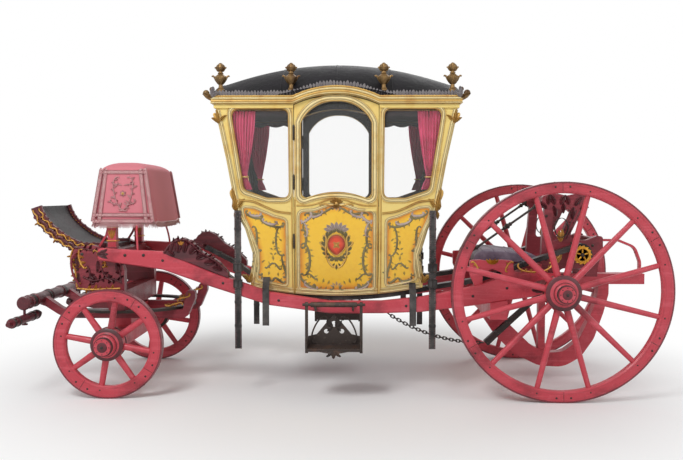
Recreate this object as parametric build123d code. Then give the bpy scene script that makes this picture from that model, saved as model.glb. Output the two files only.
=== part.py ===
from build123d import *

# Horse-drawn coach of the berlin type: a cabin slung in leather braces between two side perches.
# X runs to the rear, Y to the right-hand side as the driver sits, and Z up, in millimetres.
# The origin is on the ground, at the middle of the whole outline. The coach faces -X.

import os
from collections import namedtuple

# Gaps
FIT = 0.3
RUNNING_GAP = 0.3
DOOR_GAP = 5.0

# Widths that follow from the cabin
CABIN_HALF_WIDTH = 525
SILL_HALF_WIDTH = CABIN_HALF_WIDTH - 90
PERCH_SPACING = 2 * (CABIN_HALF_WIDTH - 20)
REAR_TRACK = 2 * CABIN_HALF_WIDTH + 450
FRONT_TRACK = REAR_TRACK - 140

# Running gear
WHEELBASE = 3318
REAR_AXLE_X = 1590
FRONT_AXLE_X = REAR_AXLE_X - WHEELBASE
REAR_WHEEL_DIAMETER = 1600
FRONT_WHEEL_DIAMETER = 810
RIM_WIDTH = 60
TYRE_THICKNESS = 12
REAR_AXLE_Z = REAR_WHEEL_DIAMETER / 2
FRONT_AXLE_Z = FRONT_WHEEL_DIAMETER / 2

Wheel = namedtuple(
    "Wheel",
    "diameter track spokes first_angle felloe_depth nave_diameter nose_diameter root_diameter "
    "inner_length outer_length spoke_root spoke_tip arm_diameter",
)
REAR_WHEEL = Wheel(
    diameter=REAR_WHEEL_DIAMETER,
    track=REAR_TRACK,
    spokes=12,
    first_angle=16,
    felloe_depth=72,
    nave_diameter=250,
    nose_diameter=124,
    root_diameter=150,
    inner_length=150,
    outer_length=140,
    spoke_root=50,
    spoke_tip=38,
    arm_diameter=64,
)
FRONT_WHEEL = Wheel(
    diameter=FRONT_WHEEL_DIAMETER,
    track=FRONT_TRACK,
    spokes=8,
    first_angle=35,
    felloe_depth=80,
    nave_diameter=235,
    nose_diameter=130,
    root_diameter=140,
    inner_length=130,
    outer_length=150,
    spoke_root=52,
    spoke_tip=42,
    arm_diameter=60,
)
NAVE_FLANGE = 76
NAVE_END_WALL = 14
SPOKE_SINK = 20

# Side perches. Each row is a station: its place along the coach, then the top and bottom heights.
PERCH_WIDTH = 70
PERCH_FRONT_OVERHANG = 122
PERCH_BEND = 140
PERCH_STATIONS = (
    (-1355, 1077, 940),
    (-973, 917, 806),
    (-553, 773, 673),
    (-95, 704, 612),
    (300, 705, 613),
    (600, 738, 624),
    (1006, 821, 676),
    (1235, 898, 712),
    (1422, 845, 738),
)
PERCH_NOSE_TOP = 1102
PERCH_NOSE_BOTTOM = 1012
PERCH_TAIL_TOP = 8
PERCH_TAIL_BOTTOM = 30
PERCH_EDGE = 9

# Rear carriage
AXLE_BED_LENGTH = 124
AXLE_BED_DEPTH = 140
REAR_TRANSOM_X = 1175
REAR_TRANSOM_LENGTH = 130
REAR_TRANSOM_BOTTOM = 568
REAR_TRANSOM_TOP = 735
REAR_BEAM_WIDTH = 130
REAR_BEAM_DEPTH = 84
REAR_BEAM_TOP = 866
REAR_BEAM_END_X = 2440
UNDER_BOW_WIDTH = 90
BOW_POST_SIZE = 56
BOARD_FRONT_X = 1000
BOARD_TOP = 968
BOARD_THICKNESS = 34
BEARER_DEPTH = 30
BOARD_RAIL_THICKNESS = 38
PAD_THICKNESS = 110
WINDER_X = 1820
WINDER_Z = 1049
WINDER_DRUM = 100
RATCHET_DIAMETER = 150
RATCHET_THICKNESS = 14
WINDER_SHAFT = 36
STANDARD_SPACING = 560
STANDARD_THICKNESS = 50
STANDARD_TOP = 1496
STANDARD_REAR_X = 2030
ROD_THICKNESS = 16
HANDLE_BAR_Z = 1136
DRAG_STAFF_Y = -170
DRAG_STAFF_WIDTH = 46
LINK_LENGTH = 46
LINK_WIDTH = 28
LINK_WIRE = 7

# Cabin
CABIN_X = -45
WALL = 30
CABIN_BOTTOM = 733
CABIN_CORNER_BOTTOM = 800
CABIN_TOP = 2153
ELBOW_Z = 1368
# Half lengths of the cabin from the bottom up: height, half length.
CABIN_PROFILE = (
    (846, 655),
    (1051, 622),
    (1255, 682),
    (ELBOW_Z, 745),
    (1767, 818),
    (CABIN_TOP, 902),
)
FLOOR_THICKNESS = 30
DOOR_WIDTH = 634
DOOR_STILE = 52
DOOR_HEAD_GAP = 12
HINGE_STANDOFF = 8
HANDLE_Z = 1392
HANDLE_REACH = 34
DOOR_SHOULDER_Z = 2176
DOOR_CROWN_Z = 2246
WINDOW_SILL_Z = 1481
GLASS_THICKNESS = 5
FRONT_WINDOW_WIDTH = 620
FRONT_WINDOW_LOW = 1560
FRONT_WINDOW_HIGH = 2080
FRONT_WINDOW_CORNER = 50
CORNICE_OVERHANG = 28
CORNICE_STEP_Z = 2184
CORNICE_TOP = 2228
CORNICE_CROWN = 2302
ROOF_CREST = 2545
ROOF_END_CREST = 2372
ROOF_SHELL = 26
SEAT_DEPTH = 360
SEAT_HEIGHT = 330
CUSHION_THICKNESS = 90
FINIAL_HEIGHT = 212
FINIAL_FOOT_Z = 2278

# Leather
BRACE_WIDTH = 78
BRACE_THICKNESS = 36
BRACE_Y = CABIN_HALF_WIDTH - 140
BOARD_WIDTH = 2 * BRACE_Y - BRACE_WIDTH - 22
BRACE_ANCHOR = (-1237, 1062)
BRACE_PIN = 30
STRAP_WIDTH = 50
STRAP_THICKNESS = 8
CHECK_STRAP_PLACES = (-785, 676)
# Place along the coach, and height of the bend over the perch.
COLLAR_STRAP_PLACES = ((-577, 806), (530, 752))

# Front carriage that stays with the body
BOLSTER_LENGTH = 120
WHEEL_PLATE_RADIUS = 500
WHEEL_PLATE_WIDTH = 62
WHEEL_PLATE_THICKNESS = 20
KING_PIN_DIAMETER = 36
FOOTBOARD_WIDTH = 640
FOOTBOARD_THICKNESS = 26
COACH_FRONT_X = -2440
RIM_THICKNESS = 26
RIM_DEPTH = 84
LINING_THICKNESS = 4
FOOTBOARD_SEAT_Z = 1076
SEAT_POST_Y = 360
SEAT_POST_X = FRONT_AXLE_X - 57
SEAT_POST_SIZE = 64
SEAT_STAY = 16
BOX_SEAT_Z = 1330
BOX_SEAT_HEIGHT = 369
BOX_SEAT_CORNER = 60
HAMMERCLOTH_TOP = 1755
HEM_DROP = 40
HAMMERCLOTH_HEM = BOX_SEAT_Z - HEM_DROP
HAMMERCLOTH_HALF_WIDTH = 440
SEAT_HALF_WIDTH = HAMMERCLOTH_HALF_WIDTH - 68
HAMMERCLOTH_X = SEAT_POST_X + 100

# Fore-carriage, which steers
FUTCHELL_SPACING = 500
FUTCHELL_WIDTH = 64
FUTCHELL_DEPTH = 70
FUTCHELL_Z = 530
AXLE_BLOCK_DEPTH = 124
AXLE_BLOCK_LENGTH = 110
SPLINTER_BAR_DIAMETER = 90
SPLINTER_BAR_LENGTH = 1200
SPLINTER_BAR_Z = 690
POLE_PIN_BORE = 32
SWINGLETREE_DIAMETER = 66
SWINGLETREE_LENGTH = 560
SWINGLETREE_Y = 575
SWINGLETREE_Z = 572
TRACE_PIN_DIAMETER = 34
TRACE_PIN_LENGTH = 46

# Folding steps
STEP_X = -60
STEP_Y = CABIN_HALF_WIDTH + 175
STEP_PIVOT_Z = 702
STEP_WIDTH = 400
STEP_TREAD_Z = 392
STEP_TREAD_DEPTH = 190
STEP_ARM = 22
STEP_EYE = 40
STEP_ROD = 21
STEP_SLEEVE = 38
STEP_PLATE = 8
STEP_CREST_Z = 612


def outline(rows):
    """A closed outline from rows of: along, up, corner radius."""
    points = [(along, up) for along, up, _ in rows]
    return make_face(FilletPolyline(*points, radius=[row[2] for row in rows], close=True))


def slab(face, y_from, y_to):
    """A plate cut to a side outline, reaching from one Y to another."""
    return extrude(Plane.XZ.offset(-y_to) * face, amount=y_to - y_from)


def bar_along_x(face, x_from, x_to):
    """A bar with an end outline, reaching from one X to another."""
    return extrude(Plane.YZ.offset(x_from) * face, amount=x_to - x_from)


def box(x_from, x_to, y_from, y_to, z_from, z_to):
    size = (x_to - x_from, y_to - y_from, z_to - z_from)
    middle = ((x_from + x_to) / 2, (y_from + y_to) / 2, (z_from + z_to) / 2)
    return Pos(*middle) * Box(*size)


def rod_y(x, z, diameter, y_from, y_to):
    return Pos(x, (y_from + y_to) / 2, z) * Rot(X=90) * Cylinder(diameter / 2, y_to - y_from)


def rod_z(x, y, diameter, z_from, z_to):
    return Pos(x, y, (z_from + z_to) / 2) * Cylinder(diameter / 2, z_to - z_from)


def right_copy(shape):
    return mirror(shape, about=Plane.XZ)


def pair(shape):
    """A left-hand piece and its right-hand copy."""
    return [shape, right_copy(shape)]


def ribbon(path, width, thickness, y_middle):
    """A flat strap or plate that follows a line in the side view."""
    band = trace(path, line_width=thickness)
    return slab(band, y_middle - width / 2, y_middle + width / 2)


def tube(path, diameter):
    """A round bar along a path drawn in space."""
    start = Plane(origin=path @ 0, z_dir=path % 0)
    return sweep(start * Circle(diameter / 2), path=path)


def largest(shape):
    """The biggest solid of a cut that may leave crumbs."""
    return max(shape.solids(), key=lambda solid: solid.volume)


# Wheels
def nave_profile(wheel):
    """Half section of a nave: radius, then distance outward along the axle."""
    bore = wheel.arm_diameter / 2 + RUNNING_GAP
    flange = wheel.nave_diameter / 2
    root = wheel.root_diameter / 2
    nose = wheel.nose_diameter / 2
    half_flange = NAVE_FLANGE / 2
    arm_end = wheel.outer_length - NAVE_END_WALL
    return make_face(
        Polyline(
            (bore, -wheel.inner_length),
            (root, -wheel.inner_length),
            (root * 1.1, -half_flange - 40),
            (flange * 0.86, -half_flange - 12),
            (flange, -half_flange),
            (flange, half_flange),
            (flange * 0.84, half_flange + 16),
            (nose * 1.25, half_flange + 30),
            (nose * 1.2, wheel.outer_length - 46),
            (nose, wheel.outer_length - 36),
            (nose * 0.92, wheel.outer_length),
            (0, wheel.outer_length),
            (0, arm_end),
            (bore, arm_end),
            close=True,
        )
    )


def rim_inner_radius(wheel):
    return wheel.diameter / 2 - TYRE_THICKNESS - wheel.felloe_depth


def make_nave_and_spokes(wheel):
    nave = revolve(nave_profile(wheel), Axis.Y)
    nave = mirror(nave, about=Plane.XZ)
    start = wheel.nave_diameter / 2 - SPOKE_SINK
    reach = rim_inner_radius(wheel) - start + SPOKE_SINK
    spoke = Cone(wheel.spoke_root / 2, wheel.spoke_tip / 2, reach)
    spokes = [
        Rot(Y=90 - wheel.first_angle - turn * 360 / wheel.spokes) * Pos(0, 0, start + reach / 2) * spoke
        for turn in range(wheel.spokes)
    ]
    trim = Rot(X=90) * Cylinder(rim_inner_radius(wheel), wheel.inner_length + wheel.outer_length)
    trim = Pos(0, (wheel.inner_length - wheel.outer_length) / 2, 0) * trim
    return (nave + spokes) & trim


def make_ring(inner, outer, width, chamfer_size):
    half = width / 2
    section = Polyline(
        (inner + chamfer_size, -half),
        (outer, -half),
        (outer, half),
        (inner + chamfer_size, half),
        (inner, half - chamfer_size),
        (inner, chamfer_size - half),
        close=True,
    )
    return revolve(make_face(section), Axis.Y)


def make_wheel(wheel, x):
    """Left-hand wheel pieces by name, at their place on the axle."""
    rim_outer = wheel.diameter / 2 - TYRE_THICKNESS
    place = Pos(x, -wheel.track / 2, wheel.diameter / 2)
    return {
        "nave": place * make_nave_and_spokes(wheel),
        "rim": place * make_ring(rim_inner_radius(wheel), rim_outer - FIT, RIM_WIDTH, 9),
        "tyre": place * make_ring(rim_outer, wheel.diameter / 2, RIM_WIDTH - 4, 0.5),
    }


def axle_arm(wheel, x):
    """The left iron arm that runs in the nave."""
    tip = wheel.track / 2 + wheel.outer_length - NAVE_END_WALL - 2
    root = wheel.track / 2 - wheel.inner_length - 20
    return rod_y(x, wheel.diameter / 2, wheel.arm_diameter, -tip, -root)


# Perches and rear carriage
def perch_y():
    return PERCH_SPACING / 2


def perch_outline():
    front = FRONT_AXLE_X - PERCH_FRONT_OVERHANG
    tail = REAR_AXLE_X - AXLE_BED_LENGTH / 2
    top = [(front, PERCH_NOSE_TOP, 25)] + [(x, up, PERCH_BEND) for x, up, _ in PERCH_STATIONS]
    bottom = [(x, down, PERCH_BEND) for x, _, down in reversed(PERCH_STATIONS)]
    tail_rows = [(tail, REAR_AXLE_Z + PERCH_TAIL_TOP, 0), (tail, REAR_AXLE_Z - PERCH_TAIL_BOTTOM, 0)]
    return outline(top + tail_rows + bottom + [(front, PERCH_NOSE_BOTTOM, 25)])


def perch_bar():
    """The left perch before its edges are taken off."""
    half = PERCH_WIDTH / 2
    return slab(perch_outline(), -perch_y() - half, -perch_y() + half)


def make_perch():
    """The left perch, its long edges taken off between the nose and the axle bed."""
    bar = perch_bar()
    faces = [bar.faces().sort_by(Axis.Y)[0], bar.faces().sort_by(Axis.Y)[-1]]
    tail = REAR_AXLE_X - AXLE_BED_LENGTH / 2 - 1
    edges = [edge for face in faces for edge in face.edges() if edge.center().X < tail]
    return chamfer(edges, PERCH_EDGE)


def make_rear_axle():
    """Timber bed with its two iron arms and the post that stands on the bow below."""
    end = REAR_TRACK / 2 - REAR_WHEEL.inner_length - 12
    half = AXLE_BED_LENGTH / 2
    low = REAR_AXLE_Z - AXLE_BED_DEPTH / 2
    high = REAR_AXLE_Z + AXLE_BED_DEPTH / 2
    bed = box(REAR_AXLE_X - half, REAR_AXLE_X + half, -end, end, low, high)
    arms = pair(axle_arm(REAR_WHEEL, REAR_AXLE_X))
    half_post = BOW_POST_SIZE / 2
    front = REAR_AXLE_X + half - BOW_POST_SIZE
    post = box(front, front + BOW_POST_SIZE, -half_post, half_post, 160, low + 1) - make_under_bow()
    return bed + arms + largest(post)


def bed_top():
    return REAR_AXLE_Z + AXLE_BED_DEPTH / 2


def make_rear_transom():
    """Cross-beam ahead of the axle, with the two perches let into its top."""
    half = REAR_TRANSOM_LENGTH / 2
    reach = perch_y() + PERCH_WIDTH / 2
    front = REAR_TRANSOM_X - half
    block = box(front, front + 2 * half, -reach, reach, REAR_TRANSOM_BOTTOM, REAR_TRANSOM_TOP)
    left = slab(perch_outline(), -reach - 1, PERCH_WIDTH - reach)
    return block - left - right_copy(left)


def make_under_bow():
    """Curved beam that hangs below the rear axle, from the transom to the rear beam."""
    beam_low = REAR_BEAM_TOP - REAR_BEAM_DEPTH
    front = REAR_TRANSOM_X - REAR_TRANSOM_LENGTH / 2
    rows_outer = (
        (front + 10, REAR_TRANSOM_BOTTOM, 0),
        (front + 40, 500, 60),
        (1250, 352, 200),
        (1391, 211, 200),
        (1600, 108, 250),
        (1800, 100, 200),
        (1940, 180, 200),
        (2045, 330, 200),
        (2120, 545, 200),
        (2160, 700, 100),
        (2160, beam_low, 0),
    )
    rows_inner = (
        (2080, beam_low, 0),
        (2060, 640, 150),
        (2000, 480, 200),
        (1920, 320, 150),
        (1800, 225, 120),
        (1660, 215, 150),
        (1538, 275, 150),
        (1414, 394, 200),
        (front + 128, REAR_TRANSOM_BOTTOM, 0),
    )
    half = UNDER_BOW_WIDTH / 2
    return slab(outline(rows_outer + rows_inner), -half, half)


def make_rear_beam():
    """Central beam behind the axle, with the iron handle that rises from its end."""
    half = REAR_BEAM_WIDTH / 2
    start = REAR_AXLE_X + AXLE_BED_LENGTH / 2
    low = REAR_BEAM_TOP - REAR_BEAM_DEPTH
    beam = box(start, REAR_BEAM_END_X, -half, half, low, REAR_BEAM_TOP)
    handle = FilletPolyline(
        (STANDARD_REAR_X, HANDLE_BAR_Z),
        (2240, HANDLE_BAR_Z),
        (2375, 1080),
        (REAR_BEAM_END_X - 20, 960),
        (REAR_BEAM_END_X - 20, REAR_BEAM_TOP - 1),
        radius=[100, 90, 90],
    )
    return beam + ribbon(handle, 40, 18, 0)


# Cabin
def cabin_half_outline(inset):
    """Side outline of the cabin, drawn in by an inset all round but open upward and downward."""
    right = [(CABIN_X + half - inset, up, 60) for up, half in CABIN_PROFILE]
    left = [(CABIN_X - half + inset, up, 60) for up, half in CABIN_PROFILE]
    return right, left


def side_outline(inset, high=CABIN_TOP):
    """The cabin in side view, drawn in at both ends by an inset."""
    right, left = cabin_half_outline(inset)
    (last_z, last_half), (before_z, before_half) = CABIN_PROFILE[-1], CABIN_PROFILE[-2]
    grow = (high - last_z) * (last_half - before_half) / (last_z - before_z)
    top_half = last_half - inset + grow
    low_half = CABIN_PROFILE[0][1] - inset
    low = CABIN_BOTTOM - 1
    rows = [(CABIN_X + low_half, low, 0)] + right[:-1] + [(CABIN_X + top_half, high, 0)]
    rows += [(CABIN_X - top_half, high, 0)] + list(reversed(left[:-1])) + [(CABIN_X - low_half, low, 0)]
    return outline(rows)


def belly_cut():
    """Everything below the curved bottom edge of the cabin."""
    reach = 1200
    rise = CABIN_CORNER_BOTTOM - CABIN_BOTTOM
    half = CABIN_PROFILE[0][1]
    arc = ThreePointArc(
        (CABIN_X - half, CABIN_CORNER_BOTTOM), (CABIN_X, CABIN_BOTTOM), (CABIN_X + half, CABIN_CORNER_BOTTOM)
    )
    rest = Polyline(
        (CABIN_X + half, CABIN_CORNER_BOTTOM),
        (CABIN_X + reach, CABIN_CORNER_BOTTOM + rise),
        (CABIN_X + reach, CABIN_BOTTOM - 400),
        (CABIN_X - reach, CABIN_BOTTOM - 400),
        (CABIN_X - reach, CABIN_CORNER_BOTTOM + rise),
        (CABIN_X - half, CABIN_CORNER_BOTTOM),
    )
    return slab(make_face(Curve() + [arc, rest]), -CABIN_HALF_WIDTH - 50, CABIN_HALF_WIDTH + 50)


def end_outline(inset, low, high):
    """The cabin in end view: upright above the elbow line and turned under below it."""
    wide = CABIN_HALF_WIDTH - inset
    sill = SILL_HALF_WIDTH - inset
    middle = (wide + sill) / 2 + (wide - sill) * 0.22
    middle_z = (low + ELBOW_Z) / 2
    edges = [
        Line((-sill, low), (sill, low)),
        ThreePointArc((sill, low), (middle, middle_z), (wide, ELBOW_Z)),
        Line((wide, ELBOW_Z), (wide, high)),
        Line((wide, high), (-wide, high)),
        Line((-wide, high), (-wide, ELBOW_Z)),
        ThreePointArc((-wide, ELBOW_Z), (-middle, middle_z), (-sill, low)),
    ]
    return make_face(Curve() + edges)


def height_band(low, high):
    return box(-3000, 3000, -1000, 1000, low, high)


def cabin_block(inset_ends, high):
    """The cabin's outer form up to a height."""
    reach = 1300
    ends = bar_along_x(end_outline(0, CABIN_BOTTOM - 1, CABIN_TOP + 400), -reach, reach)
    side = slab(side_outline(inset_ends, high), -CABIN_HALF_WIDTH - 60, CABIN_HALF_WIDTH + 60)
    return ends & side


def make_left_side():
    """The whole left wall, before the door and windows are cut."""
    outer = cabin_block(0, CABIN_TOP)
    inner = bar_along_x(end_outline(WALL, CABIN_BOTTOM - 1, CABIN_TOP + 400), -1400, 1400)
    # The inner block runs on below and above, so that only the two side walls stay.
    wall = outer - inner
    half = box(-2000, 2000, -CABIN_HALF_WIDTH - 10, 0, 0, 3000)
    return (wall & half) - belly_cut()


def hinge_x():
    return CABIN_X - (DOOR_WIDTH + DOOR_GAP) / 2


def door_sweep(grow):
    """Cylinder about the left hinge that the free edge of the door keeps inside."""
    reach = DOOR_WIDTH + DOOR_GAP / 2 + grow
    return rod_z(hinge_x(), -CABIN_HALF_WIDTH - HINGE_STANDOFF, 2 * reach, CABIN_BOTTOM - 100, CABIN_TOP + 400)


def door_outline(grow, head_grow=0.0):
    """The door in side view: square below, arched above."""
    half = DOOR_WIDTH / 2 + grow
    left = CABIN_X - half
    right = CABIN_X + half
    low = CABIN_BOTTOM - 60
    shoulder = DOOR_SHOULDER_Z + head_grow
    edges = [
        Line((left, shoulder), (left, low)),
        Line((left, low), (right, low)),
        Line((right, low), (right, shoulder)),
        ThreePointArc((right, shoulder), (CABIN_X, DOOR_CROWN_Z + head_grow), (left, shoulder)),
    ]
    return make_face(Curve() + edges)


def quarter_window(grow):
    """Front quarter window: its outer edge leans with the end of the cabin."""
    rows = (
        (-793 - grow, 2146 + grow, 52),
        (-360 + grow, 2146 + grow, 52),
        (-355 + grow, WINDOW_SILL_Z - grow, 52),
        (-520, WINDOW_SILL_Z - grow, 80),
        (-695 - grow, WINDOW_SILL_Z + 62 - grow, 52),
    )
    return outline([(CABIN_X + along, up, radius) for along, up, radius in rows])


def door_window(grow):
    half = DOOR_WIDTH / 2 - DOOR_STILE + grow
    left = CABIN_X - half
    right = CABIN_X + half
    low = WINDOW_SILL_Z - grow
    shoulder = 2045
    edges = [
        Line((left, shoulder), (left, low + 50)),
        ThreePointArc((left, low + 50), (left + 15, low + 15), (left + 50, low)),
        ThreePointArc((left + 50, low), (CABIN_X, low + 46), (right - 50, low)),
        ThreePointArc((right - 50, low), (right - 15, low + 15), (right, low + 50)),
        Line((right, low + 50), (right, shoulder)),
        ThreePointArc((right, shoulder), (CABIN_X + 165, 2160 + grow), (CABIN_X, 2204 + grow)),
        ThreePointArc((CABIN_X, 2204 + grow), (CABIN_X - 165, 2160 + grow), (left, shoulder)),
    ]
    return make_face(Curve() + edges)


def left_cut(face):
    return slab(face, -CABIN_HALF_WIDTH - 40, -CABIN_HALF_WIDTH + WALL + 60)


def make_side_pieces():
    """Front quarter, rear quarter and door leaf of the left wall."""
    wall = make_left_side()
    front_opening = left_cut(quarter_window(0))
    rear_opening = mirror(front_opening, about=Plane.YZ.offset(CABIN_X))
    doorway = slab(door_outline(DOOR_GAP + 20), -2000, 0) & door_sweep(DOOR_GAP)
    doorway &= box(hinge_x() - DOOR_GAP / 2, 3000, -2000, 0, 0, 3000)
    frame = wall - doorway - front_opening - rear_opening
    middle = CABIN_X
    front = frame & box(-3000, middle, -2000, 0, 0, 3000)
    rear = frame & box(middle, 3000, -2000, 0, 0, 3000)
    tall = cabin_block(-60, DOOR_CROWN_Z + 60)
    inner = bar_along_x(end_outline(WALL, CABIN_BOTTOM - 1, CABIN_TOP + 400), -1400, 1400)
    leaf = (tall - inner) & slab(door_outline(0), -CABIN_HALF_WIDTH - 10, 0)
    leaf = (leaf & door_sweep(0)) - belly_cut() - left_cut(door_window(0))
    return front, rear, leaf + make_handle()


def make_handle():
    """Lever handle on its rose, near the free edge of the left door."""
    x = CABIN_X + DOOR_WIDTH / 2 - 36
    face = -CABIN_HALF_WIDTH
    rose = rod_y(x, HANDLE_Z, 44, face - 6, face)
    neck = rod_y(x, HANDLE_Z, 16, face - HANDLE_REACH, face)
    lever = box(x - 62, x + 10, face - HANDLE_REACH, face - HANDLE_REACH + 9, HANDLE_Z - 9, HANDLE_Z + 9)
    return rose + neck + lever


def glass_pane(face):
    middle = -CABIN_HALF_WIDTH + WALL / 2
    return slab(face, middle - GLASS_THICKNESS / 2, middle + GLASS_THICKNESS / 2)


def cabin_inside(low, high):
    """The space inside the four walls between two heights."""
    side = slab(side_outline(WALL), -CABIN_HALF_WIDTH, CABIN_HALF_WIDTH)
    ends = bar_along_x(end_outline(WALL, CABIN_BOTTOM - 1, CABIN_TOP + 400), -1400, 1400)
    return side & ends & height_band(low, high)


def make_end_walls():
    """Front wall, with its window, and closed rear wall, both between the side walls."""
    outer = slab(side_outline(0), -CABIN_HALF_WIDTH, CABIN_HALF_WIDTH)
    between = bar_along_x(end_outline(WALL, CABIN_BOTTOM - 1, CABIN_TOP + 400), -1400, 1400)
    hollow = slab(side_outline(WALL, CABIN_TOP + 1), -CABIN_HALF_WIDTH - 1, CABIN_HALF_WIDTH + 1)
    walls = (outer & between) - hollow - belly_cut()
    front = walls & box(-3000, CABIN_X - 300, -1000, 1000, 0, 3000)
    rear = walls & box(CABIN_X + 300, 3000, -1000, 1000, 0, 3000)
    return front - front_window(0), rear


def front_window(grow):
    half = FRONT_WINDOW_WIDTH / 2 + grow
    opening = box(-3000, CABIN_X - 300, -half, half, FRONT_WINDOW_LOW - grow, FRONT_WINDOW_HIGH + grow)
    return fillet(opening.edges().filter_by(Axis.X), FRONT_WINDOW_CORNER + grow)


def make_front_glass():
    """Pane in the middle of the front wall's thickness, following its lean."""
    outer = WALL / 2 - GLASS_THICKNESS / 2
    sheet = slab(side_outline(outer), -CABIN_HALF_WIDTH, CABIN_HALF_WIDTH)
    sheet -= slab(side_outline(outer + GLASS_THICKNESS, CABIN_TOP + 1), -CABIN_HALF_WIDTH - 1, CABIN_HALF_WIDTH + 1)
    return sheet & front_window(-FIT)


def door_recess():
    """Clearance behind the two doors, for what stands inside the cabin."""
    clear = bar_along_x(end_outline(WALL + DOOR_GAP, CABIN_BOTTOM - 1, CABIN_TOP + 400), -1400, 1400)
    return slab(door_outline(2 * DOOR_GAP), -900, 900) - clear


def make_floor():
    space = cabin_inside(CABIN_BOTTOM - 1, CABIN_CORNER_BOTTOM + FLOOR_THICKNESS)
    return space - belly_cut() - door_recess()


def seat_edge():
    """X of the front seat's edge, which faces the rear seat."""
    return CABIN_X - CABIN_PROFILE[0][1] + WALL + SEAT_DEPTH + 13


def make_seats():
    low = CABIN_CORNER_BOTTOM + FLOOR_THICKNESS
    space = cabin_inside(low, low + SEAT_HEIGHT) - door_recess()
    front = space & box(-3000, seat_edge(), -1000, 1000, 0, 3000)
    return [front, mirror(front, about=Plane.YZ.offset(CABIN_X))]


def make_cushions():
    low = CABIN_CORNER_BOTTOM + FLOOR_THICKNESS + SEAT_HEIGHT + FIT
    ends = bar_along_x(end_outline(WALL + 25, CABIN_BOTTOM - 1, CABIN_TOP + 400), -1400, 1400)
    side = slab(side_outline(WALL + 12), -CABIN_HALF_WIDTH, CABIN_HALF_WIDTH) & ends
    side &= height_band(low, low + CUSHION_THICKNESS)
    front = side & box(-3000, seat_edge(), -1000, 1000, 0, 3000)
    return [front, mirror(front, about=Plane.YZ.offset(CABIN_X))]


def cornice_region(high_flat, high_crown):
    """Everything below a flat edge that arches up over the door."""
    half = DOOR_WIDTH / 2 + DOOR_GAP
    reach = 1100
    left = CABIN_X - half
    right = CABIN_X + half
    edges = [
        Line((CABIN_X - reach, 1500), (CABIN_X - reach, high_flat)),
        Line((CABIN_X - reach, high_flat), (left, high_flat)),
        ThreePointArc((left, high_flat), (CABIN_X, high_crown), (right, high_flat)),
        Line((right, high_flat), (CABIN_X + reach, high_flat)),
        Line((CABIN_X + reach, high_flat), (CABIN_X + reach, 1500)),
        Line((CABIN_X + reach, 1500), (CABIN_X - reach, 1500)),
    ]
    return slab(make_face(Curve() + edges), -900, 900)


def make_cornice():
    """Moulding that rings the top of the walls and arches over each door."""
    half_length = CABIN_PROFILE[-1][1] + CORNICE_OVERHANG
    half_width = CABIN_HALF_WIDTH + CORNICE_OVERHANG
    ring = box(CABIN_X - half_length, CABIN_X + half_length, -half_width, half_width, CORNICE_STEP_Z, 2400)
    back = CORNICE_OVERHANG / 2
    ring += box(
        CABIN_X - half_length + back,
        CABIN_X + half_length - back,
        -half_width + back,
        half_width - back,
        CABIN_TOP,
        CORNICE_STEP_Z + 1,
    )
    hole_length = CABIN_PROFILE[-1][1] - WALL
    hole_width = CABIN_HALF_WIDTH - WALL
    hole = box(CABIN_X - hole_length, CABIN_X + hole_length, -hole_width, hole_width, 2000, 2500)
    doorway = slab(door_outline(DOOR_GAP, DOOR_HEAD_GAP), -900, 900)
    return ((ring - hole) & cornice_region(CORNICE_TOP, CORNICE_CROWN)) - doorway


def roof_section(x, half_width, edge, crest, bottom):
    edges = [
        Line((-half_width, bottom), (half_width, bottom)),
        Line((half_width, bottom), (half_width, edge)),
        ThreePointArc((half_width, edge), (0, crest), (-half_width, edge)),
        Line((-half_width, edge), (-half_width, bottom)),
    ]
    return Plane.YZ.offset(x) * make_face(Curve() + edges)


def roof_solid(inset, bottom):
    half_width = CABIN_HALF_WIDTH + CORNICE_OVERHANG - 6 - inset
    half_length = CABIN_PROFILE[-1][1] + CORNICE_OVERHANG - 6 - inset
    # Stations: share of the half length, edge height, crest height.
    rows = (
        (-1.0, CORNICE_TOP + 16, ROOF_END_CREST),
        (-0.45, CORNICE_TOP + 24, ROOF_CREST - 34),
        (0.0, CORNICE_CROWN + 14, ROOF_CREST),
        (0.45, CORNICE_TOP + 24, ROOF_CREST - 34),
        (1.0, CORNICE_TOP + 16, ROOF_END_CREST),
    )
    sections = [
        roof_section(CABIN_X + share * half_length, half_width, edge - inset, crest - inset, bottom)
        for share, edge, crest in rows
    ]
    return loft(sections)


def make_roof():
    outer = roof_solid(0, 2120)
    inner = roof_solid(ROOF_SHELL, 2100)
    return outer - inner - cornice_region(CORNICE_TOP, CORNICE_CROWN)


def make_finial():
    """One turned finial with its ball and flame."""
    tall = FINIAL_HEIGHT
    profile = Polyline(
        (0, 0),
        (30, 0),
        (30, 14),
        (17, 26),
        (15, 50),
        (24, 62),
        (40, 88),
        (44, 108),
        (28, 122),
        (17, 132),
        (15, 148),
        (27, 160),
        (31, 178),
        (24, 198),
        (8, tall),
        (0, tall),
        close=True,
    )
    return revolve(make_face(profile).rotate(Axis.X, 90), Axis.Z)


# Places of the finials along the cabin, from its middle.
FINIAL_PLACES = (-867, -338, 354, 867)


def make_finials(roof):
    """Eight finials whose feet are cut to the roof."""
    finial = make_finial() + rod_z(0, 0, 60, -70, 1)
    y = CABIN_HALF_WIDTH + CORNICE_OVERHANG - 48
    places = [Pos(CABIN_X + x, side * y, FINIAL_FOOT_Z) for x in FINIAL_PLACES for side in (-1, 1)]
    roof_below = roof + cornice_region(CORNICE_TOP, CORNICE_CROWN)
    return [largest(place * finial - roof_below) for place in places]


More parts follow.
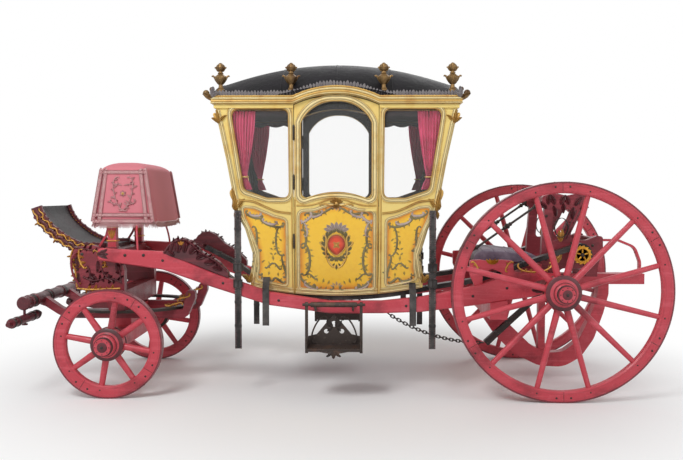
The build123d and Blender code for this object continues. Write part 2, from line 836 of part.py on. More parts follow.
def make_curtains():
    """Gathered curtains at the outer edge of each quarter window."""
    rows = (
        (-800, 2134, 10),
        (-618, 2134, 10),
        (-640, 1860, 200),
        (-668, 1660, 100),
        (-652, 1545, 10),
        (-694, 1545, 10),
    )
    face = outline([(CABIN_X + along, up, radius) for along, up, radius in rows])
    wall = CABIN_HALF_WIDTH - WALL - FIT
    front = slab(face, -wall, -wall + 34)
    rear = mirror(front, about=Plane.YZ.offset(CABIN_X))
    return pair(front) + pair(rear)


# Leather
def over_drum(start_x, start_z):
    """Where a straight strap, drawn from a point over the winder's drum, meets the upright behind it."""
    radius = (WINDER_DRUM + BRACE_THICKNESS) / 2 + FIT
    along, up = WINDER_X - start_x, WINDER_Z - start_z
    length = (along**2 + up**2 - radius**2) ** 0.5
    slope = (along * radius + up * length) / (along * length - up * radius)
    return WINDER_X + radius, start_z + slope * (along + radius), radius


def make_main_brace():
    """Thick leather brace from the front bracket, under the cabin and up over the winder's drum."""
    drop = BRACE_THICKNESS / 2 + FIT
    half = CABIN_PROFILE[0][1] + 3
    corner = CABIN_CORNER_BOTTOM - drop
    anchor_x, anchor_z = BRACE_ANCHOR
    start_x = anchor_x + BRACE_PIN / 2 + BRACE_THICKNESS / 2 + 2 * FIT
    left, right = CABIN_X - half, CABIN_X + half
    front = FilletPolyline(
        (start_x, anchor_z - 12), (-960, 925), (left - 72, corner + 15), (left, corner), radius=[500, 150]
    )
    belly = ThreePointArc((left, corner), (CABIN_X, CABIN_BOTTOM - drop), (right, corner))
    end_x, end_z, wrap = over_drum(1024, 850)
    rear = FilletPolyline(
        (right, corner),
        (right + 77, corner + 16),
        (1024, 850),
        (end_x, end_z),
        (end_x, WINDER_Z - 24),
        radius=[150, 400, wrap],
    )
    return ribbon(Curve() + [front, belly, rear], BRACE_WIDTH, BRACE_THICKNESS, -BRACE_Y)


def make_check_strap(x):
    """Long strap that hangs from a staple at the cabin's corner and passes outside the perch."""
    y = -perch_y() - PERCH_WIDTH / 2 - FIT
    half = STRAP_WIDTH / 2
    strap = box(x - half, x + half, y - STRAP_THICKNESS, y, 345, ELBOW_Z + 20)
    front = y - STRAP_THICKNESS
    buckles = [box(x - half - 10, x + half + 10, front - 9, front, low, low + 60) for low in (810, 930)]
    staple = box(x - 14, x + 14, y, -CABIN_HALF_WIDTH, ELBOW_Z - 20, ELBOW_Z + 20)
    return strap + buckles + staple


def make_collar_strap(x, bend_z):
    """Short strap from the cabin's lower side, over the perch's outer edge and down beside it."""
    y = perch_y() + PERCH_WIDTH / 2 + FIT + STRAP_THICKNESS / 2
    path = Polyline(
        (-y, 520), (-y, bend_z), (-SILL_HALF_WIDTH - 25, bend_z + 82), (-SILL_HALF_WIDTH, bend_z + 92)
    )
    half = STRAP_WIDTH / 2
    strap = bar_along_x(trace(path, line_width=STRAP_THICKNESS), x - half, x + half)
    return largest(strap - cabin_block(0, CABIN_TOP))


# Rear platform
def make_rear_board():
    """Footman's board on two bearers, with carved side rails that stand on the perches."""
    half = BOARD_WIDTH / 2
    board_end = REAR_AXLE_X - AXLE_BED_LENGTH / 2 + 15
    end = REAR_AXLE_X + AXLE_BED_LENGTH / 2 - 40
    low = BOARD_TOP - BOARD_THICKNESS
    inner = perch_y() - PERCH_WIDTH / 2
    board = box(BOARD_FRONT_X, board_end, -half, half, low, BOARD_TOP)
    bearers = [box(x - 35, x + 35, -inner, inner, low - BEARER_DEPTH, low) for x in (1075, 1440)]
    rail = outline(
        (
            (962, 1012, 12),
            (1040, 1016, 30),
            (1120, 1004, 30),
            (1200, 1016, 30),
            (1284, 1010, 12),
            (1292, 925, 20),
            (1440, 922, 60),
            (end, 912, 12),
            (end, bed_top(), 0),
            (REAR_AXLE_X - AXLE_BED_LENGTH / 2, bed_top(), 0),
            (1430, 845, 0),
            (1235, 880, 0),
            (1210, 868, 20),
            (1200, 920, 20),
            (1125, 950, 30),
            (1060, 915, 20),
            (1055, 830, 0),
            (1000, 815, 0),
            (962, 900, 30),
        )
    )
    rails = pair(slab(rail, -inner - BOARD_RAIL_THICKNESS, -inner))
    return (board + bearers + rails) - make_perch() - right_copy(make_perch())


def make_board_pad():
    """Stuffed pad on the board, highest toward the cabin."""
    half = BOARD_WIDTH / 2 - 10
    front, rear = BOARD_FRONT_X + 6, REAR_AXLE_X - 60
    low, high = BOARD_TOP + FIT, BOARD_TOP + PAD_THICKNESS
    rows = (
        (front, low, 0),
        (front, high - 44, 25),
        (front + 60, high, 40),
        (front + 230, high - 2, 80),
        (rear - 70, high - 30, 60),
        (rear, high - 38, 25),
        (rear, low, 0),
    )
    return slab(outline(rows), -half, half)


def make_standard():
    """Openwork frame behind the board: slanted posts on a lower panel, a carved top rail and cross-bars."""
    front = REAR_AXLE_X - AXLE_BED_LENGTH / 2 + 20
    crest = STANDARD_TOP - 68
    side = outline(
        (
            (front, bed_top(), 0),
            (1556, 1150, 60),
            (1575, crest - 30, 30),
            (1552, crest, 12),
            (1556, STANDARD_TOP, 20),
            (1640, STANDARD_TOP + 18, 40),
            (1730, STANDARD_TOP, 40),
            (1820, STANDARD_TOP + 18, 40),
            (1896, STANDARD_TOP, 20),
            (1900, crest, 12),
            (1872, crest - 30, 20),
            (1758, 1160, 40),
            (1900, 1150, 40),
            (1985, 1186, 20),
            (STANDARD_REAR_X, 1180, 20),
            (STANDARD_REAR_X + 2, 1080, 40),
            (1990, bed_top() + 60, 30),
            (1990, REAR_BEAM_TOP, 0),
            (1900, REAR_BEAM_TOP, 0),
            (1900, bed_top() + 60, 30),
            (1720, bed_top() + 60, 30),
            (front + 92, bed_top(), 0),
        )
    )
    hole = outline(((1628, 1150, 25), (1645, crest - 36, 20), (1785, crest - 36, 20), (1692, 1150, 25)))
    y = STANDARD_SPACING / 2
    sides = pair(slab(side, -y, -y + STANDARD_THICKNESS) - slab(hole, -y - 1, -y + STANDARD_THICKNESS + 1))
    top = box(1600, 1860, -y, y, crest, STANDARD_TOP - 8)
    foot = box(1900, 1990, -y, y, REAR_BEAM_TOP, REAR_BEAM_TOP + 40)
    middle = box(STANDARD_REAR_X - 50, STANDARD_REAR_X, -y, y, HANDLE_BAR_Z - 28, HANDLE_BAR_Z + 28)
    return sides[0] + [sides[1], top, foot, middle] - rod_y(WINDER_X, WINDER_Z, WINDER_SHAFT, -2000, 2000)


def make_standard_rod(standard):
    """Left iron stay from the front edge of the board up to the standard's top rail."""
    y = STANDARD_SPACING / 2 - STANDARD_THICKNESS / 2
    x = BOARD_FRONT_X - ROD_THICKNESS / 2
    path = FilletPolyline((x, BOARD_TOP - 24), (x, 1050), (1566, STANDARD_TOP - 41), radius=60)
    return largest(ribbon(path, ROD_THICKNESS, ROD_THICKNESS, -y) - standard)


def make_winders():
    """Cross shaft that takes up the braces, with its drums and ratchets."""
    end = BRACE_Y + BRACE_WIDTH / 2 + 16
    shaft = rod_y(WINDER_X, WINDER_Z, WINDER_SHAFT, -end, end)
    drums = pair(rod_y(WINDER_X, WINDER_Z, WINDER_DRUM, -end, -BRACE_Y + BRACE_WIDTH / 2 + 4))
    return [shaft + drums + pair(make_ratchet(-end - RATCHET_THICKNESS))]


def make_ratchet(y_from):
    """Gilt ratchet wheel with sloping teeth."""
    teeth = 14
    tip = RATCHET_DIAMETER / 2
    root = tip - 12
    points = []
    for tooth in range(teeth):
        start = 360 * tooth / teeth
        points.append(Vector(tip, 0).rotate(Axis.Z, start))
        points.append(Vector(root, 0).rotate(Axis.Z, start + 360 / teeth * 0.9))
    face = make_face(Polyline(*points, close=True))
    return slab(Pos(WINDER_X, WINDER_Z) * face, y_from, y_from + RATCHET_THICKNESS)


def make_drag_staff():
    """Iron-shod staff that hangs from the axle bed and is held forward by a chain."""
    rows = (
        (REAR_AXLE_X - 25, 730, 0),
        (REAR_AXLE_X + 25, 730, 0),
        (1240, 380, 60),
        (1160, 300, 10),
        (1125, 335, 10),
        (1220, 425, 60),
    )
    half = DRAG_STAFF_WIDTH / 2
    return slab(outline(rows), DRAG_STAFF_Y - half, DRAG_STAFF_Y + half)


def make_chain_link():
    """One flat link lying along X in the XY plane."""
    outer = SlotOverall(LINK_LENGTH, LINK_WIDTH)
    inner = SlotOverall(LINK_LENGTH - 2 * LINK_WIRE, LINK_WIDTH - 2 * LINK_WIRE)
    return extrude(outer - inner, amount=LINK_WIRE / 2, both=True)


def make_drag_chain(staff, perch):
    """Chain of flat links, each turned a quarter from the last, from the left perch to the staff."""
    path = ThreePointArc((345, -perch_y(), 608.5), (752, -330, 398), (1122, DRAG_STAFF_Y, 322))
    pitch = LINK_LENGTH - 2 * LINK_WIRE - RUNNING_GAP
    count = int(path.length / pitch) + 1
    link = make_chain_link()
    links = []
    for number in range(count):
        share = (number + 0.5) / count
        place = Plane(origin=path @ share, x_dir=path % share, z_dir=Vector(0, 1, 0).cross(path % share))
        turned = place * Rot(X=90 * (number % 2)) * link
        links.append(largest(turned - staff - perch))
    return links


# Steps
def upright_plate(points, y_from, y_to):
    """A thin plate with a side outline of straight edges."""
    return slab(make_face(Polyline(*points, close=True)), y_from, y_to)


def make_step():
    """Left folding step: arms with eyes, a tray, a pierced crest behind it and a tip below its front."""
    half = STEP_WIDTH / 2
    y = -STEP_Y
    low = STEP_TREAD_Z - 20
    arms = []
    for side in (-1, 1):
        x = STEP_X + side * half
        eye = Pos(x, y, STEP_PIVOT_Z) * Rot(Y=90) * Cylinder(STEP_EYE / 2, STEP_ARM)
        bore = Pos(x, y, STEP_PIVOT_Z) * Rot(Y=90) * Cylinder(STEP_ROD / 2 + RUNNING_GAP, STEP_ARM + 2)
        arm = box(x - STEP_ARM / 2, x + STEP_ARM / 2, y - 12, y + 12, low - 26, STEP_PIVOT_Z)
        arms.append((arm + eye) - bore)
    reach = STEP_TREAD_DEPTH / 2
    left, right = STEP_X - half, STEP_X + half
    tread = box(left, right, y - reach, y + reach, low, STEP_TREAD_Z)
    ends = [box(x, x + STEP_PLATE, y - reach, y + reach, low, low + 68) for x in (left, right - STEP_PLATE)]
    crest = upright_plate(
        (
            (left, low),
            (left, low + 80),
            (left + 70, low + 96),
            (STEP_X - 60, STEP_CREST_Z - 60),
            (STEP_X, STEP_CREST_Z),
            (STEP_X + 60, STEP_CREST_Z - 60),
            (right - 70, low + 96),
            (right, low + 80),
            (right, low),
        ),
        y + reach - STEP_PLATE,
        y + reach,
    )
    holes = [
        rod_y(STEP_X + along, up, size, y, y + 2 * reach)
        for along, up, size in ((0, 545, 44), (-58, 490, 34), (58, 490, 34))
    ]
    tip = upright_plate(
        ((STEP_X - 110, low + 1), (STEP_X - 30, low - 14), (STEP_X, low - 44), (STEP_X + 30, low - 14),
         (STEP_X + 110, low + 1)),
        y - reach,
        y - reach + STEP_PLATE,
    )
    return tread + arms + ends + [crest - holes, tip]


def make_step_bracket():
    """Iron rod on two plates under the left perch, which the step swings on."""
    half = STEP_WIDTH / 2
    length = 2 * half + 60
    rod = Pos(STEP_X, -STEP_Y, STEP_PIVOT_Z) * Rot(Y=90) * Cylinder(STEP_ROD / 2, length)
    face = -perch_y() - PERCH_WIDTH / 2
    plate = make_face(
        Polyline(
            (face, STEP_PIVOT_Z - 72),
            (face, STEP_PIVOT_Z - 16),
            (-STEP_Y + 8, STEP_PIVOT_Z + 14),
            (-STEP_Y - 14, STEP_PIVOT_Z + 6),
            (-STEP_Y - 8, STEP_PIVOT_Z - 16),
            (face - 60, STEP_PIVOT_Z - 46),
            close=True,
        )
    )
    plates = [bar_along_x(plate, x - 8, x + 8) for x in (STEP_X - half + 60, STEP_X + half - 60)]
    sleeve = Pos(STEP_X, -STEP_Y, STEP_PIVOT_Z) * Rot(Y=90) * Cylinder(STEP_SLEEVE / 2, STEP_WIDTH - 60)
    return rod + plates + sleeve


# Front carriage that stays with the body
def plate_top():
    """Top of the wheel plate, where the fixed bolster rests."""
    return FUTCHELL_Z + FUTCHELL_DEPTH + WHEEL_PLATE_THICKNESS


def make_front_transom():
    """Carved block between the perches: a cross-beam on the wheel plate with two shaped cheeks."""
    low = plate_top() + FIT
    half = BOLSTER_LENGTH / 2
    reach = perch_y() - PERCH_WIDTH / 2
    beam = box(FRONT_AXLE_X - half, FRONT_AXLE_X + half, -reach, reach, low, low + 150)
    cheek = outline(
        (
            (FRONT_AXLE_X + half, low + 1, 0),
            (FRONT_AXLE_X + half, 930, 30),
            (FRONT_AXLE_X + 20, 1040, 30),
            (-1900, 1119, 30),
            (-2061, 1104, 25),
            (-2086, 1019, 30),
            (-2049, 926, 30),
            (-2045, 787, 20),
            (-1834, 745, 30),
            (FRONT_AXLE_X - half, low + 1, 0),
        )
    )
    cheeks = pair(slab(cheek, -reach, -reach + 70))
    bore = rod_z(FRONT_AXLE_X, 0, KING_PIN_DIAMETER + 2 * RUNNING_GAP, low - 1, low + 151)
    top = box(-2010, SEAT_POST_X + SEAT_POST_SIZE / 2 + 6, -reach, reach, FOOTBOARD_SEAT_Z - 70, FOOTBOARD_SEAT_Z)
    return (beam + cheeks + top) - bore


def seat_stays():
    """Left pair of thin stays: a bent one ahead of the post and one behind it that ends on the perch."""
    front = SEAT_POST_X - SEAT_POST_SIZE / 2
    foot = FOOTBOARD_SEAT_Z + SEAT_STAY / 2
    path = FilletPolyline(
        (front + 6, BOX_SEAT_Z - 42), (front - 20, BOX_SEAT_Z - 140), (front - 88, foot), (front - 180, foot),
        radius=[60, 60],
    )
    rear = ThreePointArc(
        (HAMMERCLOTH_X + 85, -SEAT_POST_Y + 10, BOX_SEAT_Z + 1),
        (HAMMERCLOTH_X + 113, -SEAT_POST_Y - 95, BOX_SEAT_Z - 100),
        (HAMMERCLOTH_X + 133, -perch_y(), PERCH_NOSE_TOP - 22),
    )
    return [ribbon(path, SEAT_STAY, SEAT_STAY, -SEAT_POST_Y), tube(rear, SEAT_STAY) - make_perch()]


def make_seat_frame():
    """Two gilt posts with four thin stays, and the boarded box seat that they carry."""
    half = SEAT_POST_SIZE / 2
    left, right = SEAT_POST_X - half, SEAT_POST_X + half
    posts = pair(box(left, right, -SEAT_POST_Y - half, -SEAT_POST_Y + half, FOOTBOARD_SEAT_Z, BOX_SEAT_Z))
    top = BOX_SEAT_Z + BOX_SEAT_HEIGHT
    seat = box(HAMMERCLOTH_X - 150, HAMMERCLOTH_X + 150, -SEAT_HALF_WIDTH, SEAT_HALF_WIDTH, BOX_SEAT_Z, top)
    seat = fillet(seat.edges().filter_by(Axis.Z), BOX_SEAT_CORNER)
    stays = [piece for stay in seat_stays() for piece in pair(stay)]
    return seat + posts + stays


def cloth_section(height, length, width):
    return Plane.XY.offset(height) * Pos(HAMMERCLOTH_X, 0) * RectangleRounded(length, width, 50)


def cloth_form(inset, low):
    """The cloth's outer form, or its hollow when drawn in by an inset."""
    width = 2 * (HAMMERCLOTH_HALF_WIDTH - inset)
    rows = (
        (low, 500 - 2 * inset, width),
        (HAMMERCLOTH_TOP - 65 - inset, 370 - 2 * inset, width - 60),
        (HAMMERCLOTH_TOP - 25 - inset, 300 - 2 * inset, width - 130),
        (HAMMERCLOTH_TOP - inset, 170 - inset, width - 300),
    )
    sections = [cloth_section(*row) for row in rows]
    form = loft(sections[:2])
    for lower, upper in zip(sections[1:-1], sections[2:]):
        form += loft([lower, upper])
    return form


def make_hammercloth():
    """Fringed cloth over the box seat: four falls and a domed top, open below."""
    return cloth_form(0, HAMMERCLOTH_HEM) - cloth_form(14, HAMMERCLOTH_HEM - 1)


def footboard_path():
    seat = FOOTBOARD_SEAT_Z + FOOTBOARD_THICKNESS / 2
    return FilletPolyline(
        (-1850, seat),
        (-2050, seat),
        (-2177, 1145),
        (-2294, 1235),
        (-2370, 1320),
        (COACH_FRONT_X + RIM_DEPTH / 2 - 2, 1410),
        radius=[160, 250, 300, 300],
    )


def make_footboard(transom):
    """Curved footboard that rises forward from the front transom, with a deep rim along each side."""
    board = ribbon(footboard_path(), FOOTBOARD_WIDTH, FOOTBOARD_THICKNESS, 0)
    y = (FOOTBOARD_WIDTH - RIM_THICKNESS) / 2
    rims = [ribbon(footboard_path(), RIM_THICKNESS, RIM_DEPTH, side * y) for side in (-1, 1)]
    return (board + rims) - transom


def make_lining():
    """Leather sheet that lines the upper face of the footboard between its rims."""
    width = FOOTBOARD_WIDTH - 2 * RIM_THICKNESS - 2
    thick = FOOTBOARD_THICKNESS + 2 * FIT
    sheets = ribbon(footboard_path(), width, thick + 2 * LINING_THICKNESS, 0)
    sheets -= ribbon(footboard_path(), width + 2, thick, 0)
    upper = [solid for solid in sheets.solids() if solid.center().Z > FOOTBOARD_SEAT_Z + 20]
    return max(upper, key=lambda solid: solid.center().X + solid.center().Z)


def make_bracket():
    """Carved bracket on the front of the left perch that holds the main brace."""
    rows = (
        (-1350, 1060, 0),
        (-1290, 1150, 30),
        (-1200, 1185, 30),
        (-1130, 1150, 30),
        (-1061, 1080, 30),
        (-930, 1000, 30),
        (-860, 920, 20),
        (-860, 880, 0),
        (-1163, 1000, 0),
    )
    half = PERCH_WIDTH / 2
    bracket = slab(outline(rows), -perch_y() - half, -perch_y() + half) - make_perch()
    x, z = BRACE_ANCHOR
    return bracket + rod_y(x, z, BRACE_PIN, -perch_y(), -BRACE_Y + BRACE_WIDTH / 2 + 8)


# Fore-carriage
def make_front_axle():
    """Axle bed with iron arms, the block that carries the futchells, and the king pin."""
    end = FRONT_TRACK / 2 - FRONT_WHEEL.inner_length - 12
    half = AXLE_BLOCK_DEPTH / 2
    front = FRONT_AXLE_X - AXLE_BLOCK_LENGTH / 2
    rear = FRONT_AXLE_X + AXLE_BLOCK_LENGTH / 2
    bed = box(front, rear, -end, end, FRONT_AXLE_Z - half, FRONT_AXLE_Z + half)
    outer = FUTCHELL_SPACING / 2 + FUTCHELL_WIDTH / 2
    inner = FUTCHELL_SPACING / 2 - FUTCHELL_WIDTH / 2
    saddle = box(front, rear, -outer, outer, FRONT_AXLE_Z, FUTCHELL_Z)
    block = box(front, rear, -inner, inner, FRONT_AXLE_Z, FUTCHELL_Z + FUTCHELL_DEPTH)
    pin = rod_z(FRONT_AXLE_X, 0, KING_PIN_DIAMETER, FRONT_AXLE_Z, plate_top() + 100)
    return bed + saddle + block + pin + pair(axle_arm(FRONT_WHEEL, FRONT_AXLE_X))


def make_futchell(splinter_bar):
    """Left futchell: it crosses the axle bed and ends behind it in a scroll."""
    low = FUTCHELL_Z
    top = low + FUTCHELL_DEPTH
    rows = (
        (-2352, SPLINTER_BAR_Z + 10, 0),
        (-2240, top + 20, 120),
        (-2200, top, 60),
        (-1262, top, 16),
        (-1234, 752, 25),
        (-1165, 752, 25),
        (-1165, 690, 25),
        (-1230, low + 6, 60),
        (-1300, low, 60),
        (-2130, low, 60),
        (-2240, low + 22, 120),
        (-2352, SPLINTER_BAR_Z - 66, 0),
        (-2400, SPLINTER_BAR_Z - 50, 0),
        (-2400, SPLINTER_BAR_Z, 0),
    )
    y = FUTCHELL_SPACING / 2
    return slab(outline(rows), -y - FUTCHELL_WIDTH / 2, -y + FUTCHELL_WIDTH / 2) - splinter_bar


def make_wheel_plate():
    ring = Cylinder(WHEEL_PLATE_RADIUS, WHEEL_PLATE_THICKNESS)
    ring -= Cylinder(WHEEL_PLATE_RADIUS - WHEEL_PLATE_WIDTH, WHEEL_PLATE_THICKNESS + 2)
    return Pos(FRONT_AXLE_X, 0, plate_top() - WHEEL_PLATE_THICKNESS / 2) * ring


def make_splinter_bar():
    x = COACH_FRONT_X + SPLINTER_BAR_DIAMETER / 2
    half = SPLINTER_BAR_LENGTH / 2
    bar = rod_y(x, SPLINTER_BAR_Z, SPLINTER_BAR_DIAMETER, -half, half)
    bar -= rod_z(x, 0, POLE_PIN_BORE, 0, 1000)
    low = SWINGLETREE_Z - SWINGLETREE_DIAMETER / 2 - 14
    pins = pair(rod_z(x, -SWINGLETREE_Y, 20, low, SPLINTER_BAR_Z))
    heads = pair(rod_z(x, -SWINGLETREE_Y, 44, low, low + 10))
    return bar + pins + heads


def make_swingletree():
    """Left swingletree, whose thinner ends take the loops of the traces."""
    x = COACH_FRONT_X + SPLINTER_BAR_DIAMETER / 2
    half = SWINGLETREE_LENGTH / 2
    thick = half - TRACE_PIN_LENGTH
    tree = rod_y(x, SWINGLETREE_Z, SWINGLETREE_DIAMETER, -SWINGLETREE_Y - thick, -SWINGLETREE_Y + thick)
    tree += rod_y(x, SWINGLETREE_Z, TRACE_PIN_DIAMETER, -SWINGLETREE_Y - half, -SWINGLETREE_Y + half)
    return tree - rod_z(x, -SWINGLETREE_Y, 20 + 2 * RUNNING_GAP, 0, 1000)


def make_all():
    pieces = {}
    for name, wheel, x in (("rear", REAR_WHEEL, REAR_AXLE_X), ("front", FRONT_WHEEL, FRONT_AXLE_X)):
        for part, solid in make_wheel(wheel, x).items():
            pieces[f"{name}_wheel_left_{part}"] = [solid]
            pieces[f"{name}_wheel_right_{part}"] = [right_copy(solid)]
    perch = make_perch()
    pieces["perch_left"] = [perch]
    pieces["perch_right"] = [right_copy(perch)]
    pieces["rear_axle"] = [make_rear_axle()]
    pieces["rear_transom"] = [make_rear_transom()]
    pieces["under_bow"] = [make_under_bow()]
    pieces["rear_beam"] = [make_rear_beam()]
    front, rear, leaf = make_side_pieces()
    pieces["quarter_front_left"] = [front]
    pieces["quarter_front_right"] = [right_copy(front)]
    pieces["quarter_rear_left"] = [rear]
    pieces["quarter_rear_right"] = [right_copy(rear)]
    pieces["door_left"] = [leaf]
    pieces["door_right"] = [right_copy(leaf)]
    pane = glass_pane(door_window(-FIT))
    pieces["door_glass_left"] = [pane]
    pieces["door_glass_right"] = [right_copy(pane)]
    quarter_pane = glass_pane(quarter_window(-FIT))
    rear_pane = mirror(quarter_pane, about=Plane.YZ.offset(CABIN_X))
    pieces["window_glass"] = pair(quarter_pane) + pair(rear_pane) + [make_front_glass()]
    front_wall, rear_wall = make_end_walls()
    pieces["cabin_front_wall"] = [front_wall]
    pieces["cabin_rear_wall"] = [rear_wall]
    pieces["cabin_floor"] = [make_floor()]
    pieces["cabin_seats"] = make_seats()
    pieces["seat_cushions"] = make_cushions()
    pieces["cornice"] = [make_cornice()]
    pieces["roof"] = [make_roof()]
    pieces["roof_finials"] = make_finials(pieces["roof"][0])
    pieces["curtains"] = make_curtains()
    pieces["main_braces"] = pair(make_main_brace())
    straps = [make_check_strap(x) for x in CHECK_STRAP_PLACES]
    straps += [make_collar_strap(x, bend_z) for x, bend_z in COLLAR_STRAP_PLACES]
    pieces["check_straps"] = [piece for strap in straps for piece in pair(strap)]
    pieces["rear_board"] = [make_rear_board()]
    pieces["rear_board_pad"] = [make_board_pad()]
    standard = make_standard()
    pieces["rear_standard"] = [standard]
    pieces["standard_rods"] = pair(make_standard_rod(standard))
    pieces["brace_winders"] = make_winders()
    staff = make_drag_staff()
    pieces["drag_staff"] = [staff]
    pieces["drag_chain"] = make_drag_chain(staff, perch)
    step = make_step()
    pieces["step_left"] = [step]
    pieces["step_right"] = [right_copy(step)]
    pieces["step_brackets"] = pair(make_step_bracket())
    transom = make_front_transom()
    pieces["front_transom"] = [transom]
    pieces["seat_frame"] = [make_seat_frame()]
    pieces["hammercloth"] = [make_hammercloth()]
    pieces["footboard"] = [make_footboard(transom)]
    pieces["footboard_lining"] = [make_lining()]
    pieces["brace_brackets"] = pair(make_bracket())
    pieces["front_axle"] = [make_front_axle()]
    pieces["futchells"] = pair(make_futchell(make_splinter_bar()))
    pieces["wheel_plate"] = [make_wheel_plate()]
    pieces["splinter_bar"] = [make_splinter_bar()]
    tree = make_swingletree()
    pieces["swingletree_left"] = [tree]
    pieces["swingletree_right"] = [right_copy(tree)]
    return pieces


def main():
    os.makedirs("parts", exist_ok=True)
    for name, solids in make_all().items():
        export_step(Compound(children=list(solids)), f"parts/{name}.step")
        print(name, len(solids))


if __name__ == "__main__":
    main()
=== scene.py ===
"""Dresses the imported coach: paint, gilding, mouldings, carving, leather, cloth and small fittings.

Lengths are in metres. X runs to the rear of the coach, Y to its right-hand side and Z up.
"""

import logging
import math
from dataclasses import dataclass, field
from enum import Enum
from typing import Callable, Iterable, Sequence

import bmesh
import bpy
import numpy as np
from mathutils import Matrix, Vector
from mathutils.bvhtree import BVHTree
from mathutils.geometry import delaunay_2d_cdt


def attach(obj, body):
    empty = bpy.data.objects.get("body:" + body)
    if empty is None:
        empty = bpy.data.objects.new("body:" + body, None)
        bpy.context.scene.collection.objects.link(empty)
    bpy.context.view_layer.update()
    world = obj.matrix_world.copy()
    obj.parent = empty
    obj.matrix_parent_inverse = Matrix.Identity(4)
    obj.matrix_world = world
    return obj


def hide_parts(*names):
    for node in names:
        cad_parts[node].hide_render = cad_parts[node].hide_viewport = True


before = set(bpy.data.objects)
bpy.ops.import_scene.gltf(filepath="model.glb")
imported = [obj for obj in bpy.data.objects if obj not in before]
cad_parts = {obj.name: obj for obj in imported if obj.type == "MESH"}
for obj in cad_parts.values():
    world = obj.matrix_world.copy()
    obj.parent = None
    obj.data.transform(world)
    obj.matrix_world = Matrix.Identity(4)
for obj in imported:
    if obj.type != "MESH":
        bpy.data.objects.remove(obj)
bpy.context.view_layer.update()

log = logging.getLogger("coach")

Colour = tuple[float, float, float]
Shape = tuple[np.ndarray, list[tuple[int, ...]], np.ndarray]
FULL_TURN = 2 * math.pi
CABIN_X = -0.045
# Name of the per-point value that the finishes read. On most pieces it is painted shade, high in grooves, hollows
# and where a piece meets the surface under it; on field plates it rises toward the plate's edge.
SHADE = "shade"


class Side(Enum):
    """The two long sides of the coach, by the sign of their Y."""

    LEFT = -1
    RIGHT = 1

    @property
    def word(self) -> str:
        """The side's name in the frame's own words."""
        return self.name.lower()


class End(Enum):
    """The two ends of the coach, by the sign of their X."""

    FRONT = -1
    REAR = 1


def tint(red: int, green: int, blue: int) -> Colour:
    """Turns a colour of 0 to 255 a channel into the linear values that a shader takes."""
    def channel(value: int) -> float:
        """One channel, from display value to linear."""
        share = value / 255
        return share / 12.92 if share <= 0.04045 else ((share + 0.055) / 1.055) ** 2.4
    return channel(red), channel(green), channel(blue)


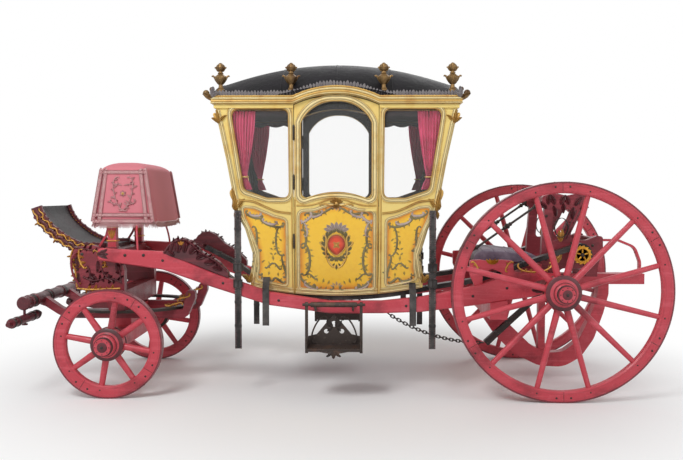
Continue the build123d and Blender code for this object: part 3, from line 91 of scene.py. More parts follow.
# Materials
class Sketch:
    """Short words for the nodes of one material."""

    def __init__(self, name: str) -> None:
        """Starts a material that has one Principled shader."""
        self.material = bpy.data.materials.new(name)
        self.material.use_nodes = True
        self.tree = self.material.node_tree
        self.shader = self.tree.nodes["Principled BSDF"]
        self._coords = self.tree.nodes.new("ShaderNodeTexCoord")

    def place(self, scale: tuple[float, float, float] = (1, 1, 1)) -> bpy.types.NodeSocket:
        """Object coordinates, stretched by a scale.

        Args:
            scale: how much denser the pattern is along each axis.

        Returns:
            The socket with the scaled coordinates.
        """
        mapping = self.tree.nodes.new("ShaderNodeMapping")
        mapping.inputs["Scale"].default_value = scale
        self.tree.links.new(self._coords.outputs["Object"], mapping.inputs["Vector"])
        return mapping.outputs["Vector"]

    def noise(self, scale: float, detail: float = 4, rough: float = 0.55,
              vector: bpy.types.NodeSocket | None = None) -> bpy.types.NodeSocket:
        """A cloudy value from 0 to 1.

        Args:
            scale: how fine the clouds are, per metre.
            detail: how many finer layers lie on them.
            rough: how strong the finer layers are.
            vector: the coordinates, or None for plain Object coordinates.

        Returns:
            The value socket.
        """
        node = self.tree.nodes.new("ShaderNodeTexNoise")
        node.inputs["Scale"].default_value = scale
        node.inputs["Detail"].default_value = detail
        node.inputs["Roughness"].default_value = rough
        self.tree.links.new(vector or self.place(), node.inputs["Vector"])
        return node.outputs["Fac"]

    def cells(self, scale: float, edges: bool = False,
              vector: bpy.types.NodeSocket | None = None) -> bpy.types.NodeSocket:
        """Cell pattern, such as leather grain or crackle.

        Args:
            scale: cells per metre.
            edges: True for the distance to a cell's edge, False for the distance to its middle.
            vector: the coordinates, or None for plain Object coordinates.

        Returns:
            The distance socket.
        """
        node = self.tree.nodes.new("ShaderNodeTexVoronoi")
        if edges:
            node.feature = "DISTANCE_TO_EDGE"
        node.inputs["Scale"].default_value = scale
        self.tree.links.new(vector or self.place(), node.inputs["Vector"])
        return node.outputs["Distance"]

    def waves(self, scale: float, distortion: float = 0, direction: str = "X",
              vector: bpy.types.NodeSocket | None = None) -> bpy.types.NodeSocket:
        """Parallel bands across one axis.

        Args:
            scale: bands per metre, roughly.
            distortion: how much they wander.
            direction: the axis across the bands.
            vector: the coordinates, or None for plain Object coordinates.

        Returns:
            The value socket.
        """
        node = self.tree.nodes.new("ShaderNodeTexWave")
        node.bands_direction = direction
        node.inputs["Scale"].default_value = scale
        node.inputs["Distortion"].default_value = distortion
        self.tree.links.new(vector or self.place(), node.inputs["Vector"])
        return node.outputs["Fac"]

    def attribute(self, name: str = SHADE) -> bpy.types.NodeSocket:
        """A number that the mesh carries at each point."""
        node = self.tree.nodes.new("ShaderNodeAttribute")
        node.attribute_name = name
        return node.outputs["Fac"]

    def indoors(self) -> bpy.types.NodeSocket:
        """1 on the faces that look into the cabin above its seats, and 0 elsewhere."""
        parts = self.tree.nodes.new("ShaderNodeSeparateXYZ")
        self.tree.links.new(self.place(), parts.inputs["Vector"])
        within_sides = self.math("LESS_THAN", self.math("ABSOLUTE", parts.outputs["Y"]), 0.4965)
        lean = self.math("MULTIPLY", self.math("SUBTRACT", parts.outputs["Z"], 1.368), 0.2)
        along = self.math("ABSOLUTE", self.math("SUBTRACT", parts.outputs["X"], CABIN_X))
        within_ends = self.math("LESS_THAN", self.math("SUBTRACT", along, lean), 0.719)
        high = self.math("GREATER_THAN", parts.outputs["Z"], 1.40)
        return self.math("MULTIPLY", self.math("MULTIPLY", within_sides, within_ends), high)

    def ramp(self, value: bpy.types.NodeSocket,
             stops: Sequence[tuple[float, Colour]]) -> bpy.types.NodeSocket:
        """Colours laid out along a value.

        Args:
            value: the socket that picks the colour.
            stops: places from 0 to 1, each with its colour.

        Returns:
            The colour socket.
        """
        node = self.tree.nodes.new("ShaderNodeValToRGB")
        elements = node.color_ramp.elements
        while len(elements) < len(stops):
            elements.new(0.5)
        for element, (spot, colour) in zip(elements, stops):
            element.position = spot
            element.color = (*colour, 1)
        self.tree.links.new(value, node.inputs["Fac"])
        return node.outputs["Color"]

    def band(self, value: bpy.types.NodeSocket, low: float, high: float) -> bpy.types.NodeSocket:
        """Stretches a value so that low gives 0 and high gives 1, and clamps it."""
        node = self.tree.nodes.new("ShaderNodeMapRange")
        node.inputs["From Min"].default_value = low
        node.inputs["From Max"].default_value = high
        self.tree.links.new(value, node.inputs["Value"])
        return node.outputs["Result"]

    def math(self, operation: str, first: bpy.types.NodeSocket,
             second: bpy.types.NodeSocket | float = 0.0) -> bpy.types.NodeSocket:
        """One sum or product of two values."""
        node = self.tree.nodes.new("ShaderNodeMath")
        node.operation = operation
        self.tree.links.new(first, node.inputs[0])
        if isinstance(second, bpy.types.NodeSocket):
            self.tree.links.new(second, node.inputs[1])
        else:
            node.inputs[1].default_value = second
        return node.outputs[0]

    def mix(self, share: bpy.types.NodeSocket, first: bpy.types.NodeSocket | Colour,
            second: bpy.types.NodeSocket | Colour, blend: str = "MIX") -> bpy.types.NodeSocket:
        """Two colours mixed by a value.

        Args:
            share: how much of the second colour shows.
            first: the colour, or its socket, where the share is 0.
            second: the colour, or its socket, where the share is 1.
            blend: how the two are combined.

        Returns:
            The colour socket.
        """
        node = self.tree.nodes.new("ShaderNodeMix")
        node.data_type = "RGBA"
        node.blend_type = blend
        self.tree.links.new(share, node.inputs["Factor"])
        for colour, socket in ((first, node.inputs[6]), (second, node.inputs[7])):
            if isinstance(colour, bpy.types.NodeSocket):
                self.tree.links.new(colour, socket)
            else:
                socket.default_value = (*colour, 1)
        return node.outputs[2]

    def finish(self, colour: bpy.types.NodeSocket, roughness: bpy.types.NodeSocket | float,
               height: bpy.types.NodeSocket | None = None, depth: float = 0.001,
               metallic: float = 0.0, **plain: float) -> bpy.types.Material:
        """Joins the colour, gloss and relief to the shader.

        Args:
            colour: the base colour's socket.
            roughness: one number, or the socket of a pattern.
            height: the relief's socket, or None for a smooth surface.
            depth: how deep the relief is, in metres.
            metallic: how much of the surface is bare metal.
            plain: other shader inputs that are the same all over, by name with underscores.

        Returns:
            The finished material.
        """
        self.tree.links.new(colour, self.shader.inputs["Base Color"])
        if isinstance(roughness, bpy.types.NodeSocket):
            self.tree.links.new(roughness, self.shader.inputs["Roughness"])
        else:
            self.shader.inputs["Roughness"].default_value = roughness
        self.shader.inputs["Metallic"].default_value = metallic
        for name, value in plain.items():
            self.shader.inputs[name.replace("_", " ")].default_value = value
        if height is not None:
            bump = self.tree.nodes.new("ShaderNodeBump")
            bump.inputs["Distance"].default_value = depth
            self.tree.links.new(height, bump.inputs["Height"])
            self.tree.links.new(bump.outputs["Normal"], self.shader.inputs["Normal"])
        return self.material


@dataclass(frozen=True)
class Finish:
    """What all finishes share: a name, and one material made when first asked for."""

    name: str

    def material(self) -> bpy.types.Material:
        """The finish's material, made once."""
        found = bpy.data.materials.get(self.name)
        return found or self.build()

    def build(self) -> bpy.types.Material:
        """Makes the material. Each kind of finish has its own."""
        raise NotImplementedError


@dataclass(frozen=True)
class PaintedWood(Finish):
    """Old glossy paint on wood: cloudy, faded in patches and streaks, scuffed with dirt and darkened by painted
    shade in its hollows, with grain under it.
    """

    coat: Colour = tint(196, 62, 76)
    faded: Colour = tint(222, 104, 118)
    deep: Colour = tint(128, 30, 42)
    grime: Colour = tint(52, 18, 20)
    gloss: float = 0.42

    def build(self) -> bpy.types.Material:
        """Makes the paint from clouds, grain and a little crackle."""
        sketch = Sketch(self.name)
        clouds = sketch.noise(3.2, 5, 0.6)
        base = sketch.ramp(clouds,
                           [(0.28, self.deep), (0.46, self.coat), (0.62, self.coat), (0.8, self.faded)])
        speckle = sketch.band(sketch.noise(55, 6, 0.7), 0.56, 0.72)
        base = sketch.mix(sketch.math("MULTIPLY", speckle, 0.35), base, self.faded)
        scuffs = sketch.band(sketch.noise(14, 8, 0.75), 0.62, 0.74)
        base = sketch.mix(sketch.math("MULTIPLY", scuffs, 0.55), base, self.grime)
        # Painted shade: the paint is drawn dark where the piece's shade attribute marks hollows, grooves and the
        # feet of raised pieces.
        base = sketch.mix(sketch.attribute(), base, self.grime)
        streaks = sketch.band(sketch.noise(16, 7, 0.72, sketch.place((0.10, 1.4, 1.4))), 0.52, 0.70)
        base = sketch.mix(sketch.math("MULTIPLY", streaks, 0.55), base, self.faded)
        grain = sketch.noise(40, 3, 0.5, sketch.place((0.25, 1.6, 1.6)))
        crackle = sketch.band(sketch.cells(90, edges=True), 0.0, 0.04)
        relief = sketch.math("ADD", sketch.math("MULTIPLY", grain, 0.7),
                             sketch.math("MULTIPLY", crackle, 0.3))
        rough = sketch.band(sketch.noise(9, 4, 0.6), 0.1, 1.6)
        return sketch.finish(base, sketch.math("ADD", rough, self.gloss - 0.25), relief, 0.0012,
                             Coat_Weight=0.18, Coat_Roughness=0.35)


@dataclass(frozen=True)
class GiltWood(Finish):
    """Gold leaf or gold paint over carved wood, dirty in patches and brown with painted shade in its hollows and
    grooves.
    """

    leaf: Colour = tint(226, 190, 104)
    warm: Colour = tint(206, 146, 58)
    hollow: Colour = tint(96, 58, 26)
    metal: float = 0.25
    wear: float = 0.35
    lined: bool = False

    def build(self) -> bpy.types.Material:
        """Makes the leaf from warm and pale patches, with brown painted shade where the piece says it is hollow."""
        sketch = Sketch(self.name)
        clouds = sketch.noise(7, 5, 0.6)
        base = sketch.ramp(clouds,
                           [(0.32, self.warm), (0.5, self.leaf), (0.68, self.leaf), (0.82, self.warm)])
        dirt = sketch.band(sketch.noise(38, 8, 0.78), 0.55, 0.7)
        base = sketch.mix(sketch.math("MULTIPLY", dirt, self.wear), base, self.hollow)
        # Painted shade: brown where the piece's shade attribute marks hollows and grooves.
        base = sketch.mix(sketch.attribute(), base, self.hollow)
        if self.lined:
            base = sketch.mix(sketch.indoors(), base, tint(34, 10, 18))
        relief = sketch.noise(70, 6, 0.65)
        rough = sketch.band(sketch.noise(16, 3), -0.4, 1.5)
        return sketch.finish(base, rough, relief, 0.0012, metallic=self.metal, Specular_IOR_Level=0.5)


@dataclass(frozen=True)
class BodyPaint(Finish):
    """Golden ground of the painted panels: amber at the edge, clear yellow in the middle."""

    middle: Colour = tint(246, 196, 52)
    amber: Colour = tint(216, 138, 36)
    rim: Colour = tint(172, 104, 40)

    def build(self) -> bpy.types.Material:
        """Makes the ground from the piece's own distance to its edge, blurred by clouds."""
        sketch = Sketch(self.name)
        ragged = sketch.math("ADD", sketch.attribute(),
                             sketch.math("MULTIPLY", sketch.math("SUBTRACT", sketch.noise(11, 6, 0.65), 0.5),
                                         0.55))
        base = sketch.ramp(ragged, [(0.12, self.middle), (0.42, tint(240, 178, 44)), (0.72, self.amber),
                                    (1.0, self.rim)])
        mottle = sketch.band(sketch.noise(26, 7, 0.7), 0.5, 0.78)
        base = sketch.mix(sketch.math("MULTIPLY", mottle, 0.3), base, self.amber)
        craze = sketch.band(sketch.cells(130, edges=True), 0.0, 0.035)
        relief = sketch.math("ADD", sketch.math("MULTIPLY", craze, 0.4), sketch.noise(45, 4))
        return sketch.finish(base, 0.34, relief, 0.0005, Coat_Weight=0.35, Coat_Roughness=0.2)


@dataclass(frozen=True)
class Ironwork(Finish):
    """Forged iron: near black, brown in patches and rubbed pale on raised grain."""

    skin: Colour = tint(58, 52, 50)
    rust: Colour = tint(96, 66, 50)
    bright: Colour = tint(128, 120, 112)
    metal: float = 0.55
    gloss: float = 0.5

    def build(self) -> bpy.types.Material:
        """Makes the iron from scale, rust and rubbed spots, with near-black painted shade where the piece marks its
        hollows.
        """
        sketch = Sketch(self.name)
        clouds = sketch.noise(9, 6, 0.65)
        base = sketch.ramp(clouds, [(0.35, self.skin), (0.55, self.skin), (0.78, self.rust)])
        rubbed = sketch.band(sketch.noise(48, 6, 0.7), 0.58, 0.72)
        base = sketch.mix(sketch.math("MULTIPLY", rubbed, 0.6), base, self.bright)
        # Painted shade: near black where the piece's shade attribute marks hollows and the feet of raised pieces.
        base = sketch.mix(sketch.attribute(), base, tint(22, 20, 20))
        relief = sketch.math("ADD", sketch.noise(85, 5, 0.6), sketch.math("MULTIPLY", sketch.cells(60), 0.3))
        return sketch.finish(base,
                             sketch.math("ADD", sketch.math("MULTIPLY", clouds, 0.3), self.gloss - 0.15),
                             relief, 0.0012, metallic=self.metal)


@dataclass(frozen=True)
class Leather(Finish):
    """Dressed leather: pebbled grain, soft creases and a greyed, rubbed surface."""

    hide: Colour = tint(46, 42, 45)
    rubbed: Colour = tint(92, 88, 88)
    grain: float = 420
    gloss: float = 0.42
    shine: float = 0.35

    def build(self) -> bpy.types.Material:
        """Makes the hide from grain cells, long creases and rubbed clouds, with near-black painted shade where the
        piece marks its hollows.
        """
        sketch = Sketch(self.name)
        clouds = sketch.noise(6, 6, 0.65)
        base = sketch.ramp(clouds, [(0.4, self.hide), (0.72, self.rubbed)])
        specks = sketch.band(sketch.noise(70, 5, 0.7), 0.6, 0.7)
        base = sketch.mix(sketch.math("MULTIPLY", specks, 0.35), base, self.rubbed)
        # Painted shade: near black where the piece's shade attribute marks hollows and the feet of raised pieces.
        base = sketch.mix(sketch.attribute(), base, tint(18, 16, 17))
        pebble = sketch.cells(self.grain)
        creases = sketch.band(sketch.noise(22, 4, 0.5, sketch.place((1, 1, 0.35))), 0.45, 0.55)
        relief = sketch.math("ADD", sketch.math("MULTIPLY", pebble, 0.5), creases)
        return sketch.finish(base,
                             sketch.math("ADD", sketch.math("MULTIPLY", clouds, 0.35), self.gloss - 0.18),
                             relief, 0.0008, Specular_IOR_Level=self.shine)


@dataclass(frozen=True)
class Velvet(Finish):
    """Silk velvet: a soft pile that catches light at a grazing angle."""

    pile: Colour = tint(178, 46, 78)
    crushed: Colour = tint(122, 26, 52)
    sheen: Colour = tint(240, 150, 175)
    sheen_weight: float = 0.55

    def build(self) -> bpy.types.Material:
        """Makes the pile from flattened patches, painted shade from the piece's shade attribute, and fine ribs."""
        sketch = Sketch(self.name)
        patches = sketch.noise(9, 5, 0.6)
        base = sketch.ramp(patches, [(0.3, self.crushed), (0.55, self.pile), (0.8, self.pile)])
        # Painted shade: the pile is drawn darker where the piece's shade attribute marks hollows, folds and faces
        # turned from the light.
        base = sketch.mix(sketch.attribute(), base, self.crushed)
        ribs = sketch.noise(520, 2, 0.5)
        relief = sketch.math("ADD", sketch.math("MULTIPLY", ribs, 0.5), sketch.noise(60, 3))
        made = sketch.finish(base, 0.85, relief, 0.0012, Sheen_Weight=self.sheen_weight, Sheen_Roughness=0.45)
        sketch.shader.inputs["Sheen Tint"].default_value = (*self.sheen, 1)
        return made


@dataclass(frozen=True)
class Braid(Finish):
    """Woven metal-thread braid: a diagonal weave, tarnished between the threads."""

    thread: Colour = tint(186, 172, 162)
    gap: Colour = tint(132, 74, 78)

    def build(self) -> bpy.types.Material:
        """Makes the weave from two crossing sets of bands in Object coordinates."""
        sketch = Sketch(self.name)
        rising = sketch.waves(75, 0.6, "DIAGONAL")
        level = sketch.waves(110, 0.4, "Z")
        weave = sketch.math("MULTIPLY", rising, level)
        base = sketch.ramp(weave, [(0.08, self.gap), (0.38, self.thread), (0.8, tint(214, 204, 194))])
        base = sketch.mix(sketch.band(sketch.noise(24, 5, 0.7), 0.5, 0.75), base, self.gap)
        # Painted shade: the braid is drawn darker at its edges and in the hollows that the piece's shade attribute
        # marks.
        base = sketch.mix(sketch.attribute(), base, self.gap)
        return sketch.finish(base, 0.5, weave, 0.0012, metallic=0.2)


@dataclass(frozen=True)
class PaneGlass(Finish):
    """Thin, clear, slightly wavy window glass."""

    def build(self) -> bpy.types.Material:
        """Makes the pane from a faint wave over an almost clear surface."""
        sketch = Sketch(self.name)
        wave = sketch.noise(3, 2, 0.4)
        base = sketch.ramp(wave, [(0.2, tint(236, 242, 240)), (0.8, tint(250, 252, 250))])
        made = sketch.finish(base, 0.03, wave, 0.0015, Alpha=0.035, IOR=1.45, Specular_IOR_Level=0.25)
        made.blend_method = "BLEND"
        return made


RED_WOOD = PaintedWood("red_painted_wood")
DARK_RED_WOOD = PaintedWood("dark_red_carving", coat=tint(86, 22, 32), faded=tint(140, 50, 60),
                            deep=tint(44, 12, 18), grime=tint(28, 12, 14))
# Painted shade: a darker copy of the red paint, for the front transom, the rear standard, the futchells and small
# red parts that sit in shade.
SHADED_RED_WOOD = PaintedWood("old_red_wood", coat=tint(126, 34, 46), faded=tint(176, 70, 82),
                           deep=tint(70, 18, 28), grime=tint(30, 14, 16))
TYRE_PAINT = PaintedWood("painted_tyre_iron", coat=tint(120, 44, 54), faded=tint(150, 84, 88),
                         deep=tint(70, 30, 36), grime=tint(34, 22, 24))
LINING_WOOD = PaintedWood("lining_boards", coat=tint(46, 16, 22), faded=tint(66, 30, 34),
                          deep=tint(50, 16, 20), grime=tint(26, 12, 12), gloss=0.6)
GILT_FRAME = GiltWood("pale_gilt_frame", leaf=tint(240, 222, 164), warm=tint(228, 194, 120),
                      hollow=tint(112, 70, 32), metal=0.12)
GILT_CARVING = GiltWood("gilt_carving", leaf=tint(216, 176, 98), warm=tint(188, 138, 74),
                        hollow=tint(92, 58, 32), metal=0.3)
GILT_TOUCH = GiltWood("gilt_touches_on_red", leaf=tint(222, 172, 82), warm=tint(196, 128, 56),
                      hollow=tint(120, 42, 34), metal=0.35, wear=0.5)
BRONZE = GiltWood("bronze_finials", leaf=tint(142, 112, 70), warm=tint(96, 68, 44),
                  hollow=tint(34, 26, 22), metal=0.7, wear=0.6)
RATCHET_BRASS = GiltWood("ratchet_brass", leaf=tint(226, 172, 58), warm=tint(186, 122, 34),
                         hollow=tint(70, 36, 16), metal=0.6, wear=0.25)
PANEL_GOLD = BodyPaint("golden_panel_paint")
FRAME_GOLD = GiltWood("golden_framework", leaf=tint(238, 212, 128), warm=tint(232, 196, 108),
                      hollow=tint(128, 84, 38), metal=0.05, wear=0.18, lined=True)
CRESTING = GiltWood("tarnished_cresting", leaf=tint(158, 152, 152), warm=tint(118, 110, 114),
                    hollow=tint(44, 38, 44), metal=0.2, wear=0.35)
PURPLE_BAND = Leather("purple_edge_leather", hide=tint(84, 72, 84), rubbed=tint(120, 108, 116), grain=300)
VALANCE_CLOTH = Velvet("dark_valance_cloth", pile=tint(52, 34, 44), crushed=tint(34, 22, 30),
                       sheen_weight=0.15)
OLIVE_PAINT = GiltWood("olive_scroll_paint", leaf=tint(132, 122, 84), warm=tint(84, 72, 40),
                       hollow=tint(52, 40, 22), metal=0.0, wear=0.5)
LILAC_PAINT = GiltWood("lilac_shell_paint", leaf=tint(186, 168, 160), warm=tint(142, 118, 112),
                       hollow=tint(80, 60, 56), metal=0.0, wear=0.4)
SCARLET_PAINT = PaintedWood("scarlet_medallion", coat=tint(226, 74, 44), faded=tint(240, 122, 84),
                            deep=tint(186, 50, 30), grime=tint(96, 30, 20))
IRON = Ironwork("forged_iron")
STEP_IRON = Ironwork("step_iron", skin=tint(66, 56, 52), rust=tint(112, 82, 66), bright=tint(136, 122, 110),
                     metal=0.45)
ROOF_LEATHER = Leather("black_roof_leather", hide=tint(14, 12, 15), rubbed=tint(36, 33, 37), grain=300,
                       gloss=0.55, shine=0.15)
STRAP_LEATHER = Leather("worn_strap_leather", hide=tint(30, 27, 28), rubbed=tint(98, 94, 92), gloss=0.38)
SOFT_LEATHER = Leather("footboard_leather", hide=tint(18, 14, 16), rubbed=tint(56, 40, 44), grain=260,
                       shine=0.15)
PAD_CLOTH = Leather("platform_pad_leather", hide=tint(84, 72, 90), rubbed=tint(138, 126, 140), grain=240,
                    gloss=0.55)
CURTAIN_SILK = Velvet("curtain_silk", pile=tint(240, 92, 144), crushed=tint(196, 54, 98), sheen_weight=0.3)
SEAT_VELVET = Velvet("seat_velvet", pile=tint(150, 32, 56), crushed=tint(98, 18, 36))
CLOTH_VELVET = Velvet("hammercloth_velvet", pile=tint(196, 26, 54), crushed=tint(92, 10, 34),
                      sheen=tint(235, 140, 160), sheen_weight=0.06)
SILVER_BRAID = Braid("silver_braid", thread=tint(220, 194, 190), gap=tint(190, 122, 130))
GLASS = PaneGlass("window_glass")

NODE_FINISHES: dict[str, Finish] = {
    "perch_left": RED_WOOD, "perch_right": RED_WOOD, "rear_axle": RED_WOOD, "rear_transom": RED_WOOD,
    "under_bow": RED_WOOD, "rear_beam": RED_WOOD, "quarter_front_left": FRAME_GOLD,
    "quarter_front_right": FRAME_GOLD, "quarter_rear_left": FRAME_GOLD, "quarter_rear_right": FRAME_GOLD,
    "door_left": FRAME_GOLD, "door_right": FRAME_GOLD, "door_glass_left": GLASS, "door_glass_right": GLASS,
    "window_glass": GLASS, "cabin_front_wall": FRAME_GOLD, "cabin_rear_wall": FRAME_GOLD,
    "cabin_floor": LINING_WOOD, "cabin_seats": LINING_WOOD, "seat_cushions": SEAT_VELVET,
    "cornice": FRAME_GOLD, "roof": ROOF_LEATHER, "roof_finials": BRONZE, "curtains": CURTAIN_SILK,
    "main_braces": STRAP_LEATHER, "check_straps": STRAP_LEATHER, "rear_board": RED_WOOD,
    "rear_board_pad": PAD_CLOTH, "rear_standard": SHADED_RED_WOOD, "standard_rods": IRON,
    "brace_winders": RATCHET_BRASS,
    "drag_staff": IRON, "drag_chain": IRON, "step_left": STEP_IRON, "step_right": STEP_IRON,
    "step_brackets": STEP_IRON, "front_transom": SHADED_RED_WOOD, "seat_frame": RED_WOOD,
    "hammercloth": CLOTH_VELVET, "footboard": DARK_RED_WOOD, "footboard_lining": SOFT_LEATHER,
    "brace_brackets": DARK_RED_WOOD, "front_axle": RED_WOOD, "futchells": SHADED_RED_WOOD, "wheel_plate": IRON,
    "splinter_bar": DARK_RED_WOOD, "swingletree_left": DARK_RED_WOOD, "swingletree_right": DARK_RED_WOOD,
}


def finish_nodes() -> None:
    """Gives every CAD node its finish."""
    for name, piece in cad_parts.items():
        if name.endswith("_tyre"):
            chosen = TYRE_PAINT
        elif "_wheel_" in name:
            chosen = RED_WOOD
        else:
            chosen = NODE_FINISHES[name]
        piece.data.materials.clear()
        piece.data.materials.append(chosen.material())


# Shapes
def unit(rows: np.ndarray) -> np.ndarray:
    """Rows of vectors, each made one unit long."""
    rows = np.asarray(rows, float)
    size = np.linalg.norm(rows, axis=-1, keepdims=True)
    return rows / np.maximum(size, 1e-12)


def smooth_path(points: Sequence[Sequence[float]], step: float, closed: bool = False) -> np.ndarray:
    """A smooth line through given points, divided evenly.

    Args:
        points: the points, in two or three dimensions.
        step: the distance between the returned points.
        closed: whether the line joins its own start.

    Returns:
        The evenly spaced points. A closed line doesn't repeat its first point.
    """
    given = np.asarray(points, float)
    count = len(given)
    dense = []
    spans = count if closed else count - 1
    for span in range(spans):
        picks = [span - 1, span, span + 1, span + 2]
        picks = [pick % count for pick in picks] if closed else [min(max(pick, 0),
                                                                     count - 1) for pick in picks]
        before, start, end, after = (given[pick] for pick in picks)
        for share in np.linspace(0, 1, 12, endpoint=False):
            dense.append(0.5 * (
                2 * start + (end - before) * share
                + (2 * before - 5 * start + 4 * end - after) * share ** 2
                + (3 * start - before - 3 * end + after) * share ** 3
            ))
    dense.append(given[0] if closed else given[-1])
    return even_path(np.array(dense), step, closed)


def even_path(dense: np.ndarray, step: float, closed: bool = False) -> np.ndarray:
    """Divides a polyline evenly, at about a step. A closed line's last point isn't repeated."""
    runs = np.linalg.norm(np.diff(dense, axis=0), axis=1)
    along = np.concatenate([[0], np.cumsum(runs)])
    count = max(int(round(along[-1] / step)), 2)
    marks = np.linspace(0, along[-1], count + 1)
    if closed:
        marks = marks[:-1]
    return np.stack([np.interp(marks, along, dense[:, axis]) for axis in range(dense.shape[1])], axis=1)


def rounded(rows: Sequence[tuple[float, float, float]], step: float = 0.012) -> np.ndarray:
    """A closed flat outline from corners with radii.

    Args:
        rows: along, up and corner radius of each corner, in order.
        step: the distance between the returned points.

    Returns:
        The outline's points.
    """
    corners = np.array([row[:2] for row in rows], float)
    dense = []
    count = len(rows)
    for index in range(count):
        here = corners[index]
        before = unit(corners[index - 1] - here)
        after = unit(corners[(index + 1) % count] - here)
        angle = math.acos(max(-1.0, min(1.0, float(before @ after))))
        reach = rows[index][2] / max(math.tan(angle / 2), 1e-6)
        start, end = here + before * reach, here + after * reach
        for share in np.linspace(0, 1, 9):
            dense.append((1 - share) ** 2 * start + 2 * share * (1 - share) * here + share ** 2 * end)
    dense.append(dense[0])
    return even_path(np.array(dense), step, True)


def scroll(start: tuple[float, float], end: tuple[float, float], curl_start: float, curl_end: float,
           samples: int = 46) -> np.ndarray:
    """A flat scroll between two eyes, C-shaped where the curls have one sign and S-shaped where they differ.

    Args:
        start: the eye at one end.
        end: the eye at the other end.
        curl_start: turns of the curl at the start, signed.
        curl_end: turns of the curl at the end, signed.
        samples: how many points the line has.

    Returns:
        The points of the line.
    """
    shares = np.linspace(0, 1, samples)
    fade = 0.09
    near_start = np.exp(-shares / fade)
    near_end = np.exp(-(1 - shares) / fade)
    heading = FULL_TURN * (curl_end * near_end - curl_start * near_start)
    heading += 0.35 * (np.sign(curl_end) * shares - np.sign(curl_start) * (1 - shares))
    steps = 1 - 0.8 * np.maximum(near_start, near_end)
    moves = np.stack([np.cos(heading), np.sin(heading)], axis=1) * steps[:, None]
    line = np.cumsum(moves, axis=0)
    line -= line[0]
    reach = line[-1]
    wanted = np.array(end, float) - np.array(start, float)
    size = np.linalg.norm(wanted) / max(np.linalg.norm(reach), 1e-9)
    turn = math.atan2(wanted[1], wanted[0]) - math.atan2(reach[1], reach[0])
    spin = np.array([[math.cos(turn), math.sin(turn)], [-math.sin(turn), math.cos(turn)]])
    return line @ spin * size + np.array(start, float)


# Each profile's shade row is painted shade: dark in the grooves and where the moulding meets its surface, light on
# the crests.
HALF_ROUND = np.array([(-1, -0.25), (-1, 0.1), (-0.72, 0.66), (0, 1), (0.72, 0.66), (1, 0.1), (1, -0.25)])
HALF_ROUND_SHADE = np.array([0.9, 0.55, 0.08, 0.0, 0.08, 0.55, 0.9])
FRAME_PROFILE = np.array([
    (-1, -0.2), (-1, 0.42), (-0.86, 0.66), (-0.7, 0.6), (-0.6, 0.2), (-0.5, 0.5), (-0.26, 0.94),
    (0.1, 1.0), (0.36, 0.78), (0.46, 0.3), (0.56, 0.55), (0.76, 0.62), (0.94, 0.4), (1, -0.2),
])
FRAME_SHADE = np.array([1, 0.35, 0.0, 0.25, 1.0, 0.45, 0.0, 0.0, 0.3, 1.0, 0.3, 0.0, 0.35, 1.0])
STRAP_PROFILE = np.array([(-1, -0.5), (-1, 0.35), (-0.9, 0.5), (0.9, 0.5), (1, 0.35), (1, -0.5)])
STRAP_SHADE = np.array([0.7, 0.3, 0.0, 0.0, 0.3, 0.7])


def sweep(path: np.ndarray, outs: np.ndarray, half_width: float | np.ndarray, height: float | np.ndarray,
          closed: bool = False, profile: np.ndarray = HALF_ROUND,
          shade: np.ndarray = HALF_ROUND_SHADE) -> Shape:
    """Draws a moulding's section along a line.

    Args:
        path: the line's points.
        outs: the direction away from the surface at each point.
        half_width: half the moulding's width, one number or one a point.
        height: how far it stands proud, one number or one a point.
        closed: whether the line joins its own start.
        profile: the section, from -1 to 1 across and 0 to 1 up.
        shade: how dark each point of the section is.

    Returns:
        The closed shape.
    """
    count, wide = len(path), len(profile)
    if closed:
        ahead = np.roll(path, -1, axis=0) - np.roll(path, 1, axis=0)
    else:
        ahead = np.gradient(path, axis=0)
    ahead = unit(ahead)
    outs = unit(outs - ahead * np.sum(outs * ahead, axis=1, keepdims=True))
    across = np.cross(ahead, outs)
    half = np.broadcast_to(half_width, (count,))[:, None, None]
    tall = np.broadcast_to(height, (count,))[:, None, None]
    points = (
        path[:, None, :]
        + across[:, None, :] * profile[None, :, 0:1] * half
        + outs[:, None, :] * profile[None, :, 1:2] * tall
    ).reshape(-1, 3)
    faces = []
    for row in range(count if closed else count - 1):
        for column in range(wide):
            right = (column + 1) % wide
            below = (row + 1) % count
            faces.append((row * wide + column, row * wide + right, below * wide + right,
                          below * wide + column))
    if not closed:
        faces.append(tuple(range(wide))[::-1])
        faces.append(tuple((count - 1) * wide + column for column in range(wide)))
    return points, faces, np.tile(shade, count)


def tube(path: np.ndarray, radius: float | np.ndarray, sides: int = 8, closed: bool = False,
         flat: float = 1.0) -> Shape:
    """A rod of changing thickness along a line in space.

    Args:
        path: the line's points.
        radius: one number or one a point.
        sides: how many sides the rod has.
        closed: whether the line joins its own start.
        flat: how much thinner the rod is one way than the other.

    Returns:
        The closed shape.
    """
    path = np.asarray(path, float)
    ahead = unit(np.roll(path, -1, 0) - np.roll(path, 1, 0)) if closed else unit(np.gradient(path, axis=0))
    out = np.array([0.0, 0.0, 1.0]) if abs(ahead[0][2]) < 0.9 else np.array([0.0, 1.0, 0.0])
    outs = []
    for direction in ahead:
        out = out - direction * float(out @ direction)
        out = out / max(np.linalg.norm(out), 1e-9)
        outs.append(out)
    angles = np.linspace(0, FULL_TURN, sides, endpoint=False)
    ring = np.stack([np.cos(angles), np.sin(angles) * flat], axis=1)
    return sweep(path, np.array(outs), radius, radius, closed, ring, np.zeros(sides))


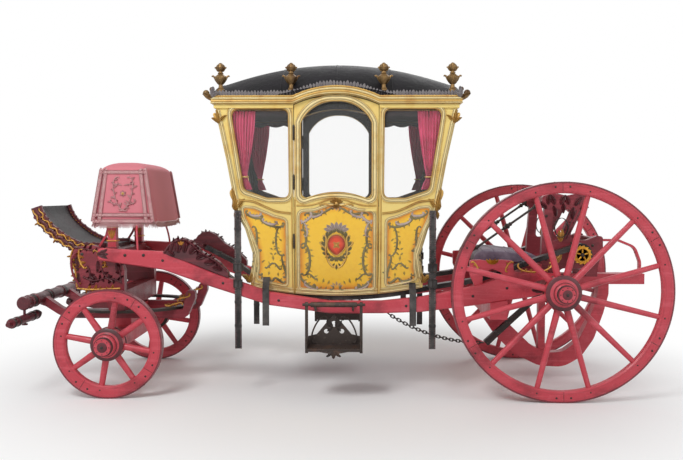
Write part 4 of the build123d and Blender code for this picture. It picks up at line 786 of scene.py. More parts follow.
def lathe(profile: Sequence[tuple[float, float]], spot: Sequence[float], axis: Sequence[float] = (0, 0, 1),
          segments: int = 20, shades: Sequence[float] | None = None) -> Shape:
    """Turns a profile about an axis.

    Args:
        profile: rows of radius and distance along the axis.
        spot: where the distance is 0.
        axis: the axis's direction.
        segments: how many sides the turned shape has.
        shades: how dark each row is, or None for light all over.

    Returns:
        The closed shape.
    """
    line = unit(np.array(axis, float))
    helper = np.array([1.0, 0, 0]) if abs(line[0]) < 0.9 else np.array([0, 1.0, 0])
    first = unit(np.cross(line, helper))
    second = np.cross(line, first)
    rows = np.asarray(profile, float)
    angles = np.linspace(0, FULL_TURN, segments, endpoint=False)
    ring = np.cos(angles)[:, None] * first + np.sin(angles)[:, None] * second
    points = (np.array(spot, float) + rows[:, 1][:, None, None] * line
              + rows[:, 0][:, None, None] * ring[None]).reshape(-1, 3)
    faces = []
    for row in range(len(rows) - 1):
        for column in range(segments):
            right = (column + 1) % segments
            faces.append((row * segments + column, row * segments + right,
                          (row + 1) * segments + right, (row + 1) * segments + column))
    faces.append(tuple(range(segments))[::-1])
    faces.append(tuple((len(rows) - 1) * segments + column for column in range(segments)))
    dark = np.zeros(len(rows)) if shades is None else np.asarray(shades, float)
    return points, faces, np.repeat(dark, segments)


def blade(spine: np.ndarray, half_width: float, height: float, lobes: int = 4,
          tip: float = 0.06) -> Shape:
    """A carved leaf lying flat: a raised rib, hollowed sides and a lobed edge.

    Args:
        spine: the rib's flat points, from the root to the tip.
        half_width: half the leaf's greatest width.
        height: how far the rib stands proud.
        lobes: how many lobes each edge has.
        tip: the share of the width that is left at both ends.

    Returns:
        The closed shape, with along, up and out as its coordinates.
    """
    count = len(spine)
    shares = np.linspace(0, 1, count)
    ahead = unit(np.gradient(spine, axis=0))
    across = np.stack([-ahead[:, 1], ahead[:, 0]], axis=1)
    swell = tip + np.sin(np.pi * np.clip(shares * 0.9 + 0.08, 0, 1)) ** 0.8
    edge = swell * (0.72 + 0.28 * np.abs(np.sin(shares * lobes * np.pi)))
    columns = np.array([-1, -0.62, -0.3, 0, 0.3, 0.62, 1])
    lift = np.array([0.12, 0.62, 0.42, 1.0, 0.42, 0.62, 0.12])
    # Painted shade: the hollowed sides and the edges are drawn dark and the rib light.
    dark = np.array([0.6, 0.05, 0.75, 0.0, 0.75, 0.05, 0.6])
    rise = 0.25 + 0.75 * np.sin(np.pi * np.clip(shares * 0.92 + 0.06, 0, 1))
    flat = spine[:, None, :] + across[:, None,
                                      :] * (columns[None, :, None] * (edge * half_width)[:, None, None])
    top = np.concatenate([flat, (lift[None, :] * rise[:, None] * height)[..., None]], axis=2)
    bottom = np.concatenate([flat, np.full((count, len(columns), 1), -0.2 * height)], axis=2)
    return shell(top, bottom, np.tile(dark, (count, 1)))


def shell(top: np.ndarray, bottom: np.ndarray, shade: np.ndarray) -> Shape:
    """Closes two grids of points, one over the other, into one shape.

    Args:
        top: the outer grid, rows by columns by three.
        bottom: the inner grid, of the same size.
        shade: how dark each point of the outer grid is.

    Returns:
        The closed shape.
    """
    rows, columns = top.shape[:2]
    size = rows * columns
    points = np.concatenate([top.reshape(-1, 3), bottom.reshape(-1, 3)])
    faces = []
    for row in range(rows - 1):
        for column in range(columns - 1):
            a = row * columns + column
            faces.append((a, a + 1, a + columns + 1, a + columns))
            faces.append((size + a + columns, size + a + columns + 1, size + a + 1, size + a))
    rim = [column for column in range(columns)]
    rim += [row * columns + columns - 1 for row in range(1, rows)]
    rim += [(rows - 1) * columns + column for column in range(columns - 2, -1, -1)]
    rim += [row * columns for row in range(rows - 2, 0, -1)]
    for here, after in zip(rim, rim[1:] + rim[:1]):
        faces.append((after, here, size + here, size + after))
    dark = shade.reshape(-1)
    # Painted shade: the inner grid is drawn at least 0.6 dark.
    return points, faces, np.concatenate([dark, np.maximum(dark, 0.6)])


def distance_to_line(points: np.ndarray, line: np.ndarray) -> np.ndarray:
    """Each flat point's distance to a closed flat line."""
    start = line[None]
    run = (np.roll(line, -1, axis=0) - line)[None]
    gap = points[:, None] - start
    share = np.clip(np.sum(gap * run, 2) / np.maximum(np.sum(run * run, 2), 1e-12), 0, 1)
    return np.linalg.norm(gap - share[..., None] * run, axis=2).min(1)


def inside_line(points: np.ndarray, line: np.ndarray) -> np.ndarray:
    """Whether each flat point lies within a closed flat line."""
    x, y = points[:, 0][:, None], points[:, 1][:, None]
    x1, y1 = line[:, 0][None], line[:, 1][None]
    x2, y2 = np.roll(line[:, 0], -1)[None], np.roll(line[:, 1], -1)[None]
    with np.errstate(divide="ignore", invalid="ignore"):
        cross = (y1 > y) != (y2 > y)
        hit = x < (x2 - x1) * (y - y1) / (y2 - y1) + x1
    return (cross & hit).sum(1) % 2 == 1


def field_plate(line: np.ndarray, thick: float, edge: float, step: float = 0.022, dome: float = 0.0) -> Shape:
    """A thin plate that fills a closed flat line, darker towards its edge.

    Args:
        line: the outline's points.
        thick: how far the plate stands proud.
        edge: how wide the darker rim is.
        step: the distance between the points inside.
        dome: how much further the middle stands proud than the rim.

    Returns:
        The closed shape, with along, up and out as its coordinates.
    """
    low, high = line.min(0), line.max(0)
    grid = np.stack(np.meshgrid(np.arange(low[0], high[0], step), np.arange(low[1], high[1], step)),
                    -1).reshape(-1, 2)
    grid = grid[inside_line(grid, line)]
    grid = grid[distance_to_line(grid, line) > step * 0.5]
    points = [Vector(point) for point in line] + [Vector(point) for point in grid]
    count = len(line)
    edges = [(index, (index + 1) % count) for index in range(count)]
    verts, _, faces, _, _, _ = delaunay_2d_cdt(points, edges, [], 1, 1e-6)
    flat = np.array([tuple(vert) for vert in verts])
    away = distance_to_line(flat, line)
    swell = np.clip(away / max(edge, 1e-6), 0, 1)
    top = np.column_stack([flat, thick + dome * swell * (2 - swell)])
    bottom = np.column_stack([flat, np.full(len(flat), -0.002)])
    size = len(flat)
    shape_faces = [tuple(face) for face in faces]
    sides: dict[tuple[int, int], int] = {}
    for face in shape_faces:
        for a, b in zip(face, face[1:] + face[:1]):
            sides[(a, b)] = 1
    walls = [(b, a, size + a, size + b) for a, b in sides if (b, a) not in sides]
    under = [tuple(size + index for index in reversed(face)) for face in shape_faces]
    dark = 1 - swell
    return np.concatenate([top, bottom]), shape_faces + under + walls, np.concatenate([dark, dark])


def ball(spot: Sequence[float], radius: float, squash: float = 1.0, axis: Sequence[float] = (0, 0, 1),
         segments: int = 10) -> Shape:
    """A turned ball or bead."""
    angles = np.linspace(-math.pi / 2, math.pi / 2, 7)
    rows = [(max(math.cos(angle) * radius, radius * 0.06),
             math.sin(angle) * radius * squash) for angle in angles]
    # Painted shade: the rows nearest the surface that the ball sits on are drawn darker.
    return lathe(rows, spot, axis, segments, [0.6, 0.4, 0.1, 0, 0, 0, 0])


def block(low: Sequence[float], high: Sequence[float], bevel: float = 0.004) -> Shape:
    """A box with its edges taken off, between two corners."""
    low, high = np.minimum(low, high), np.maximum(low, high)
    mesh = bmesh.new()
    bmesh.ops.create_cube(mesh, size=1)
    for vert in mesh.verts:
        vert.co = Vector((low + high) / 2) + Vector([vert.co[i] * (high[i] - low[i]) for i in range(3)])
    bmesh.ops.bevel(mesh, geom=mesh.edges[:], offset=bevel, segments=2, affect="EDGES", profile=0.5)
    mesh.verts.index_update()
    points = np.array([tuple(vert.co) for vert in mesh.verts])
    faces = [tuple(vert.index for vert in face.verts) for face in mesh.faces]
    mesh.free()
    return points, faces, np.zeros(len(points))


def joined(shapes: Iterable[Shape]) -> Shape:
    """Several shapes as one."""
    points, faces, shades, start = [], [], [], 0
    for shape_points, shape_faces, shape_shades in shapes:
        points.append(np.asarray(shape_points, float))
        shades.append(np.asarray(shape_shades, float))
        faces += [tuple(index + start for index in face) for face in shape_faces]
        start += len(shape_points)
    return np.concatenate(points), faces, np.concatenate(shades)


def moved(shape: Shape, change: Callable[[np.ndarray], np.ndarray]) -> Shape:
    """A shape with every point put through a change of place."""
    return change(np.asarray(shape[0], float)), shape[1], shape[2]


def mirrored(shape: Shape, axis: int, middle: float = 0.0) -> Shape:
    """A shape reflected across one axis."""
    points = np.array(shape[0], float)
    points[:, axis] = 2 * middle - points[:, axis]
    return points, [tuple(reversed(face)) for face in shape[1]], shape[2]


def plain_mesh(name: str, shape: Shape, smooth_below: float = 42.0) -> bpy.types.Mesh:
    """Makes a mesh with its normals out, its soft edges smooth and its shade stored.

    Args:
        name: the mesh's name.
        shape: its points, faces and shades.
        smooth_below: edges that turn by less than this many degrees are shaded smooth.

    Returns:
        The mesh.
    """
    points, faces, shades = shape
    mesh = bpy.data.meshes.new(name)
    mesh.from_pydata([tuple(point) for point in points], [], faces)
    stored = mesh.attributes.new(SHADE, "FLOAT", "POINT")
    stored.data.foreach_set("value", np.asarray(shades, np.float32))
    built = bmesh.new()
    built.from_mesh(mesh)
    bmesh.ops.recalc_face_normals(built, faces=built.faces[:])
    built.to_mesh(mesh)
    built.free()
    mesh.shade_smooth()
    mesh.set_sharp_from_angle(angle=math.radians(smooth_below))
    return mesh


def publish(name: str, mesh: bpy.types.Mesh, finish: Finish, body: str) -> bpy.types.Object:
    """Puts a finished mesh in the scene as one piece.

    Args:
        name: the piece's name.
        mesh: its mesh, in place.
        finish: what it is made of.
        body: the CAD body that it moves with.

    Returns:
        The piece.
    """
    piece = bpy.data.objects.new(name, mesh)
    bpy.context.scene.collection.objects.link(piece)
    mesh.materials.clear()
    mesh.materials.append(finish.material())
    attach(piece, body)
    log.info("%s: %d faces on %s", name, len(mesh.polygons), body)
    return piece


class Bench:
    """Collects the shapes of one sub-assembly, so that each finish on each body becomes one piece."""

    def __init__(self, name: str) -> None:
        """Starts with nothing on it."""
        self.name = name
        self._shapes: dict[tuple[Finish, str, str], list[Shape]] = {}

    def add(self, finish: Finish, slot: str, body: str, *shapes: Shape) -> None:
        """Puts shapes on the bench for one finish, slot and body."""
        self._shapes.setdefault((finish, slot, body), []).extend(shapes)

    def publish(self) -> list[bpy.types.Object]:
        """Makes one piece of each finish and body."""
        made = []
        for (finish, slot, body), shapes in self._shapes.items():
            name = f"{self.name}_{finish.name}_{body}"
            made.append(publish(name, plain_mesh(name, joined(shapes)), finish, body))
        return made


class RowTree:
    """Geometry Nodes tree that sets copies of one small item along lines, facing out from them."""

    INPUTS = (
        ("Item", "NodeSocketObject"), ("Spacing", "NodeSocketFloat"), ("Size", "NodeSocketFloat"),
        ("Size Spread", "NodeSocketFloat"), ("Turn Spread", "NodeSocketFloat"), ("Seed", "NodeSocketInt"),
        ("Finish", "NodeSocketMaterial"),
    )

    def __init__(self) -> None:
        """Makes the tree with its named inputs."""
        self.tree = bpy.data.node_groups.new("items_along_lines", "GeometryNodeTree")
        face = self.tree.interface
        face.new_socket("Lines", in_out="INPUT", socket_type="NodeSocketGeometry")
        self.identifiers = {
            name: face.new_socket(name, in_out="INPUT", socket_type=kind).identifier for name,
            kind in self.INPUTS
        }
        face.new_socket("Geometry", in_out="OUTPUT", socket_type="NodeSocketGeometry")
        self._join_nodes()

    def _join_nodes(self) -> None:
        """Adds the nodes and their links."""
        nodes, link = self.tree.nodes, self.tree.links.new
        given = nodes.new("NodeGroupInput")
        curve = nodes.new("GeometryNodeMeshToCurve")
        spaced = nodes.new("GeometryNodeResampleCurve")
        spaced.mode = "LENGTH"
        out = nodes.new("GeometryNodeInputNamedAttribute")
        out.data_type = "FLOAT_VECTOR"
        out.inputs["Name"].default_value = "out"
        along = nodes.new("GeometryNodeInputTangent")
        upright = nodes.new("FunctionNodeAlignRotationToVector")
        upright.axis = "Z"
        turned = nodes.new("FunctionNodeAlignRotationToVector")
        turned.axis = "X"
        turned.pivot_axis = "Z"
        info = nodes.new("GeometryNodeObjectInfo")
        spread = nodes.new("FunctionNodeRandomValue")
        spread.data_type = "FLOAT"
        lowest = nodes.new("ShaderNodeMath")
        lowest.operation = "SUBTRACT"
        lowest.inputs[0].default_value = 1
        highest = nodes.new("ShaderNodeMath")
        highest.operation = "ADD"
        highest.inputs[0].default_value = 1
        size = nodes.new("ShaderNodeMath")
        size.operation = "MULTIPLY"
        swing = nodes.new("FunctionNodeRandomValue")
        swing.data_type = "FLOAT"
        minus = nodes.new("ShaderNodeMath")
        minus.operation = "MULTIPLY"
        minus.inputs[1].default_value = -1
        spin = nodes.new("FunctionNodeAxisAngleToRotation")
        spin.inputs["Axis"].default_value = (0, 0, 1)
        rotate = nodes.new("FunctionNodeRotateRotation")
        rotate.rotation_space = "LOCAL"
        place = nodes.new("GeometryNodeInstanceOnPoints")
        real = nodes.new("GeometryNodeRealizeInstances")
        paint = nodes.new("GeometryNodeSetMaterial")
        done = nodes.new("NodeGroupOutput")
        link(given.outputs["Lines"], curve.inputs["Mesh"])
        link(curve.outputs["Curve"], spaced.inputs["Curve"])
        link(given.outputs["Spacing"], spaced.inputs["Length"])
        link(out.outputs["Attribute"], upright.inputs["Vector"])
        link(upright.outputs["Rotation"], turned.inputs["Rotation"])
        link(along.outputs["Tangent"], turned.inputs["Vector"])
        link(given.outputs["Item"], info.inputs["Object"])
        link(given.outputs["Size Spread"], lowest.inputs[1])
        link(given.outputs["Size Spread"], highest.inputs[1])
        low_in = [socket for socket in spread.inputs if socket.enabled and socket.name == "Min"][0]
        high_in = [socket for socket in spread.inputs if socket.enabled and socket.name == "Max"][0]
        link(lowest.outputs[0], low_in)
        link(highest.outputs[0], high_in)
        link(given.outputs["Seed"], spread.inputs["Seed"])
        value = [socket for socket in spread.outputs if socket.enabled][0]
        link(value, size.inputs[0])
        link(given.outputs["Size"], size.inputs[1])
        turn_low = [socket for socket in swing.inputs if socket.enabled and socket.name == "Min"][0]
        turn_high = [socket for socket in swing.inputs if socket.enabled and socket.name == "Max"][0]
        link(given.outputs["Turn Spread"], minus.inputs[0])
        link(minus.outputs[0], turn_low)
        link(given.outputs["Turn Spread"], turn_high)
        link(given.outputs["Seed"], swing.inputs["Seed"])
        link([socket for socket in swing.outputs if socket.enabled][0], spin.inputs["Angle"])
        link(turned.outputs["Rotation"], rotate.inputs["Rotation"])
        link(spin.outputs["Rotation"], rotate.inputs["Rotate By"])
        link(spaced.outputs["Curve"], place.inputs["Points"])
        link(info.outputs["Geometry"], place.inputs["Instance"])
        link(rotate.outputs["Rotation"], place.inputs["Rotation"])
        link(size.outputs[0], place.inputs["Scale"])
        link(place.outputs["Instances"], real.inputs["Geometry"])
        link(real.outputs["Geometry"], paint.inputs["Geometry"])
        link(given.outputs["Finish"], paint.inputs["Material"])
        link(paint.outputs["Geometry"], done.inputs["Geometry"])


@dataclass
class Row:
    """One set of small items along lines: the lines, the item and how it is set."""

    name: str
    lines: list[tuple[np.ndarray, np.ndarray, bool]]
    item: Shape
    spacing: float
    finish: Finish
    slot: str
    body: str
    size: float = 1.0
    size_spread: float = 0.08
    turn_spread: float = 0.0
    seed: int = 1

    _tree = None

    def build(self) -> bpy.types.Object:
        """Runs the tree on the lines and bakes the result into one piece.

        Returns:
            The piece.
        """
        if Row._tree is None:
            Row._tree = RowTree()
        host = self._host()
        item = bpy.data.objects.new(f"{self.name}_item", plain_mesh(f"{self.name}_item", self.item))
        bpy.context.scene.collection.objects.link(item)
        modifier = host.modifiers.new("rows", "NODES")
        modifier.node_group = Row._tree.tree
        values = {
            "Item": item, "Spacing": self.spacing, "Size": self.size, "Size Spread": self.size_spread,
            "Turn Spread": self.turn_spread, "Seed": self.seed, "Finish": self.finish.material(),
        }
        for name, value in values.items():
            modifier[Row._tree.identifiers[name]] = value
        bpy.context.view_layer.update()
        evaluated = host.evaluated_get(bpy.context.evaluated_depsgraph_get())
        mesh = bpy.data.meshes.new_from_object(evaluated)
        mesh.name = self.name
        bpy.data.objects.remove(host)
        bpy.data.objects.remove(item)
        return publish(self.name, mesh, self.finish, self.body)

    def _host(self) -> bpy.types.Object:
        """A bare mesh of the lines, which carries the direction out at each point."""
        points, edges, outs, start = [], [], [], 0
        for line, out, closed in self.lines:
            count = len(line)
            points.append(line)
            outs.append(np.broadcast_to(out, line.shape))
            edges += [(start + index, start + index + 1) for index in range(count - 1)]
            if closed:
                edges.append((start + count - 1, start))
            start += count
        mesh = bpy.data.meshes.new(f"{self.name}_lines")
        mesh.from_pydata([tuple(point) for point in np.concatenate(points)], edges, [])
        stored = mesh.attributes.new("out", "FLOAT_VECTOR", "POINT")
        stored.data.foreach_set("vector", np.concatenate(outs).astype(np.float32).ravel())
        host = bpy.data.objects.new(f"{self.name}_lines", mesh)
        bpy.context.scene.collection.objects.link(host)
        return host


def solid_tree(names: Iterable[str]) -> BVHTree:
    """A search tree over some CAD nodes, for laying pieces on them."""
    points, faces = [], []
    for name in names:
        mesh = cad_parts[name].data
        start = len(points)
        points += [vert.co.copy() for vert in mesh.vertices]
        faces += [tuple(start + index for index in face.vertices) for face in mesh.polygons]
    return BVHTree.FromPolygons(points, faces)


def in_plane(shape: Shape, origin: Sequence[float], along: Sequence[float], up: Sequence[float]) -> Shape:
    """Stands a flat shape in space, its out being the cross product of its two directions."""
    flat = np.asarray(shape[0], float)
    first, second = unit(np.array(along, float)), unit(np.array(up, float))
    third = np.cross(first, second)
    points = (np.array(origin, float) + flat[:, 0:1] * first + flat[:, 1:2] * second + flat[:, 2:3] * third)
    return points, shape[1], shape[2]


def upright(shape: Shape, spot: Sequence[float], sign: int, side: Side) -> Shape:
    """Stands a flat shape in a plane that faces sideways.

    Args:
        shape: the flat shape, with along, up and out as its coordinates.
        spot: where its origin goes.
        sign: the direction along the coach in which it runs.
        side: the side that it faces.

    Returns:
        The shape in place.
    """
    laid = shape if -sign == side.value else mirrored(shape, 2)
    return in_plane(laid, spot, (sign, 0, 0), (0, 0, 1))


def volute(start: Sequence[float], end: Sequence[float], curl_start: float, curl_end: float,
           along: Sequence[float], radius: float, flat: float = 1.0) -> Shape:
    """A round-section scroll in an upright plane, between two points in space.

    Args:
        start: the eye at one end.
        end: the eye at the other end.
        curl_start: turns of the curl at the start, signed.
        curl_end: turns of the curl at the end, signed.
        along: the plane's level direction.
        radius: the thickest part's radius.
        flat: how much thinner the section is across the plane.

    Returns:
        The shape.
    """
    level = unit(np.array(along, float))
    start, end = np.array(start, float), np.array(end, float)
    gap = end - start
    line = scroll((0.0, 0.0), (float(gap @ level), float(gap[2])), curl_start, curl_end, 40)
    path = start + line[:, 0:1] * level + line[:, 1:2] * np.array([0, 0, 1.0])
    path += np.linspace(0, 1, len(path))[:, None] * (gap - (gap @ level) * level - np.array([0, 0, gap[2]]))
    swell = radius * (0.45 + 0.55 * np.sin(np.pi * np.linspace(0, 1, len(path))) ** 0.7)
    return tube(path, swell, 8, flat=flat)




# Cabin
def arc_points(start: Sequence[float], middle: Sequence[float], end: Sequence[float],
               samples: int = 14) -> np.ndarray:
    """Points of the circular arc through three flat points."""
    a, b, c = (np.array(point, float) for point in (start, middle, end))
    d = 2 * (a[0] * (b[1] - c[1]) + b[0] * (c[1] - a[1]) + c[0] * (a[1] - b[1]))
    if abs(d) < 1e-9:
        return np.linspace(a, c, samples)
    ux = ((a @ a) * (b[1] - c[1]) + (b @ b) * (c[1] - a[1]) + (c @ c) * (a[1] - b[1])) / d
    uy = ((a @ a) * (c[0] - b[0]) + (b @ b) * (a[0] - c[0]) + (c @ c) * (b[0] - a[0])) / d
    centre = np.array([ux, uy])
    angles = [math.atan2(*(point - centre)[::-1]) for point in (a, b, c)]
    for index in (1, 2):
        while angles[index] - angles[index - 1] > math.pi:
            angles[index] -= FULL_TURN
        while angles[index] - angles[index - 1] < -math.pi:
            angles[index] += FULL_TURN
    radius = np.linalg.norm(a - centre)
    turn = np.linspace(angles[0], angles[2], samples)
    return centre + radius * np.stack([np.cos(turn), np.sin(turn)], axis=1)


class Wall:
    """An outer wall of the cabin whose section depends only on height, onto which flat ornament is laid."""

    def __init__(self, nodes: Sequence[str], lean_axis: int, sign: int, probe: float) -> None:
        """Measures the wall's section on the CAD nodes.

        Args:
            nodes: the nodes that make up the wall.
            lean_axis: 0 for an end wall, which faces along X, and 1 for a side wall.
            sign: the direction that the wall faces along that axis.
            probe: where along the wall its section is read.
        """
        self.lean_axis = lean_axis
        self.sign = sign
        tree = solid_tree(nodes)
        heights, reach = [], []
        for height in np.arange(0.76, 2.152, 0.012):
            origin, aim = [probe, probe, height], [0.0, 0.0, 0.0]
            origin[lean_axis] = sign * 3.0
            aim[lean_axis] = -sign
            hit = tree.ray_cast(Vector(origin), Vector(aim))[0]
            if hit is not None and sign * hit[lean_axis] > 0.3:
                heights.append(height)
                reach.append(sign * hit[lean_axis])
        self.heights = np.array(heights)
        self.reach = np.array(reach)

    def lay(self, shape: Shape) -> Shape:
        """Bends a flat shape, with along, up and out as its coordinates, onto the wall."""
        flat = np.asarray(shape[0], float)
        reach = np.interp(flat[:, 1], self.heights, self.reach)
        ahead = np.interp(flat[:, 1] + 0.01, self.heights, self.reach)
        behind = np.interp(flat[:, 1] - 0.01, self.heights, self.reach)
        slope = (ahead - behind) / 0.02
        size = np.sqrt(1 + slope ** 2)
        points = np.zeros((len(flat), 3))
        points[:, 1 - self.lean_axis] = flat[:, 0]
        points[:, self.lean_axis] = self.sign * (reach + flat[:, 2] / size)
        points[:, 2] = flat[:, 1] - flat[:, 2] * slope / size
        return points, shape[1], shape[2]

    def moulding(self, line: np.ndarray, half_width: float, height: float, closed: bool = False,
                 profile: np.ndarray = FRAME_PROFILE, shade: np.ndarray = FRAME_SHADE) -> Shape:
        """A moulding along a flat line on the wall."""
        flat = np.column_stack([line, np.zeros(len(line))])
        outs = np.tile([0.0, 0.0, 1.0], (len(line), 1))
        return self.lay(sweep(flat, outs, half_width, height, closed, profile, shade))

    def scrollwork(self, rows: Iterable[tuple[float, float, float, float, float, float, float]],
                   shift: float = 0.0, height: float = 0.005, leaf: float = 0.0) -> list[Shape]:
        """Painted scrolls on the wall.

        Args:
            rows: start along and up, end along and up, curl at the start and the end, half width.
            shift: added to every place along the wall.
            height: how far the scrolls stand proud.
            leaf: the length of the small leaves that grow from the scrolls, or 0 for none.

        Returns:
            One shape for each scroll, for the eye at each of its ends and for each leaf.
        """
        made = []
        for a, b, c, d, curl_a, curl_b, half in rows:
            line = scroll((a + shift, b), (c + shift, d), curl_a, curl_b)
            if leaf:
                made += [self.lay(shape) for shape in leaves_along(line, leaf, height)]
            shares = np.linspace(0, 1, len(line))
            swell = half * (0.34 + 0.66 * np.sin(np.pi * shares) ** 0.8)
            flat = np.column_stack([line, np.full(len(line), 0.002)])
            outs = np.tile([0.0, 0.0, 1.0], (len(line), 1))
            made.append(self.lay(sweep(flat, outs, swell, height)))
            for eye in (line[0], line[-1]):
                made.append(self.lay(ball((eye[0], eye[1], 0.003), half * 0.75, 0.7)))
        return made

    def leaves(self, rows: Iterable[tuple[float, float, float, float, float, float]],
               shift: float = 0.0, height: float = 0.006, lobes: int = 4) -> list[Shape]:
        """Carved or painted leaves on the wall.

        Args:
            rows: root along and up, direction in degrees, length, half width and sideways bend.
            shift: added to every place along the wall.
            height: how far the ribs stand proud.
            lobes: how many lobes each edge has.

        Returns:
            One shape a leaf.
        """
        made = []
        for along, up, degrees, length, half, bend in rows:
            made.append(self.lay(blade(bent_spine((along + shift, up), degrees, length, bend), half, height,
                                       lobes)))
        return made


def bent_spine(root: tuple[float, float], degrees: float, length: float, bend: float,
               samples: int = 14) -> np.ndarray:
    """A flat line of a given length that starts at a root and bends evenly as it goes."""
    shares = np.linspace(0, 1, samples)
    heading = math.radians(degrees) + bend * shares
    steps = np.stack([np.cos(heading), np.sin(heading)], axis=1) * length / (samples - 1)
    line = np.cumsum(steps, axis=0) - steps[0]
    return line + np.array(root)


def leaves_along(line: np.ndarray, length: float, height: float, gap: float = 0.40) -> list[Shape]:
    """Small leaves on alternate sides of a flat scroll line.

    Args:
        line: the scroll's flat points.
        length: the longest leaf's length.
        height: how far the leaves stand proud.
        gap: the distance between two leaves, as a share of that length.

    Returns:
        One flat shape a leaf.
    """
    reach = np.r_[0, np.cumsum(np.linalg.norm(np.diff(line, axis=0), axis=1))]
    count = max(2, int(reach[-1] * 0.8 / (length * gap)))
    ahead = unit(np.gradient(line, axis=0))
    made = []
    for index in range(count):
        share = 0.14 + 0.74 * (index + 0.5) / count
        place = int(np.searchsorted(reach, share * reach[-1]))
        heading = math.degrees(math.atan2(ahead[place][1], ahead[place][0]))
        way = 1 if index % 2 else -1
        size = length * (0.72 + 0.28 * math.sin(index * 2.4))
        made.append(blade(bent_spine(tuple(line[place]), heading + way * 34, size, way * 0.9, 6),
                          size * 0.24, height * 1.15, 3))
    return made


def mirror_rows(rows: Iterable[Sequence[float]]) -> list[tuple[float, ...]]:
    """Scroll rows reflected across the middle of their panel."""
    return [(-a, b, -c, d, -curl_a, -curl_b, half) for a, b, c, d, curl_a, curl_b, half in rows]


def mirror_leaves(rows: Iterable[Sequence[float]]) -> list[tuple[float, ...]]:
    """Leaf rows reflected across the middle of their panel."""
    return [(-along, up, 180 - degrees, length, half, -bend) for along, up, degrees, length, half,
            bend in rows]


DOOR_SCROLLS = (
    (-0.262, 1.240, -0.262, 1.110, -0.6, -0.6, 0.010),
    (-0.262, 1.130, -0.258, 0.905, -0.55, -0.6, 0.010),
    (-0.262, 0.905, -0.165, 0.815, 0.6, 0.7, 0.011),
    (-0.170, 0.822, -0.028, 0.806, 0.65, 0.6, 0.010),
    (-0.235, 1.352, -0.118, 1.378, -0.6, 0.65, 0.010),
    (-0.118, 1.372, -0.028, 1.398, 0.55, -0.5, 0.009),
    (-0.226, 1.300, -0.236, 1.235, 0.8, 0.7, 0.007),
    (-0.216, 0.900, -0.150, 0.868, -0.7, 0.6, 0.007),
)
DOOR_LEAVES = (
    (-0.246, 1.200, 62, 0.060, 0.012, -0.8),
    (-0.246, 1.110, -58, 0.062, 0.012, 0.8),
    (-0.246, 1.060, 50, 0.050, 0.011, -0.7),
    (-0.244, 0.985, -52, 0.055, 0.011, 0.8),
    (-0.238, 0.930, 40, 0.060, 0.012, 0.6),
    (-0.196, 1.352, -34, 0.055, 0.011, -0.8),
    (-0.110, 0.828, 56, 0.055, 0.012, 0.7),
    (-0.150, 0.836, 76, 0.048, 0.010, 0.5),
    (-0.074, 0.820, 40, 0.050, 0.010, 0.8),
)
DOOR_CROWN = (
    (-0.262, 1.312, -0.196, 1.368, 0.9, 0.8, 0.011), (-0.190, 1.352, -0.112, 1.384, 0.7, 0.8, 0.010),
    (-0.262, 1.292, -0.238, 1.196, -0.7, -0.7, 0.008), (-0.236, 0.842, -0.150, 0.800, 0.8, 0.8, 0.009),
)
DOOR_SHELL = (
    (0.0, 0.800, 90, 0.058, 0.013, 0.0), (-0.008, 0.802, 118, 0.052, 0.011, 0.3),
    (0.008, 0.802, 62, 0.052, 0.011, -0.3), (-0.014, 0.800, 146, 0.046, 0.010, 0.4),
    (0.014, 0.800, 34, 0.046, 0.010, -0.4),
)
QUARTER_SCROLLS = (
    (-0.672, 1.385, -0.560, 1.348, 0.7, 0.65, 0.010),
    (-0.560, 1.342, -0.402, 1.292, 0.6, 0.8, 0.010),
    (-0.632, 1.262, -0.572, 1.085, -0.7, 0.6, 0.009),
    (-0.570, 1.085, -0.568, 0.905, 0.55, 0.7, 0.009),
    (-0.402, 1.262, -0.402, 1.055, 0.6, 0.6, 0.008),
    (-0.398, 1.050, -0.402, 0.880, 0.5, -0.7, 0.009),
    (-0.566, 0.882, -0.480, 0.868, 0.7, 0.6, 0.010),
    (-0.476, 0.868, -0.396, 0.842, -0.6, 0.7, 0.010),
    (-0.540, 0.955, -0.478, 0.985, 0.6, -0.5, 0.008),
    (-0.478, 0.985, -0.420, 0.945, -0.5, 0.6, 0.008),
)
QUARTER_CROWN = (
    (-0.650, 1.372, -0.570, 1.366, 0.8, 0.8, 0.010), (-0.548, 1.324, -0.452, 1.302, 0.8, 0.8, 0.010),
    (-0.560, 0.868, -0.500, 0.846, 0.8, 0.8, 0.008),
)
QUARTER_LEAVES = (
    (-0.478, 1.000, 92, 0.060, 0.013, 0.1), (-0.478, 1.045, 122, 0.044, 0.010, 0.7),
    (-0.478, 1.045, 58, 0.044, 0.010, -0.7), (-0.478, 1.085, 124, 0.040, 0.009, 0.7),
    (-0.478, 1.085, 56, 0.040, 0.009, -0.7), (-0.478, 1.120, 90, 0.055, 0.010, 0.0),
    (-0.600, 1.150, 74, 0.058, 0.010, 0.6), (-0.572, 0.985, 60, 0.050, 0.010, -0.8),
    (-0.408, 1.150, 116, 0.046, 0.009, 0.8), (-0.410, 0.985, -116, 0.050, 0.010, 0.7),
    (-0.620, 1.330, -20, 0.052, 0.010, 0.7), (-0.470, 1.318, -70, 0.045, 0.010, 0.7),
    (-0.520, 0.890, 64, 0.048, 0.011, 0.6), (-0.440, 0.880, 110, 0.046, 0.010, -0.6),
)
END_SCROLLS = (
    (-0.330, 1.330, -0.300, 1.060, 0.75, 0.6, 0.011),
    (-0.300, 1.060, -0.285, 0.905, -0.6, -0.6, 0.010),
    (-0.290, 0.895, -0.150, 0.862, 0.6, 0.7, 0.011),
    (-0.150, 0.862, -0.030, 0.870, 0.6, 0.6, 0.010),
    (-0.325, 1.345, -0.170, 1.360, -0.6, 0.65, 0.011),
    (-0.170, 1.352, -0.030, 1.368, 0.55, -0.5, 0.010),
)
